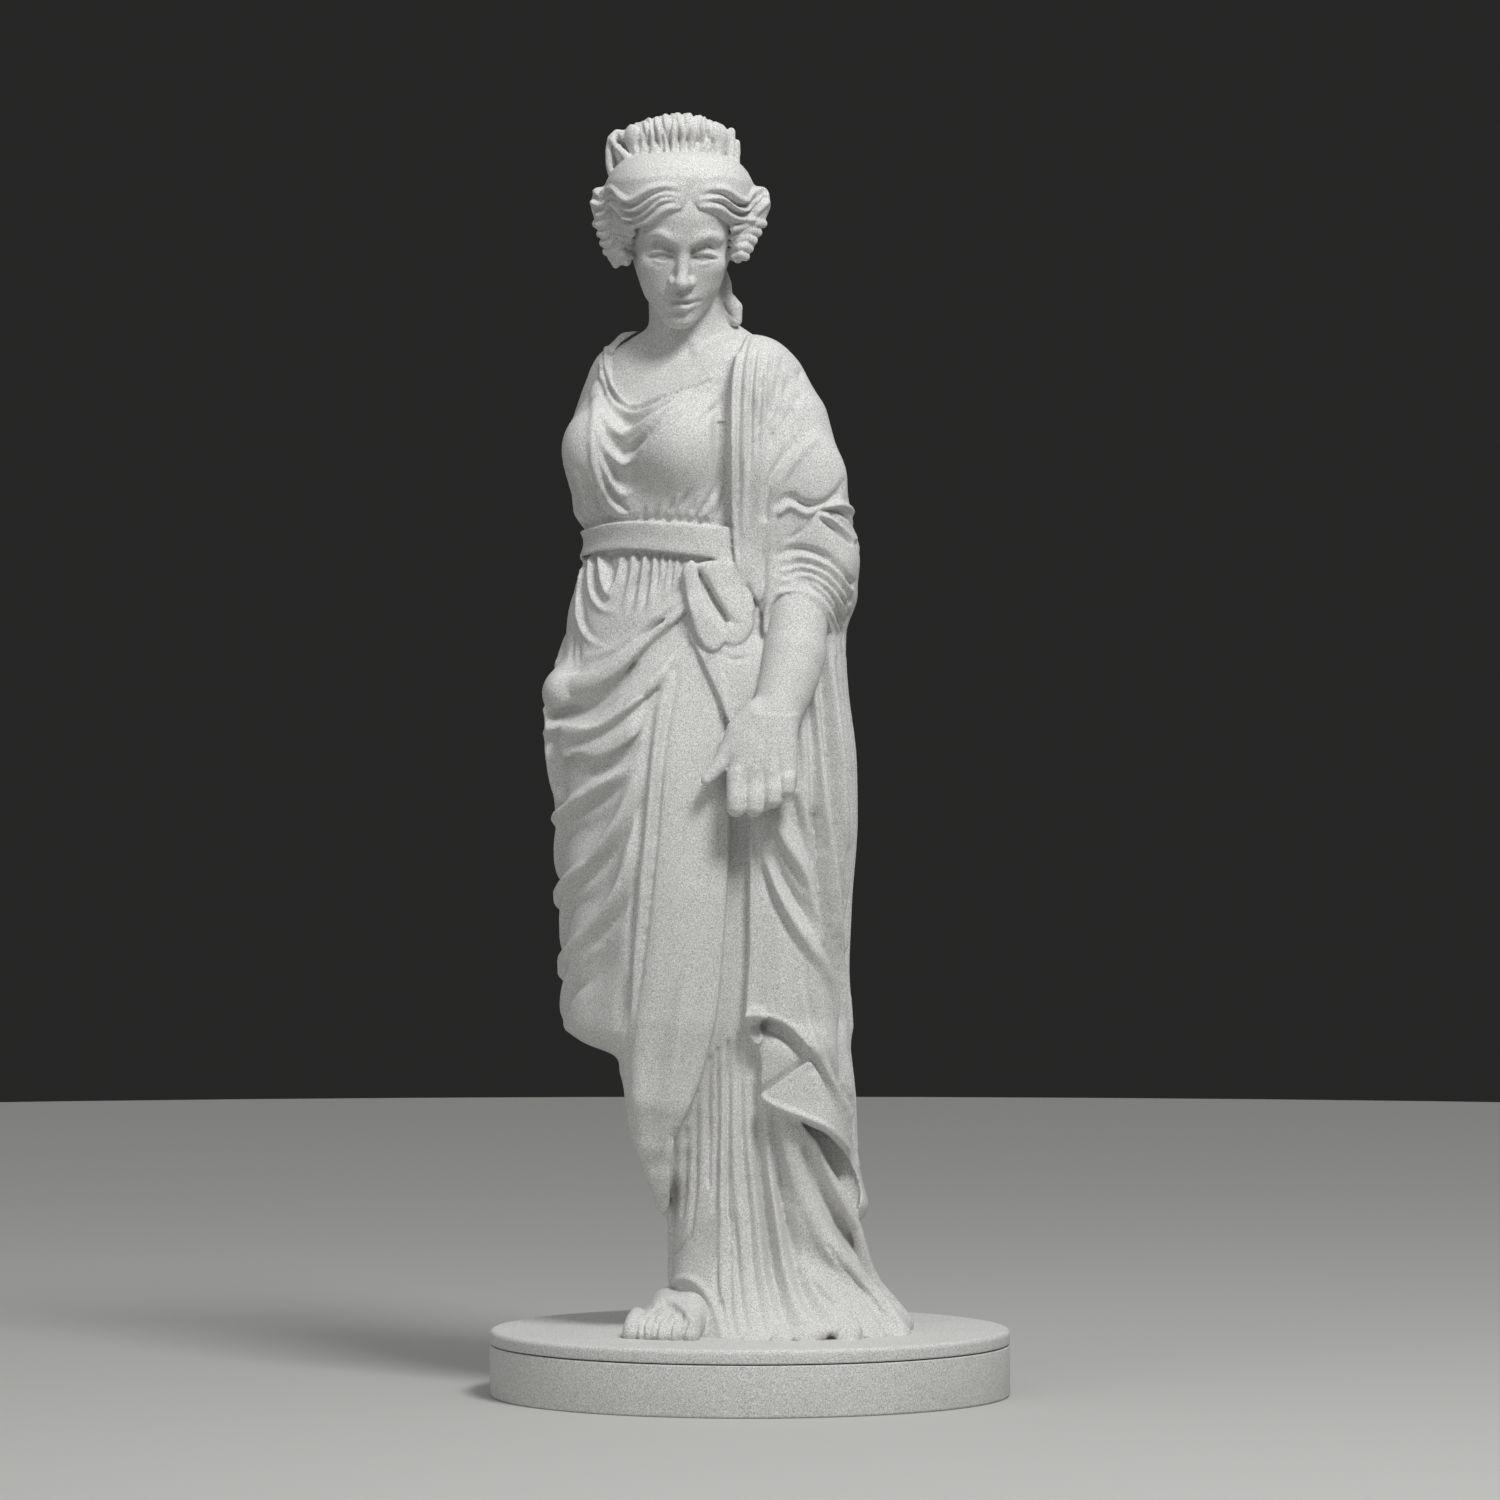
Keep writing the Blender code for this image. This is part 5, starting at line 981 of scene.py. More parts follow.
def mantle_folds(clay):
    """The mantle over the left shoulder: its straight border, chiselled folds and the sleeve's gathers."""
    clay.lines(0.9, -1.3, (
        [(-0.4, 264), (-2, 258), (-2.7, 250), (-2.9, 240), (-2.8, 230), (-3, 222), (-2.8, 212),
         (-1.4, 205)],
        [(2, 263.6), (1, 258), (0.5, 250), (0.2, 240), (-0.2, 232)],
        [(3.6, 262), (2.8, 255), (2.4, 248), (2, 242), (1.7, 236)],
    ), ends=(0.6, 0.3))
    clay.lines(1.3, 0.8, (
        [(-2.4, 262), (-3.5, 256), (-3.9, 248), (-4, 238), (-3.9, 228), (-3.7, 218), (-3.2, 209),
         (-1.2, 203)],
        [(0.6, 262.6), (-0.6, 256), (-1.2, 248), (-1.4, 238), (-1.5, 228), (-1.6, 216)],
        [(2.8, 261), (1.8, 254), (1.4, 246), (1.1, 239)],
        [(4.4, 260), (3.7, 252), (3.2, 244)],
    ), ends=(0.6, 0.3))
    clay.lines(0.9, -1.1, (
        [(4.7, 259), (4.7, 256), (4.6, 252.6)],
        [(6.9, 255), (6.7, 251.6), (6.2, 248)],
        [(7.2, 246.6), (6.9, 243)],
        [(10.2, 246.4), (9.4, 244.4), (8.4, 242.4)],
        [(9.8, 254), (9, 251.4), (8, 249)],
        [(5, 249), (4.9, 244)],
        [(8.2, 258.6), (7.6, 256)],
        [(12.4, 250), (11.4, 247.4)],
        [(5.6, 241), (5.2, 237)],
        [(13, 256), (12.2, 253.4)],
    ), ends=(0.3, 0.2))
    clay.lines(1.4, -1.2, (
        [(14, 241), (10.4, 236.8), (7.2, 232.6), (5.2, 228.6), (4.2, 224.6), (3.7, 219)],
        [(3.9, 216), (3.5, 208), (3.2, 202), (2.9, 196), (2.9, 190)],
    ), ends=(0.2, 0.9))
    clay.lines(1.8, 1.0, ([(16.6, 239), (12.4, 235), (8.8, 230.4), (6.4, 226)],))
    # the pouch above the elbow, and the pinch that it is drawn to
    clay.lines(1.6, -1.9, (
        [(6.8, 222), (8.6, 223.8), (10.6, 224), (12.2, 222.8), (14.4, 222), (17, 222), (19.5, 222.9),
         (22, 225.4), (23.6, 228)],
    ))
    clay.lines(1.2, 1.1, (
        [(16, 221), (19, 221.8), (22, 222.4), (24.6, 221.4), (26.6, 218.4)],
        [(17.2, 219.6), (20.4, 218.6), (23.6, 216.6), (26.4, 213.6)],
        [(7.4, 220.6), (9.4, 222.2), (11.2, 222), (14, 220.4), (16, 220.6)],
    ), ends=(0.9, 0.8))
    clay.lines(1.0, -1.5, (
        [(17, 220.6), (20, 220.9), (22.6, 220.6), (25, 218.8), (26.6, 215.8)],
        [(16.4, 220), (19, 218), (22, 215.5), (25.2, 212.8)],
        [(20.4, 219.6), (23, 217.6), (25.2, 215.2), (26.6, 212.6)],
    ), ends=(0.8, 0.8))
    clay.lines(0.8, -0.8, ([(16.2, 219.2), (13.5, 216.4), (10.5, 214.2), (8.8, 213.4)],))
    # the gathers above the sleeve's mouth
    clay.lines(1.35, -1.9,
               ([(7.2, 210), (10, 211), (13.5, 211.2), (17, 210.2), (20, 208.6), (23, 206), (26, 202.4)],),
               ends=(0.3, 0.8))
    clay.lines(0.95, -1.2, (
        [(8.6, 206.6), (13, 207.7), (17, 206.8), (20, 205), (23, 201.8), (25.2, 198)],
        [(8.6, 204.4), (14, 205.6), (17.5, 204.5), (20.5, 202.2), (23.4, 198.6), (24.8, 194.6)],
        [(11, 203.6), (15.6, 203.4), (19, 201.2), (21.8, 197.6), (23.8, 193)],
        [(8.4, 201.4), (13.5, 202.2), (17, 200.4), (20, 197.3), (22.4, 193), (23.4, 188)],
    ), ends=(0.3, 0.7))
    clay.lines(1.0, 0.75, (
        [(7.4, 208.4), (13, 209.4), (18, 208), (22, 205), (25.4, 200.6)],
        [(8, 205.6), (13, 206.6), (17.4, 205.6), (20.8, 203.2), (24, 199.2)],
        [(8, 203), (13.6, 204.4), (17.6, 203), (21, 200), (23.8, 195.6)],
        [(7.6, 200.2), (13, 201), (16.8, 199.2), (20, 195.8), (22, 191)],
    ), ends=(0.4, 0.8))
    clay.lines(1.3, 1.0, ([(3.6, 191), (4.2, 196), (6, 199.2), (8.4, 200.6), (11, 200.6), (14.4, 199.2),
                           (17.8, 196), (20, 191.4), (21, 185)],), ends=(0.6, 0.8))


def fall_folds(clay):
    """The mantle's end that falls from the left hand, down to its zigzag hem."""
    clay.lines(2.6, 2.1, (
        [(2.6, 146), (3.6, 137), (5.6, 129.4), (8.4, 123.2), (11.6, 117.4), (15, 112), (18.4, 107),
         (20.6, 101.6), (21.8, 95), (22.8, 87), (24, 79), (25.6, 71.4)],
        [(5, 147), (7.4, 141.4), (10.4, 136.4), (13.2, 132), (15.5, 127), (17.1, 120.6), (18, 114)],
    ), ends=(0.6, 0.5))
    clay.lines(1.6, -1.7,
               ([(1.4, 143), (2.4, 135), (4.4, 128), (7, 121.8), (10, 116.2), (13, 111.6), (15.4, 107.6)],),
               ends=(0.6, 0.1))
    clay.lines(2.2, -2.6, (
        [(10.6, 148), (12.8, 140), (15.4, 132), (17.6, 124), (19.4, 116), (20.8, 108), (21.8, 100),
         (23, 90)],
        [(5.4, 135), (8.2, 129), (11.4, 123.6), (14.6, 118.4), (17, 113)],
    ), ends=(0.7, 0.1))
    clay.lines(1.0, -1.1, (
        [(4.6, 146.4), (6, 141.6), (8, 136), (11, 130), (13.4, 125.6)],
        [(8.4, 148.4), (10.2, 143.6), (12.2, 139)],
        [(3.6, 131), (5.4, 126.6), (8, 122)],
    ))
    clay.lines(1.5, -1.7,
               ([(14, 108), (15, 101), (16, 95.4), (17.6, 90), (19.6, 85), (22.4, 78.6), (25.2, 71)],),
               ends=(0.2, 0.8))
    clay.lines(1.5, 0.8, ([(12.4, 104), (13.6, 97), (15.2, 90.6), (17.4, 85), (20.4, 78.6), (23.6, 72)],),
               ends=(0.2, 0.9))
    # upright folds from the forearm to the hem on the left side
    clay.lines(2.2, 2.0, (
        [(13.2, 174), (13.8, 166), (14.8, 156), (16, 147)],
        [(16.2, 178), (17, 164.3), (19, 146.4), (20.8, 132), (22.2, 115), (23, 98), (23.6, 84), (24.6, 70)],
        [(19.6, 188), (21.4, 168.8), (23.4, 151), (24.4, 138)],
    ), ends=(0.3, 0.4), soft=True)
    clay.lines(2.2, -4.2, (
        [(14.4, 178), (14.8, 170.5), (15.6, 155.4), (17, 142), (19, 128.6), (20.6, 117), (21.6, 105),
         (22.2, 92), (23, 80)],
        [(17.2, 188), (18.1, 179.5), (19.8, 164.3), (21.8, 146.4), (22.8, 133), (23.4, 119.6), (23.8, 102)],
    ), ends=(0.5, 0.4))
    # the hem's edges
    clay.lines(1.1, 0.9, (
        [(-0.6, 94.4), (3, 94.3), (6, 93.9), (9, 92.4), (12, 89.8), (14.6, 87)],
        [(3.2, 74.4), (5, 73.1), (8, 71.6), (12, 70), (16, 68.4), (19, 66.9), (22, 64.5), (24.6, 61.4)],
    ), ends=(0.8, 0.6))
    clay.lines(2.2, -2.4, ([(0.8, 92.4), (4, 91.8), (8, 90.2), (11, 87.6), (13.4, 85)],), ends=(0.5, 0.4),
               soft=True)
    clay.lines(1.0, -1.6, ([(3.4, 75.9), (8, 79.2), (12, 82.2), (14.6, 83.5)],), ends=(0.8, 0.5))
    clay.lines(1.4, -1.2, ([(15.6, 83.4), (18, 79.6), (20.6, 74), (23.4, 67.4), (25.4, 62)],))


def skirt_folds(clay):
    """The tunic's pleats, which spread over the plinth."""
    clay.lines(2.2, -3.7, (
        [(1.6, 76), (2.3, 62), (3.2, 52), (4.2, 44), (5, 38), (5.8, 31), (7, 26), (8.3, 21), (10, 17.6)],
        [(5.4, 72), (6.5, 60), (7.5, 54), (8.8, 47), (10, 41), (11.5, 34), (13, 28), (15, 23),
         (17.4, 19.6)],
    ), ends=(0.3, 0.9))
    clay.lines(2.6, -2.9, (
        [(14.6, 61), (16.6, 55), (18.8, 50), (21.6, 45), (24, 40), (26.6, 35)],
    ), ends=(0.5, 0.1), soft=True)
    clay.lines(3.6, -2.3, ([(11.2, 43), (13.2, 37.6), (16.2, 32.6), (20, 28.4)],), ends=(0.1, 0), soft=True)
    clay.lines(0.9, -1.25, (
        [(-13.2, 76), (-13.3, 62), (-13.8, 50), (-14.8, 41), (-17, 37), (-19.6, 34.6)],
        [(-18.6, 66), (-18.9, 54), (-19.2, 44), (-19.4, 38)],
        [(-5.4, 88), (-5.6, 60), (-5.7, 48), (-5.2, 43), (-5, 35), (-5, 25), (-4.6, 19), (-3.6, 15)],
        [(-2.6, 90), (-2.2, 66), (-1, 52), (-0.2, 44), (0.2, 36), (1, 29), (2, 23), (3.6, 16)],
        [(-3.9, 44), (-3.5, 38), (-3, 30), (-2, 22), (-0.6, 16)],
        [(-10, 84), (-10.2, 66), (-10.4, 52)],
        [(-8, 86), (-8, 70), (-8.2, 56), (-9, 46)],
        [(-15.6, 66), (-16, 54), (-16.8, 45)],
        [(19.6, 37), (23.2, 31.6), (27.6, 26), (31.4, 20.6), (34.2, 15.4)],
        [(24.6, 31), (28.4, 26.4), (31.4, 22.6), (34.4, 18)],
        [(28, 29.6), (31.4, 25.8), (34.6, 21.8), (37.6, 17)],
        [(16.6, 27.6), (18.4, 24.6), (20.4, 22.4)],
        [(14.4, 31), (16.4, 27.8), (19.4, 24), (22.4, 21.6)],
    ), ends=(0.5, 0.8))
    clay.lines(1.4, 0.9, (
        [(4, 70), (4.7, 58), (5.8, 48), (6.8, 41), (7.8, 34), (9.4, 28), (11.4, 22), (13.8, 17)],
        [(-0.2, 78), (0.2, 62), (1.2, 52), (2.2, 43), (2.9, 35), (3.8, 28), (5.2, 21)],
        [(-3.9, 84), (-3.8, 62), (-3.2, 50), (-2.2, 41), (-1.4, 32)],
        [(-6.9, 84), (-6.8, 60), (-6.9, 46), (-7, 34), (-7.2, 24)],
    ), ends=(0.2, 0.6))
    # the cloth is drawn up over the foot
    clay.lines(4.2, -1.2, ([(-8.6, 46), (-11, 40), (-14.4, 34.6), (-18.6, 30.4)],), ends=(0, 0), soft=True)
    clay.lines(1.5, 1.1, ([(-20, 26.6), (-18.2, 28.4), (-15.8, 28.8), (-13, 27.6), (-10.6, 25),
                           (-8.8, 21.4), (-7.6, 17.6), (-6.8, 14)],), ends=(0.6, 0.8))
    clay.lines(1.0, -1.2, ([(-8.2, 34), (-8.4, 28), (-7.6, 23), (-6.4, 18), (-5.8, 15)],))


def hem_on_the_disc(clay):
    """The hem's small rolls where the pleats meet the disc."""
    for x, y, z, radii in (
        (-4.8, -31.6, 15, (1.9, 2, 2.2)),
        (0.5, -34.4, 15.2, (3.5, 2.4, 2.6)),
        (7.6, -36.2, 15.4, (3.3, 2.5, 3)),
        (14, -35.8, 15.2, (3.2, 2.6, 2.8)),
        (31.8, -26.6, 15, (2.4, 3, 3)),
        (37, -20, 15, (2.8, 4, 3)),
    ):
        clay.put(ball((x, y, z), radii), 0.5)
    clay.put(limb([(11, -35.8, 17), (16, -35.2, 17.6), (21, -33.6, 18.6), (25, -31.6, 19.6)],
                  (1.9, 2, 1.6, 1)), 0.5)
    clay.put(limb([(24, -33.6, 15.4), (25.2, -32.6, 18.2), (26, -31.8, 20.8)], (3.3, 2.5, 0.8)), 0.3)
    for x, y, z, r in ((-3.2, -35, 14.8, 1), (4.1, -38, 14.8, 1.1), (11, -38.6, 14.8, 1.1),
                       (19.8, -36.6, 15.6, 1.5), (28.6, -31.6, 15, 1.5), (34.6, -26.6, 15, 1.2)):
        clay.put(ball((x, y, z), (r, 4, r * 1.7)), 0.3, True)


# ---- the sides and the back ---------------------------------------------------
# the upright axes (x, y) that these folds are laid out round
TRUNK = (-14, 2)
SKIRT = (-4, 1)
LEFT_SIDE = (4, 0)


def back_folds(clay):
    """The plain back: swags from the left shoulder to the right hip, with upright folds below."""
    swags = (
        ((100, 262), (135, 253), (170, 238), (205, 218), (240, 198), (268, 183)),
        ((100, 251), (135, 240), (170, 223), (205, 204), (240, 188), (268, 177)),
        ((100, 238), (135, 226), (170, 208), (205, 191), (240, 179), (266, 171)),
        ((102, 222), (132, 211), (165, 195), (200, 180), (235, 170), (262, 164)),
        ((106, 204), (136, 194), (165, 182), (200, 169), (235, 161), (258, 157)),
    )
    for swag in swags:
        clay.round_about(swag, TRUNK, (2.6, 3.6, 2.8), (0.7, 1.7, 1.0))
        clay.round_about([(angle, z - 5.2) for angle, z in swag], TRUNK, (1.4, 1.9, 1.6),
                         (-0.5, -1.6, -0.9))
    # the tunic's back over the right shoulder blade and the folded arm
    for top, low in ((244, 208), (258, 224), (272, 240)):
        clay.round_about([(top, 256), (top - 10, 244), (low + 8, 230), (low, 219)], TRUNK, 2.0,
                         (0.3, 1.0, 0.7))
        clay.round_about([(top + 7, 254), (top - 3, 242), (low + 14, 229), (low + 6, 218)], TRUNK, 1.3,
                         (-0.3, -1.0, -0.9))
    for i in range(11):
        angle = 98 + i * 15
        lean = (i - 5) * 1.1
        top = 168 - abs(i - 4) * 2.4
        low = 70 + (i * 5) % 9
        clay.round_about([(angle - lean, top), (angle, (top + low) / 2), (angle + lean * 0.6, low)], TRUNK,
                         (2.2, 3.4, 3.0), (0.4, 1.5, 1.2))
        clay.round_about([(angle + 7.5 - lean, top - 8), (angle + 7.5, (top + low) / 2),
                          (angle + 7.5 + lean * 0.6, low)], TRUNK, (1.2, 1.9, 1.8), (-0.3, -1.6, -1.3))
    for i in range(13):
        angle = 92 + i * 15
        top = 40 if angle < 150 else 80
        clay.round_about([(angle, top), (angle, top * 0.4 + 18), (angle - 3, 26), (angle - 4, 14)], SKIRT,
                         (1.8, 2.4, 3.0), (0.1, 1.1, 1.5))
        clay.round_about([(angle + 7, top), (angle + 7, top * 0.4 + 18), (angle + 5, 26), (angle + 4, 14)],
                         SKIRT, (1.2, 1.5, 2.0), (-0.1, -1.3, -1.8))


def side_folds(clay):
    """The mantle's upright folds below the left elbow, and the folds at the sleeve's and the hip's sides."""
    for angle, top, low in ((62, 196, 66), (74, 202, 58), (87, 204, 62)):
        clay.round_about([(angle - 6, top), (angle, (top + low) / 2), (angle + 2, low)], LEFT_SIDE,
                         (1.6, 2.4, 2.0), (0.4, 1.3, 0.9))
        clay.round_about([(angle - 1, top - 4), (angle + 6, (top + low) / 2), (angle + 8, low)], LEFT_SIDE,
                         (1.0, 1.5, 1.3), (-0.3, -1.4, -0.9))
    for z in (232, 222, 212):
        clay.round_about([(68, z), (88, z - 3), (108, z - 9), (124, z - 15)], LEFT_SIDE, 1.5,
                         (0.3, 1.1, 0.3))
        clay.round_about([(70, z - 4.5), (90, z - 8), (110, z - 14)], LEFT_SIDE, 1.1, (-0.3, -1.1, -0.3))
    for start, end in ((150, 132), (132, 113), (112, 97)):
        clay.round_about([(300, start), (286, start - 5), (270, end), (254, end - 4)], TRUNK, 2.2,
                         (0.5, 1.4, 0.4))
        clay.round_about([(298, start - 8), (284, start - 12), (268, end - 7)], TRUNK, 1.4,
                         (-0.5, -1.5, -0.4))


def folds_under(clay):
    """The folds of the tunic and the mantle that the belt, the knot and the upper mantle lie over."""
    cowl(clay)
    gathers(clay)
    hip_folds(clay)
    leg_panel_folds(clay)
    skirt_folds(clay)
    side_folds(clay)
    back_folds(clay)
    # a valley beside the mantle's border, and one along each edge of the belt
    clay.lines(3.8, -2.4, ([(-6.2, 259), (-6.6, 248), (-6.8, 234), (-6.2, 220)],), soft=True)
    clay.lines(1.5, -1.2, ([(x, z + 0.6) for x, z in BELT_TOP], [(x, z - 0.6) for x, z in BELT_FOOT]),
               ends=(1, 1))


def robe(step):
    """All the drapery. Each hold fixes the clay that the strokes after it are laid out on."""
    clay = Clay((-60, -41, 13.4), (48, 40, 272), step)
    robe_masses(clay)
    robe_layers(clay)
    clay.hold()
    hip_rolls(clay)
    hem_on_the_disc(clay)
    clay.hold()
    folds_under(clay)
    cloth_over(clay)
    clay.hold()
    knot_folds(clay)
    mantle_folds(clay)
    fall_folds(clay)
    neckline(clay)
    return clay


# ---- the left forearm and hand ------------------------------------------------
def arm_forms(clay):
    """The bare forearm, the hand's back, the thumb and the fingers."""
    clay.put(limb([(13.5, -13, 203), (12, -17, 194), (11, -20, 185)], (7.6, 7.4, 7.6)))
    clay.put(limb([(11, -20, 185), (10, -22, 180), (8.4, -24, 175), (6.8, -26, 170.5), (5.8, -27, 167)],
                  (7.6, 7.4, 6.8, 6.1, 5.5)), 1)
    # the flat back of the hand
    clay.put(loft([
        (169, 6, -27, 5.4, 5, 0),
        (165, 4.4, -28.4, 7.2, 4.6, 0),
        (160, 3.5, -29.4, 8.2, 4.1, 0),
        (155, 3.2, -30, 8.5, 3.7, 0),
        (151.5, 3.2, -30, 8.2, 3.2, 0),
    ], 3), 2)
    # the ball of the thumb, then the thumb
    clay.put(limb([(2, -27.5, 169), (-2.6, -28, 165.4), (-4.8, -28.6, 161)], (4.4, 3.4, 2.7)), 2)
    clay.put(limb([(-5, -28.6, 161), (-7.6, -29.8, 157), (-10.6, -30.6, 153.6)], (2.5, 2.0, 1.5)), 0.7)
    # fingers side by side: knuckle, straight front and a tip that curls back
    for x, low, r in ((-3.3, 147, 2.5), (1.2, 147, 2.45), (5.6, 149, 2.35), (9.2, 151.4, 1.9)):
        clay.put(limb([(x * 0.8 + 0.6, -29.6, 160), (x, -31.2, 154.8), (x, -32.8, low + 2), (x, -32.8, low),
                       (x, -29, low - 0.2)], (1.7, r, r, r, r * 0.9)), 0.35)
        clay.put(ball((x, -32.2, 154.6), 1.6), 1.4)
    for x, y, low in ((-1, -30.6, 147.6), (3.4, -30.6, 148), (7.4, -29.8, 151)):
        clay.put(limb([(x, y + 0.6, 155), (x, y, low)], 2.1), 0.2)


def arm_lines(clay):
    """Tendons from the wrist, and the creases between the fingers."""
    for x, low in ((-3.1, 156), (1.3, 156), (5.5, 156), (9, 157)):
        clay.front([(x, low), (x * 0.75 + 1.4, 160.5), (x * 0.5 + 2.8, 165.5)], 1.4, (0.4, 0.3, 0.05))
    clay.lines(0.7, -0.5, ([(-1.0, 153), (-1.0, 155), (-0.5, 157)], [(3.4, 153), (3.4, 155), (3.4, 157)],
                           [(7.5, 154), (7.5, 155.4), (7.2, 157.4)]), ends=(0.3, 0.1))


def forearm(step):
    """The left forearm and hand."""
    clay = Clay((-17, -44, 140), (24, -4, 206), step)
    arm_forms(clay)
    clay.hold()
    arm_lines(clay)
    return clay


# ---- the right foot -------------------------------------------------------------
def foot_forms(clay):
    """The sole, the instep and five toes."""
    clay.put(limb([(-24.4, 0, 18), (-26.4, -28, 17.9)], (4.2, 4.1)))
    clay.put(limb([(-19.5, 0, 21), (-20.4, -16, 21), (-21.6, -27, 18.8)], (6, 5, 4)), 2.5)
    clay.put(limb([(-14, 0, 21), (-14.6, -17, 21), (-15.8, -28, 18.6)], (6.4, 5.6, 4)), 2.5)
    for x, y, r in ((-28.6, -29.6, 2.5), (-25.2, -32.4, 2.15), (-21.8, -34.2, 2.15), (-18.4, -35, 2.2),
                    (-14.6, -35, 2.6)):
        clay.put(limb([(x + 0.8, y + 8.5, 21.4), (x + 0.3, y + 3.4, 20.4), (x - 0.2, y, 18.6)],
                      (r * 0.8, r * 0.95, r)), 0.3)
        clay.put(ball((x - 0.2, y - 0.4, 17.6), (r * 1.02, r * 1.1, r)), 0.4)


def foot_lines(clay):
    """The creases between the toes."""
    clay.lines(0.9, -1.3, ([(-27, 13.8), (-27, 17), (-26, 19.2), (-24.2, 20.6)],
                           [(-23.8, 13.4), (-23.6, 17), (-22.6, 18.8), (-20.6, 20)],
                           [(-20.4, 13.4), (-20.2, 16.6), (-19.3, 18.4), (-17.6, 19.4)],
                           [(-16.9, 13.4), (-16.7, 16.2), (-15.9, 17.6), (-14.4, 18.4)]), ends=(1, 0.1))
    # the sandal's strap
    clay.roll([(-23.6, 21.4), (-22.6, 22.6), (-21.2, 23.2), (-19.4, 22.8), (-17.4, 21.8), (-15.6, 19.8),
               (-14.2, 17.8)],
              (0.9, 1.3, 1.0), 0.2, 0.4)
    clay.lines(0.8, -0.9, ([(-24, 20.8), (-22.6, 22), (-20.8, 22.2), (-18.6, 20.8), (-16.6, 18.8)],))


def foot(step):
    """The right foot in its sandal."""
    clay = Clay((-36, -46, 13.4), (-2, 4, 33), step)
    foot_forms(clay)
    clay.hold()
    foot_lines(clay)
    return clay


# ---- the head ---------------------------------------------------------------------
# the head's own frame: where it is, and its turn in degrees
HEAD = (-17.0, -6.0, 289.5)
NOD = (22.0, 2.0, 3.0)
HEAD_BOTTOM = 242
HAIR_BOTTOM = 262


def in_head(points):
    """A smooth path of the head's own frame, in the figure's frame."""
    return smooth_path(points, 0.4) @ turned(NOD).T + np.array(HEAD)


def head_forms(clay):
    """The skull, the face and the neck."""
    def put(shape, blend=0.0, cut=False):
        clay.put(posed(shape, HEAD, NOD), blend, cut)

    put(ball((0, 1.5, 4.5), (12.4, 16.2, 15.5)))
    put(loft([
        (13, 0, -2, 9.8, 12.2, 0),
        (8, 0, -2, 11.2, 13.7, 0),
        (3.4, 0, -2, 11.6, 13.7, 0),
        (0, 0, -2.2, 11.5, 12.9, 0),
        (-4, 0, -3, 11.1, 11.9, 0),
        (-8, 0, -4, 10.1, 10.8, 0),
        (-12, 0, -5, 8.4, 9.5, 0),
        (-16, 0, -6, 5.9, 7.8, 0),
        (-18.6, 0, -6.5, 4.3, 6.9, 0),
        (-19.8, 0, -7, 2.6, 5.0, 0),
    ], 2.1), 2)
    for side in (-1, 1):
        # jaw, cheek, cheekbone, brow
        put(limb([(side * 9.3, -1, -6.5), (side * 6.6, -6.8, -13.2), (side * 2.4, -10.8, -17.4)],
                 (2.4, 2.2, 2.1)), 3)
        put(ball((side * 5.8, -9.2, -8.0), (3.6, 3.2, 4.2)), 3.5)
        put(ball((side * 7.0, -10.4, -4.0), (3.3, 2.8, 2.6)), 3)
        put(limb([(side * 2.0, -13.8, 3.0), (side * 4.8, -13.7, 4.0), (side * 8.6, -11.2, 2.8)],
                 (0.9, 1.2, 0.8)), 2.5)
        # eye socket and eyeball
        put(ball((side * 5.1, -15.6, -0.4), (4.0, 3.3, 2.5), (0, side * -4, 0)), 1.8, True)
        put(ball((side * 5.1, -10.7, -0.9), (3.5, 3.3, 2.9)), 0.7)
    put(ball((0, -11.7, -17.7), (2.9, 2.8, 2.4)), 2.4)
    put(ball((0, -11.4, -12.2), (4.7, 3.3, 3.8)), 3)
    # nose
    put(limb([(0, -13.6, 3.6), (0, -14.5, -0.4), (0, -16.0, -4.6), (0, -17.2, -6.9)],
             (1.5, 1.25, 1.4, 1.5)), 1.6)
    put(ball((0, -17.2, -7.2), (1.9, 1.8, 1.5)), 1.0)
    for side in (-1, 1):
        put(ball((side * 2.1, -15.2, -7.6), (1.3, 1.8, 1.25)), 0.9)
    # lips
    put(limb([(-4.0, -12.9, -12.5), (-1.5, -14.9, -11.7), (0, -15.0, -12.0), (1.5, -14.9, -11.7),
              (4.0, -12.9, -12.5)], (0.4, 1.05, 0.95, 1.05, 0.4)), 0.8)
    put(limb([(-3.2, -13.2, -13.6), (-1.2, -14.6, -14.2), (1.2, -14.6, -14.2), (3.2, -13.2, -13.6)],
             (0.6, 1.35, 1.35, 0.6)), 0.8)
    # neck, and its slopes to the shoulders
    clay.put(limb([(-14.6, 6, 254), (-15.4, 4.5, 266), (-16.2, 2.5, 280)], (11.4, 9.8, 9.3)), 2.5)
    clay.put(limb([(-15, 6, 261.4), (-28, 9, 257.2)], (8.4, 6.4)), 4)
    clay.put(limb([(-15, 6, 262), (-2, 2, 257.5)], (8.6, 6.4)), 4)
    clay.put(limb([(-12, 7, 268), (-4.4, 5, 263.6), (2, 3, 259.4)], (4.8, 4.1, 4.0)), 2)
    clay.put(limb([(-18.4, 7, 266.4), (-25, 7, 262), (-31, 8, 258.6)], (4.0, 3.4, 3.4)), 2)


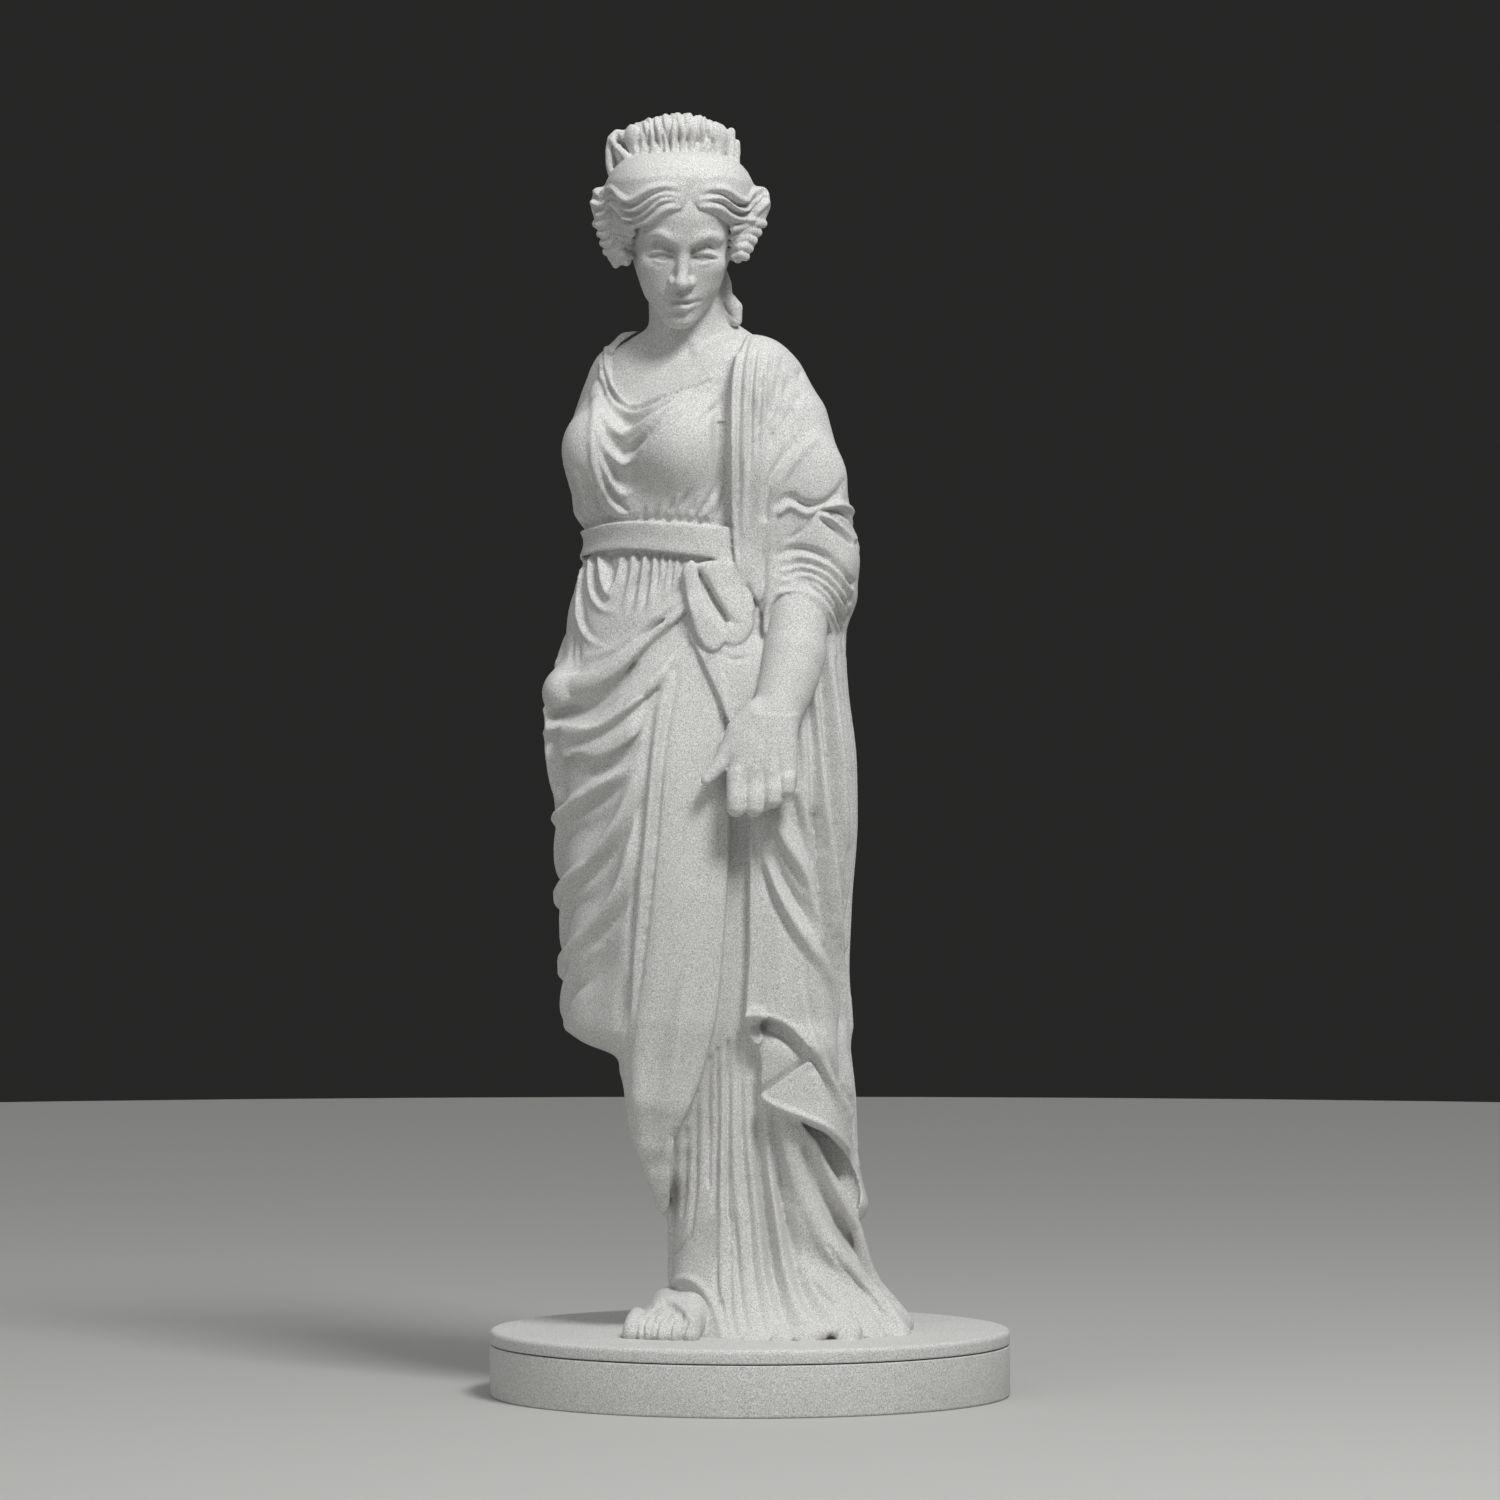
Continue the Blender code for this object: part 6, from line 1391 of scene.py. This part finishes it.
def face_lines(clay):
    """The nostrils, the mouth's lines, the eyelids and the eyebrows."""
    def line(points, width, height):
        clay.stroke(clay.settle(in_head(points)), width, height)

    for side in (-1, 1):
        clay.put(posed(ball((side * 1.1, -16.4, -9.0), (0.6, 1.0, 0.5)), HEAD, NOD), 0.3, True)
    # mouth
    line([(-4.2, -12.8, -12.7), (-2, -14.6, -12.8), (0, -15.0, -13.1), (2, -14.6, -12.8),
          (4.2, -12.8, -12.7)], 0.9, (-0.4, -1.0, -0.4))
    line([(0, -15.6, -9.6), (0, -15.2, -10.9)], 1.2, (-0.1, -0.4, -0.1))
    line([(-2.6, -13.2, -15.8), (0, -13.6, -16.2), (2.6, -13.2, -15.8)], 1.9, (-0.1, -0.6, -0.1))
    for side in (-1, 1):
        # lid crease, upper lid, the opening and the lower lid
        line([(side * 2.3, -13.4, 0.2), (side * 3.6, -14, 1.5), (side * 5.1, -14.1, 1.9),
              (side * 6.8, -13.4, 1.4), (side * 8.4, -12.2, -0.2)], 0.8, (-0.2, -0.8, -0.3))
        line([(side * 1.9, -13.2, -1.5), (side * 3.4, -14.0, -0.4), (side * 5.1, -14.2, 0),
              (side * 6.7, -13.6, -0.4), (side * 8.4, -12.4, -1.6)], 0.75, (0.3, 0.55, 0.4))
        line([(side * 1.9, -13.2, -2.0), (side * 3.4, -13.9, -1.3), (side * 5.1, -14.1, -1.1),
              (side * 6.6, -13.6, -1.3), (side * 8.2, -12.5, -2.1)], 0.7, (-0.4, -1.0, -0.5))
        line([(side * 2.4, -13.2, -2.5), (side * 3.7, -13.7, -3.0), (side * 5.1, -13.8, -3.2),
              (side * 6.6, -13.2, -3.0), (side * 8.0, -12.2, -2.4)], 0.75, (0.2, 0.4, 0.2))
        # eyebrow
        line([(side * 2.4, -14.4, 3.1), (side * 4.2, -14.6, 4.2), (side * 6.6, -13.8, 4.4),
              (side * 9.4, -11.6, 2.8)], 1.3, (0.05, 0.4, 0.05))


def chest(clay, form):
    """The bare skin from the neck down to where the robe covers it."""
    clay.put(form)
    clay.put(ball((-29.4, 8, 253.8), (7.4, 7.8, 7.8)), 6)
    clay.put(limb([(-19, 5, 263), (-26, 4.4, 262), (-32, 5, 258.4)], (3.6, 3.3, 3.4)), 2)
    clay.put(ball((-1.5, -3, 251.5), (10, 9.6, 10)), 5)
    clay.put(ball((-36.2, -4.5, 235.4), (8.4, 8.2, 9.6)), 6)
    clay.put(ball((-16.5, -12.4, 236.5), (10, 8.6, 10)), 6)


def chest_details(clay):
    """Collar bones, the pit of the throat and the neck muscles."""
    clay.front([(-18.2, 259.6), (-23, 260.6), (-29.5, 262.4)], 1.7, (0.3, 0.45, 0.1))
    clay.front([(-12.6, 260), (-8, 261.8), (-3, 264)], 1.7, (0.3, 0.45, 0.1))
    clay.front([(-15.4, 261.6), (-15.4, 259.0)], 2.2, (-0.1, -0.5, -0.3))
    clay.front([(-13.8, 261), (-10.8, 266.5), (-8.6, 272)], 2.0, (0.5, 0.35, 0.1))
    clay.front([(-17.0, 261), (-20.5, 266.5), (-23, 272)], 2.0, (0.5, 0.35, 0.1))


# ---- the hair ---------------------------------------------------------------------
# the opening that the hair leaves for the face
FACE = [(-15, 297.2), (-18.5, 295.9), (-21, 294.7), (-23.5, 293.2), (-26, 292.3), (-28.5, 291.8),
        (-29.4, 289), (-29.2, 285), (-28.6, 281), (-28.4, 262), (-5, 262), (-5.4, 281), (-5, 285),
        (-4.7, 289), (-5, 292), (-6.5, 293.4), (-8.5, 294.8), (-11, 295.9), (-13.8, 296.8)]

# the bold waves from the parting out over the ears: crests and the creases between them
WAVE_CRESTS = (
    [(-18.6, 301.5), (-22, 301.9), (-25, 301.1), (-27.4, 299.6), (-29.4, 298.4), (-31, 298.4),
     (-33, 299.9), (-34.6, 301.3), (-36.4, 300.6)],
    [(-17.8, 299.4), (-21, 300), (-23.6, 299.5), (-25.6, 298.1), (-28, 296.4), (-30, 296), (-32, 296.9),
     (-33.7, 299), (-34.8, 299.6), (-36.1, 298.3), (-37.6, 297.1), (-39.4, 297.9)],
    [(-17.2, 297.8), (-20, 298.5), (-22.5, 298.1), (-24.5, 296.5), (-27, 294.7), (-29.7, 294.1),
     (-31.8, 295), (-33.8, 297), (-35, 297.5), (-36.4, 295.6), (-38, 294.6)],
    [(-16.4, 296.9), (-19.5, 296.8), (-22, 295.8), (-24.3, 294.1), (-26.6, 293), (-29.2, 292.7),
     (-31.4, 293.6), (-33.8, 295.2)],
    [(-12.2, 300.7), (-9, 301.3), (-6, 300.9), (-3.8, 299.4), (-2, 298.3), (-0.6, 298.5), (0.8, 299.8),
     (2.4, 300.9)],
    [(-12.4, 298.5), (-9, 299), (-6.5, 298.7), (-4.5, 297.1), (-2.5, 296), (-0.4, 296.2), (1.3, 297.8),
     (3.4, 299.9)],
    [(-13, 297.1), (-9.6, 297), (-7, 296.2), (-4.9, 294.6), (-2.6, 293.9), (0, 294.4), (2.2, 296.1),
     (4.4, 298)],
)
WAVE_CREASES = (
    [(-18, 300.3), (-21, 300.8), (-24, 300.1), (-26.5, 298.6), (-28.5, 297.3), (-30.5, 297.1),
     (-32.5, 298.1), (-34, 300.1), (-34.8, 300.4), (-36.3, 299.1), (-38, 298.3), (-39.6, 299.6)],
    [(-17.5, 298.5), (-20, 299.2), (-22.5, 298.9), (-24.5, 297.5), (-27, 295.7), (-29.5, 295),
     (-31.5, 295.7), (-33.3, 297.8), (-34.8, 298.8), (-36, 297.3), (-37.3, 295.8), (-39.2, 296.2)],
    [(-17, 297.2), (-20, 297.8), (-22.5, 297.2), (-24.5, 295.5), (-27, 293.8), (-30, 293.3), (-32, 294.3),
     (-34.3, 296.3), (-35.4, 295.8)],
    [(-12, 299.5), (-9, 300.1), (-6.5, 299.8), (-4.5, 298.3), (-2.5, 297.1), (-0.5, 297.1), (1, 298.5),
     (3, 300.2), (4, 300.8)],
    [(-12.5, 297.7), (-9, 298), (-6.5, 297.5), (-4.5, 295.9), (-2.5, 295), (-0.3, 295.3), (1.5, 297),
     (3.8, 299.3)],
)

# the curls below them, over the ears
CURLS = (
    [(-39.6, 293.2), (-37.4, 292), (-35.8, 292.4), (-34.3, 293.6), (-32.5, 293), (-30.8, 292.2),
     (-29.2, 292)],
    [(-38.4, 290.6), (-36.4, 289.7), (-35, 290.2), (-33.6, 291.5), (-31.9, 291.2), (-29.4, 290.2)],
    [(-37.6, 288.3), (-35.7, 287.4), (-34.4, 287.9), (-33, 289.3), (-31.2, 289.3), (-29.3, 288.4)],
    [(-36.8, 286), (-34.9, 285.3), (-33.6, 285.9), (-32.2, 287.2), (-30.4, 287.1), (-29.3, 286.6)],
    [(-34.2, 284.2), (-33.2, 283.8), (-31.8, 285), (-30, 284.4)],
    [(5, 293.5), (3.2, 292.6), (1.3, 292.8), (-0.3, 292.9), (-2, 291.9), (-4.2, 291.4)],
    [(3.8, 291.3), (1.9, 290.4), (0.6, 291), (-1.1, 291), (-3, 290), (-4.6, 289.5)],
    [(2.6, 289.2), (0.8, 288.4), (-0.6, 289.1), (-2.2, 289), (-4.5, 287.8)],
    [(1.4, 287), (-0.2, 286.3), (-1.4, 287), (-2.8, 286.9), (-4.5, 285.9)],
    [(0, 285), (-1.2, 284.4), (-2.4, 285), (-4, 284.2)],
)


def hair_masses(clay):
    """The dome, the puffs over the ears and what is pinned up, without strands."""
    clay.put(loft([
        (309.5, -17.6, -3, 7, 8, 0),
        (309.1, -17.6, -3.4, 11, 12.4, 0),
        (308.1, -17.6, -3.8, 13.8, 15.6, 0),
        (306.7, -17.6, -4, 15.6, 17.6, 0),
        (304.4, -17.6, -4.3, 17.4, 19.6, 0),
        (301.5, -17.6, -4.4, 18.5, 20.9, 0),
        (297, -17.6, -4.2, 18.4, 21, 0),
        (291, -17.4, -3, 17, 19.4, 0),
        (285, -17, 0, 14.2, 15, 0),
    ], 2.1))
    clay.put(ball((-17, 7, 292), (15.4, 16, 12)), 3)
    # the puffs over the ears, and their upper corners
    clay.put(limb([(-34.4, -6, 296.4), (-33.9, -6.4, 291), (-32.8, -7, 286.8), (-32, -7, 284)],
                  (5.2, 4.1, 3.2, 2.3)), 1.2)
    clay.put(limb([(0.4, -6, 296.8), (-0.6, -6.4, 291.6), (-2.2, -7, 287.4), (-3.6, -7, 284.8)],
                  (4.7, 3.6, 2.8, 1.9)), 1.2)
    clay.put(ball((-38, -5.5, 299.6), (1.6, 2.6, 1.6)), 1.4)
    clay.put(ball((3, -5.5, 299.6), (1.6, 2.6, 1.6)), 1.4)
    # the chignon behind, and the roll of hair along the nape
    clay.put(ball((-17, 21, 288), (9.5, 7.5, 8.5)), 1)
    clay.put(limb([(-26.5, 5, 286.5), (-22.5, 11, 284), (-17, 13, 283.2), (-11.5, 11, 284),
                   (-7.5, 5, 286.5)],
                  (3, 3.6, 3.8, 3.6, 3)), 2)
    clay.opening(FACE, -45, -8.5, 0.5)
    side_locks(clay)
    crest(clay)
    nape_lock(clay)


def hair_waves(clay):
    """The parting, the waves that run from it and a faint combing over the dome."""
    clay.front([(-15, 296.6), (-14.8, 299), (-14, 302), (-13.4, 305)], 2.4, (-1.2, -0.9, -0.2), True)
    clay.lines(1.4, 1.2, WAVE_CRESTS, ends=(0.1, 0.6))
    clay.lines(0.9, -1.8, WAVE_CREASES, ends=(0.2, 0.7))
    clay.lines(1.6, -0.35, (
        [(-17, 303.6), (-21, 303.8), (-25.5, 302.9), (-29.4, 301.4)],
        [(-16.4, 305.6), (-21, 306), (-26.6, 304.6)],
        [(-11, 302.6), (-8, 303.3), (-4.6, 302.9), (-1.8, 301.8)],
        [(-11.4, 305), (-8, 305.8), (-3.6, 304.4)],
        [(-10.6, 300.5), (-8.6, 301), (-6.6, 301.3)],
    ), soft=True)


def side_locks(clay):
    """Smooth curled ends beside the jaw."""
    clay.put(limb([(-33.2, -8, 288), (-31.8, -9, 284.8), (-30.8, -9.2, 282.6)], (2.4, 2.2, 1.3)), 0.8)
    clay.put(limb([(-35, -6.6, 287.4), (-34, -7, 283.8), (-33.4, -7, 281.8)], (2, 1.5, 0.9)), 0.6)
    clay.put(limb([(-3.2, -8.6, 289), (-2.3, -9.2, 285.4), (-3, -9.2, 283.2)], (2.8, 2.1, 1.2)), 0.8)
    clay.put(limb([(0, -7.6, 288.4), (-0.8, -8.2, 285.6), (-1.4, -8.4, 284.2)], (2, 1.4, 0.9)), 0.6)


def hair_behind(clay):
    """Combed strands round the back of the head, and the coil of the chignon."""
    centre = (-17, 3)
    for i in range(26):
        angle = 64 + i * (232 / 25)
        bend = 14 * np.sin(np.radians(angle))
        points = [(angle, 308.5), (angle + bend * 0.3, 302), (angle + bend, 295), (angle + bend * 1.6, 288),
                  (angle + bend * 1.7, 284)]
        clay.round_about(points, centre, 1.2, (-0.3, -0.9, -0.5))
    for turn in range(2):
        path = []
        for step in range(0, 400, 20):
            a = np.radians(step + 180 * turn)
            r = 2.0 + step * 0.0165
            path.append((-17 + r * np.cos(a), 34, 288 + r * 0.9 * np.sin(a)))
        coil = clay.first_hit(np.array(path), np.tile([0.0, -1.0, 0.0], (len(path), 1)), 24,
                              lambda lost: np.array(path)[lost] - [0, 8, 0])
        clay.stroke(clay.settle(smooth_path(coil, 0.7)), 1.2, (-0.6, -1.1, -0.5))


def crest(clay):
    """The hair gathered in a ridge on top, with its ribbons and its loop."""
    clay.put(limb([(-27.6, -5, 313.8), (-22.8, -6.6, 314.9), (-17.4, -7.2, 315.4), (-11.8, -6.6, 314.8),
                   (-9, -5, 313.9)], (3.9, 4.3, 4.6, 4.3, 3.7)), 0.5)
    clay.put(limb([(-27.6, -2, 311), (-17.6, -1, 311.6), (-7.6, -2, 311)], (3.4, 4.4, 3)), 1)
    clay.put(limb([(-26.8, -5.4, 310.4), (-17.6, -7.4, 311), (-9.4, -5.4, 310.4)], (3.4, 3.9, 3.2)), 1.2)
    clay.put(limb([(-27, 3, 311), (-17.6, 4, 312), (-10, 3, 311)], (4, 4.6, 4)), 2)
    # two ribbons to the viewer's right of the crest
    clay.put(limb([(-4.9, -5, 308.6), (-4.7, -5, 315.1)], (1.2, 1.05)), 0.3)
    clay.put(limb([(-3.5, -4.2, 306.6), (-3.45, -4.2, 312.3)], (1.3, 1.0)), 0.3)
    # the loop of hair on the other side
    clay.put(limb([(-31.4, -4.6, 314), (-33.1, -4.8, 314.5), (-34.6, -4.8, 313.4), (-35.2, -4.6, 310.6),
                   (-35.1, -4.4, 307.4), (-34.4, -4, 304.6)], (1.6, 1.25, 1.0, 0.9, 0.95, 1.2)), 0.3)
    clay.put(limb([(-34.2, -6, 312.9), (-32.8, -6.3, 311), (-31.2, -6.8, 309.2), (-29.8, -7.2, 308)],
                  (0.9, 0.95, 1.05, 1.0)), 0.3)
    clay.put(ball((-32.4, -1, 309.6), (2.2, 2.4, 4.6)), 0.5)


def curls(clay):
    """Small rolls of hair over the puffs."""
    for points in CURLS:
        clay.roll(points, (0.95, 1.2, 1.0), 0.0, 0.05)


def crest_strands(clay):
    """Strands over the crest, each a little out of line with the next, and the creases of the loose ends."""
    for i in range(27):
        x = -30.4 + i * 0.94 + 0.24 * np.sin(i * 2.7)
        lean = (i / 13 - 1) * 1.2 + 0.45 * np.sin(i * 1.9)
        deep = 0.75 + 0.3 * np.sin(i * 4.1 + 1)
        path = []
        for angle in range(-36 + (i * 7) % 18, 190, 8):
            a = np.radians(angle)
            sway = 0.3 * np.sin(a * 3 + i * 1.7)
            path.append((x + lean * (np.sin(a) - 0.5) + sway, -6 - 8 * np.cos(a), 314 + 8 * np.sin(a)))
        clay.stroke(clay.settle(np.array(path)), 0.66 + 0.12 * np.sin(i * 3.3),
                    (-deep, -deep * 0.6, -deep * 0.4))
    clay.lines(0.6, -0.7, ([(-33.6, 315.4), (-32.6, 313.6), (-31.8, 311.6)],
                           [(-7.6, 276.4), (-7, 273.2), (-5.6, 270.7), (-3.6, 268.8)]))


def nape_lock(clay):
    """The lock that falls beside the neck."""
    clay.put(limb([(-7, 3, 281), (-6.4, 2, 277.8), (-5.9, 1.5, 275)], (1.2, 1.75, 1.5)), 0.5)
    clay.put(limb([(-5, 1.2, 273.6), (-3.8, 1, 271.6), (-3.4, 1, 268.4)], (1.6, 1.95, 1.4)), 0.3)
    clay.put(limb([(-8, 3, 279), (-7, 2.4, 274), (-5, 2.6, 269)], (2, 2, 2)), 1)


def head(step, form):
    """The head on its neck and chest; the hair is worked on its own and then laid on."""
    clay = Clay((-44, -36, HEAD_BOTTOM), (12, 36, 323), step)
    head_forms(clay)
    chest(clay, form)
    clay.hold()
    face_lines(clay)
    chest_details(clay)
    shift = int((HAIR_BOTTOM - HEAD_BOTTOM) / step)
    hair = Clay((-44, -36, HEAD_BOTTOM + shift * step), (12, 36, 323), step)
    hair_masses(hair)
    hair.hold()
    curls(hair)
    hair.hold()
    crest_strands(hair)
    hair_waves(hair)
    hair_behind(hair)
    part = clay.field[:, :, shift:]
    size = min(part.shape[2], hair.field.shape[2])
    part[:, :, :size] = smooth_min(part[:, :, :size], hair.field[:, :, :size], 0.25)
    return clay


# ---- facets and joining -----------------------------------------------------
def thinned(name, clay, facets):
    """The clay's skin as an object with about that many triangles."""
    points, quads = surface(clay)
    made = mesh_object(name, points, quads)
    cut = made.modifiers.new("thin", "DECIMATE")
    cut.ratio = min(1, facets / (2 * len(quads)))
    cut.use_collapse_triangulate = True
    return applied(made)


def joined(made, other):
    """Two overlapping bodies as one; the second object goes."""
    union = made.modifiers.new("union", "BOOLEAN")
    union.operation = "UNION"
    union.solver = "MANIFOLD"
    union.object = other
    made = applied(made)
    bpy.data.objects.remove(other)
    return made


def one_shell(made):
    """Closes the pockets that the union sealed inside, by removing their walls."""
    shape = bmesh.new()
    shape.from_mesh(made.data)
    groups = []
    waiting = set(shape.verts)
    while waiting:
        group = [waiting.pop()]
        for vertex in group:
            for edge in vertex.link_edges:
                other = edge.other_vert(vertex)
                if other in waiting:
                    waiting.remove(other)
                    group.append(other)
        groups.append(group)
    groups.sort(key=len)
    for group in groups[:-1]:
        bmesh.ops.delete(shape, geom=group, context="VERTS")
    shape.to_mesh(made.data)
    shape.free()


def turned_disc(name, bottom, top, radius, rounding_below, rounding_above):
    """A round slab between two heights, its rims rounded by those radii, with flat margins inside them."""
    profile = [(0, bottom), (radius - rounding_below - RIM_MARGIN, bottom)]
    for i in range(RIM_STEPS + 1):
        angle = i / RIM_STEPS * math.pi / 2
        profile.append((radius - rounding_below * (1 - math.sin(angle)),
                        bottom + rounding_below * (1 - math.cos(angle))))
    for i in range(RIM_STEPS + 1):
        angle = i / RIM_STEPS * math.pi / 2
        profile.append((radius - rounding_above * (1 - math.cos(angle)),
                        top - rounding_above * (1 - math.sin(angle))))
    profile += [(radius - rounding_above - RIM_MARGIN, top), (0, top)]
    mesh = bpy.data.meshes.new(name)
    made = bpy.data.objects.new(name, mesh)
    bpy.context.scene.collection.objects.link(made)
    shape = bmesh.new()
    low_pole = shape.verts.new((0, 0, profile[0][1]))
    high_pole = shape.verts.new((0, 0, profile[-1][1]))
    rings = []
    for r, z in profile[1:-1]:
        ring = []
        for i in range(PLINTH_SIDES):
            angle = 2 * math.pi * i / PLINTH_SIDES
            ring.append(shape.verts.new((r * math.cos(angle), r * math.sin(angle), z)))
        rings.append(ring)
    for i in range(PLINTH_SIDES):
        j = (i + 1) % PLINTH_SIDES
        shape.faces.new((low_pole, rings[0][j], rings[0][i]))
        shape.faces.new((high_pole, rings[-1][i], rings[-1][j]))
        for lower, upper in zip(rings[:-1], rings[1:]):
            shape.faces.new((lower[i], lower[j], upper[j], upper[i]))
    shape.to_mesh(mesh)
    shape.free()
    return made


def sharp_where_it_stands(made, height):
    """Marks the line where the figure meets the disc's flat top as sharp, so the flat top shades flat."""
    mesh = made.data
    mesh.shade_smooth()
    shape = bmesh.new()
    shape.from_mesh(mesh)
    for edge in shape.edges:
        level = all(abs(vertex.co.z - height) < LEVEL_TOLERANCE for vertex in edge.verts)
        if len(edge.link_faces) == 2 and level:
            flat = [face.normal.z > LEVEL_NORMAL for face in edge.link_faces]
            edge.smooth = flat[0] == flat[1]
    shape.to_mesh(mesh)
    shape.free()


# ---- the finish ---------------------------------------------------------------
def cast_stone():
    """Pale warm grey cast resin: matte, with a fine sandy grain, dark speckles and faint clouding."""
    material = bpy.data.materials.new("cast_stone_resin")
    material.use_nodes = True
    nodes, links = material.node_tree.nodes, material.node_tree.links
    shader = nodes["Principled BSDF"]
    place = nodes.new("ShaderNodeTexCoord")

    def noise(scale, detail):
        made = nodes.new("ShaderNodeTexNoise")
        made.inputs["Scale"].default_value = scale
        made.inputs["Detail"].default_value = detail
        made.inputs["Roughness"].default_value = 0.5
        links.new(place.outputs["Object"], made.inputs["Vector"])
        return made

    def ramp(source, stops):
        made = nodes.new("ShaderNodeValToRGB")
        links.new(source, made.inputs["Fac"])
        band = made.color_ramp
        while len(band.elements) < len(stops):
            band.elements.new(0.5)
        for element, (place_on, colour) in zip(band.elements, stops):
            element.position = place_on
            element.color = (*colour, 1)
        return made.outputs["Color"]

    grain = noise(GRAIN_SCALE, 1.0)
    cloud = noise(CLOUD_SCALE, 3.0)
    tone = ramp(grain.outputs["Fac"], GRAIN_COLOURS)
    wash = ramp(cloud.outputs["Fac"], CLOUD_COLOURS)
    mix = nodes.new("ShaderNodeMix")
    mix.data_type = "RGBA"
    mix.blend_type = "MULTIPLY"
    mix.inputs["Factor"].default_value = 1
    links.new(tone, mix.inputs["A"])
    links.new(wash, mix.inputs["B"])
    links.new(mix.outputs["Result"], shader.inputs["Base Color"])
    bump = nodes.new("ShaderNodeBump")
    bump.inputs["Strength"].default_value = 0.5
    bump.inputs["Distance"].default_value = GRAIN_DEPTH
    links.new(grain.outputs["Fac"], bump.inputs["Height"])
    links.new(bump.outputs["Normal"], shader.inputs["Normal"])
    shader.inputs["Roughness"].default_value = STONE_ROUGHNESS
    shader.inputs["Specular IOR Level"].default_value = STONE_SPECULAR
    return material


# ---- the statue -----------------------------------------------------------------
drum_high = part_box("plinth_drum")[1]
plinth_radius = drum_high.x

finish = cast_stone()

figure = thinned("figure_skin", robe(ROBE_STEP), ROBE_FACETS)
for other in (
    thinned("head", head(HEAD_STEP, torso_form(1.6)), HEAD_FACETS),
    thinned("forearm", forearm(ARM_STEP), ARM_FACETS),
    thinned("foot", foot(FOOT_STEP), FOOT_FACETS),
    turned_disc("disc", drum_high.z + JOINT_GAP, PLINTH_TOP, plinth_radius, JOINT_ROUNDING, RIM_ROUNDING),
):
    figure = joined(figure, other)
one_shell(figure)
sharp_where_it_stands(figure, PLINTH_TOP)

drum = turned_disc("drum_skin", 0.0, drum_high.z, plinth_radius, FOOT_ROUNDING, JOINT_ROUNDING)
drum.data.shade_smooth()

for piece, node in ((figure, "figure_with_base_disc"), (drum, "plinth_drum")):
    piece.data.materials.clear()
    piece.data.materials.append(finish)
    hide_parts(node)
    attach(piece, "root")


# ---- floor, light and camera ------------------------------------------------------
def plain(name, colour):
    """A plain matte material."""
    material = bpy.data.materials.new(name)
    material.use_nodes = True
    shader = material.node_tree.nodes["Principled BSDF"]
    shader.inputs["Base Color"].default_value = (*colour, 1)
    shader.inputs["Roughness"].default_value = 0.9
    return material


def softbox(name, place, power, size, aim):
    """A square soft light that faces a point."""
    light = bpy.data.lights.new(name, "AREA")
    light.energy = power
    light.size = size
    made = bpy.data.objects.new(name, light)
    bpy.context.scene.collection.objects.link(made)
    made.location = place
    made.rotation_euler = (Vector(aim) - Vector(place)).to_track_quat("-Z", "Y").to_euler()


def studio_dome(dark, bright):
    """A sky that is dark round the horizon and bright overhead and in front, like a big diffuser."""
    world = bpy.data.worlds.new("studio")
    bpy.context.scene.world = world
    world.use_nodes = True
    nodes, links = world.node_tree.nodes, world.node_tree.links
    place = nodes.new("ShaderNodeTexCoord")
    parts = nodes.new("ShaderNodeSeparateXYZ")
    links.new(place.outputs["Generated"], parts.inputs["Vector"])
    # it brightens between these two heights of the sky, and from the back round to the front
    lift = nodes.new("ShaderNodeMapRange")
    lift.interpolation_type = "SMOOTHSTEP"
    lift.inputs["From Min"].default_value = 0.3
    lift.inputs["From Max"].default_value = 0.75
    links.new(parts.outputs["Z"], lift.inputs["Value"])
    facing = nodes.new("ShaderNodeMapRange")
    facing.inputs["From Min"].default_value = 0.8
    facing.inputs["From Max"].default_value = -0.8
    facing.inputs["To Min"].default_value = 0.35
    links.new(parts.outputs["Y"], facing.inputs["Value"])
    amount = nodes.new("ShaderNodeMath")
    amount.operation = "MULTIPLY"
    links.new(lift.outputs["Result"], amount.inputs[0])
    links.new(facing.outputs["Result"], amount.inputs[1])
    strength = nodes.new("ShaderNodeMapRange")
    strength.inputs["To Min"].default_value = dark
    strength.inputs["To Max"].default_value = bright
    links.new(amount.outputs["Value"], strength.inputs["Value"])
    background = nodes["Background"]
    background.inputs["Color"].default_value = (1, 1, 0.98, 1)
    links.new(strength.outputs["Result"], background.inputs["Strength"])


bpy.ops.mesh.primitive_circle_add(vertices=96, radius=FLOOR_RADIUS, fill_type="NGON", location=(0, 0.3, 0))
floor = bpy.context.object
floor.name = "floor"
floor.data.materials.append(plain("floor", FLOOR_COLOUR))

studio_dome(DOME_DARK, DOME_BRIGHT)
softbox("key", KEY_PLACE, KEY_POWER, KEY_SIZE, KEY_AIM)
softbox("fill", FILL_PLACE, FILL_POWER, FILL_SIZE, FILL_AIM)

camera = bpy.data.cameras.new("camera")
camera.lens = LENS_MM
camera.sensor_width = SENSOR_MM
camera.clip_end = FARTHEST_SEEN
eye = bpy.data.objects.new("camera", camera)
bpy.context.scene.collection.objects.link(eye)
eye.location = (0, -EYE_DISTANCE * MM, EYE_HEIGHT * MM)
eye.rotation_euler = (math.pi / 2, 0, 0)
bpy.context.scene.camera = eye
bpy.context.scene.view_settings.view_transform = "Standard"
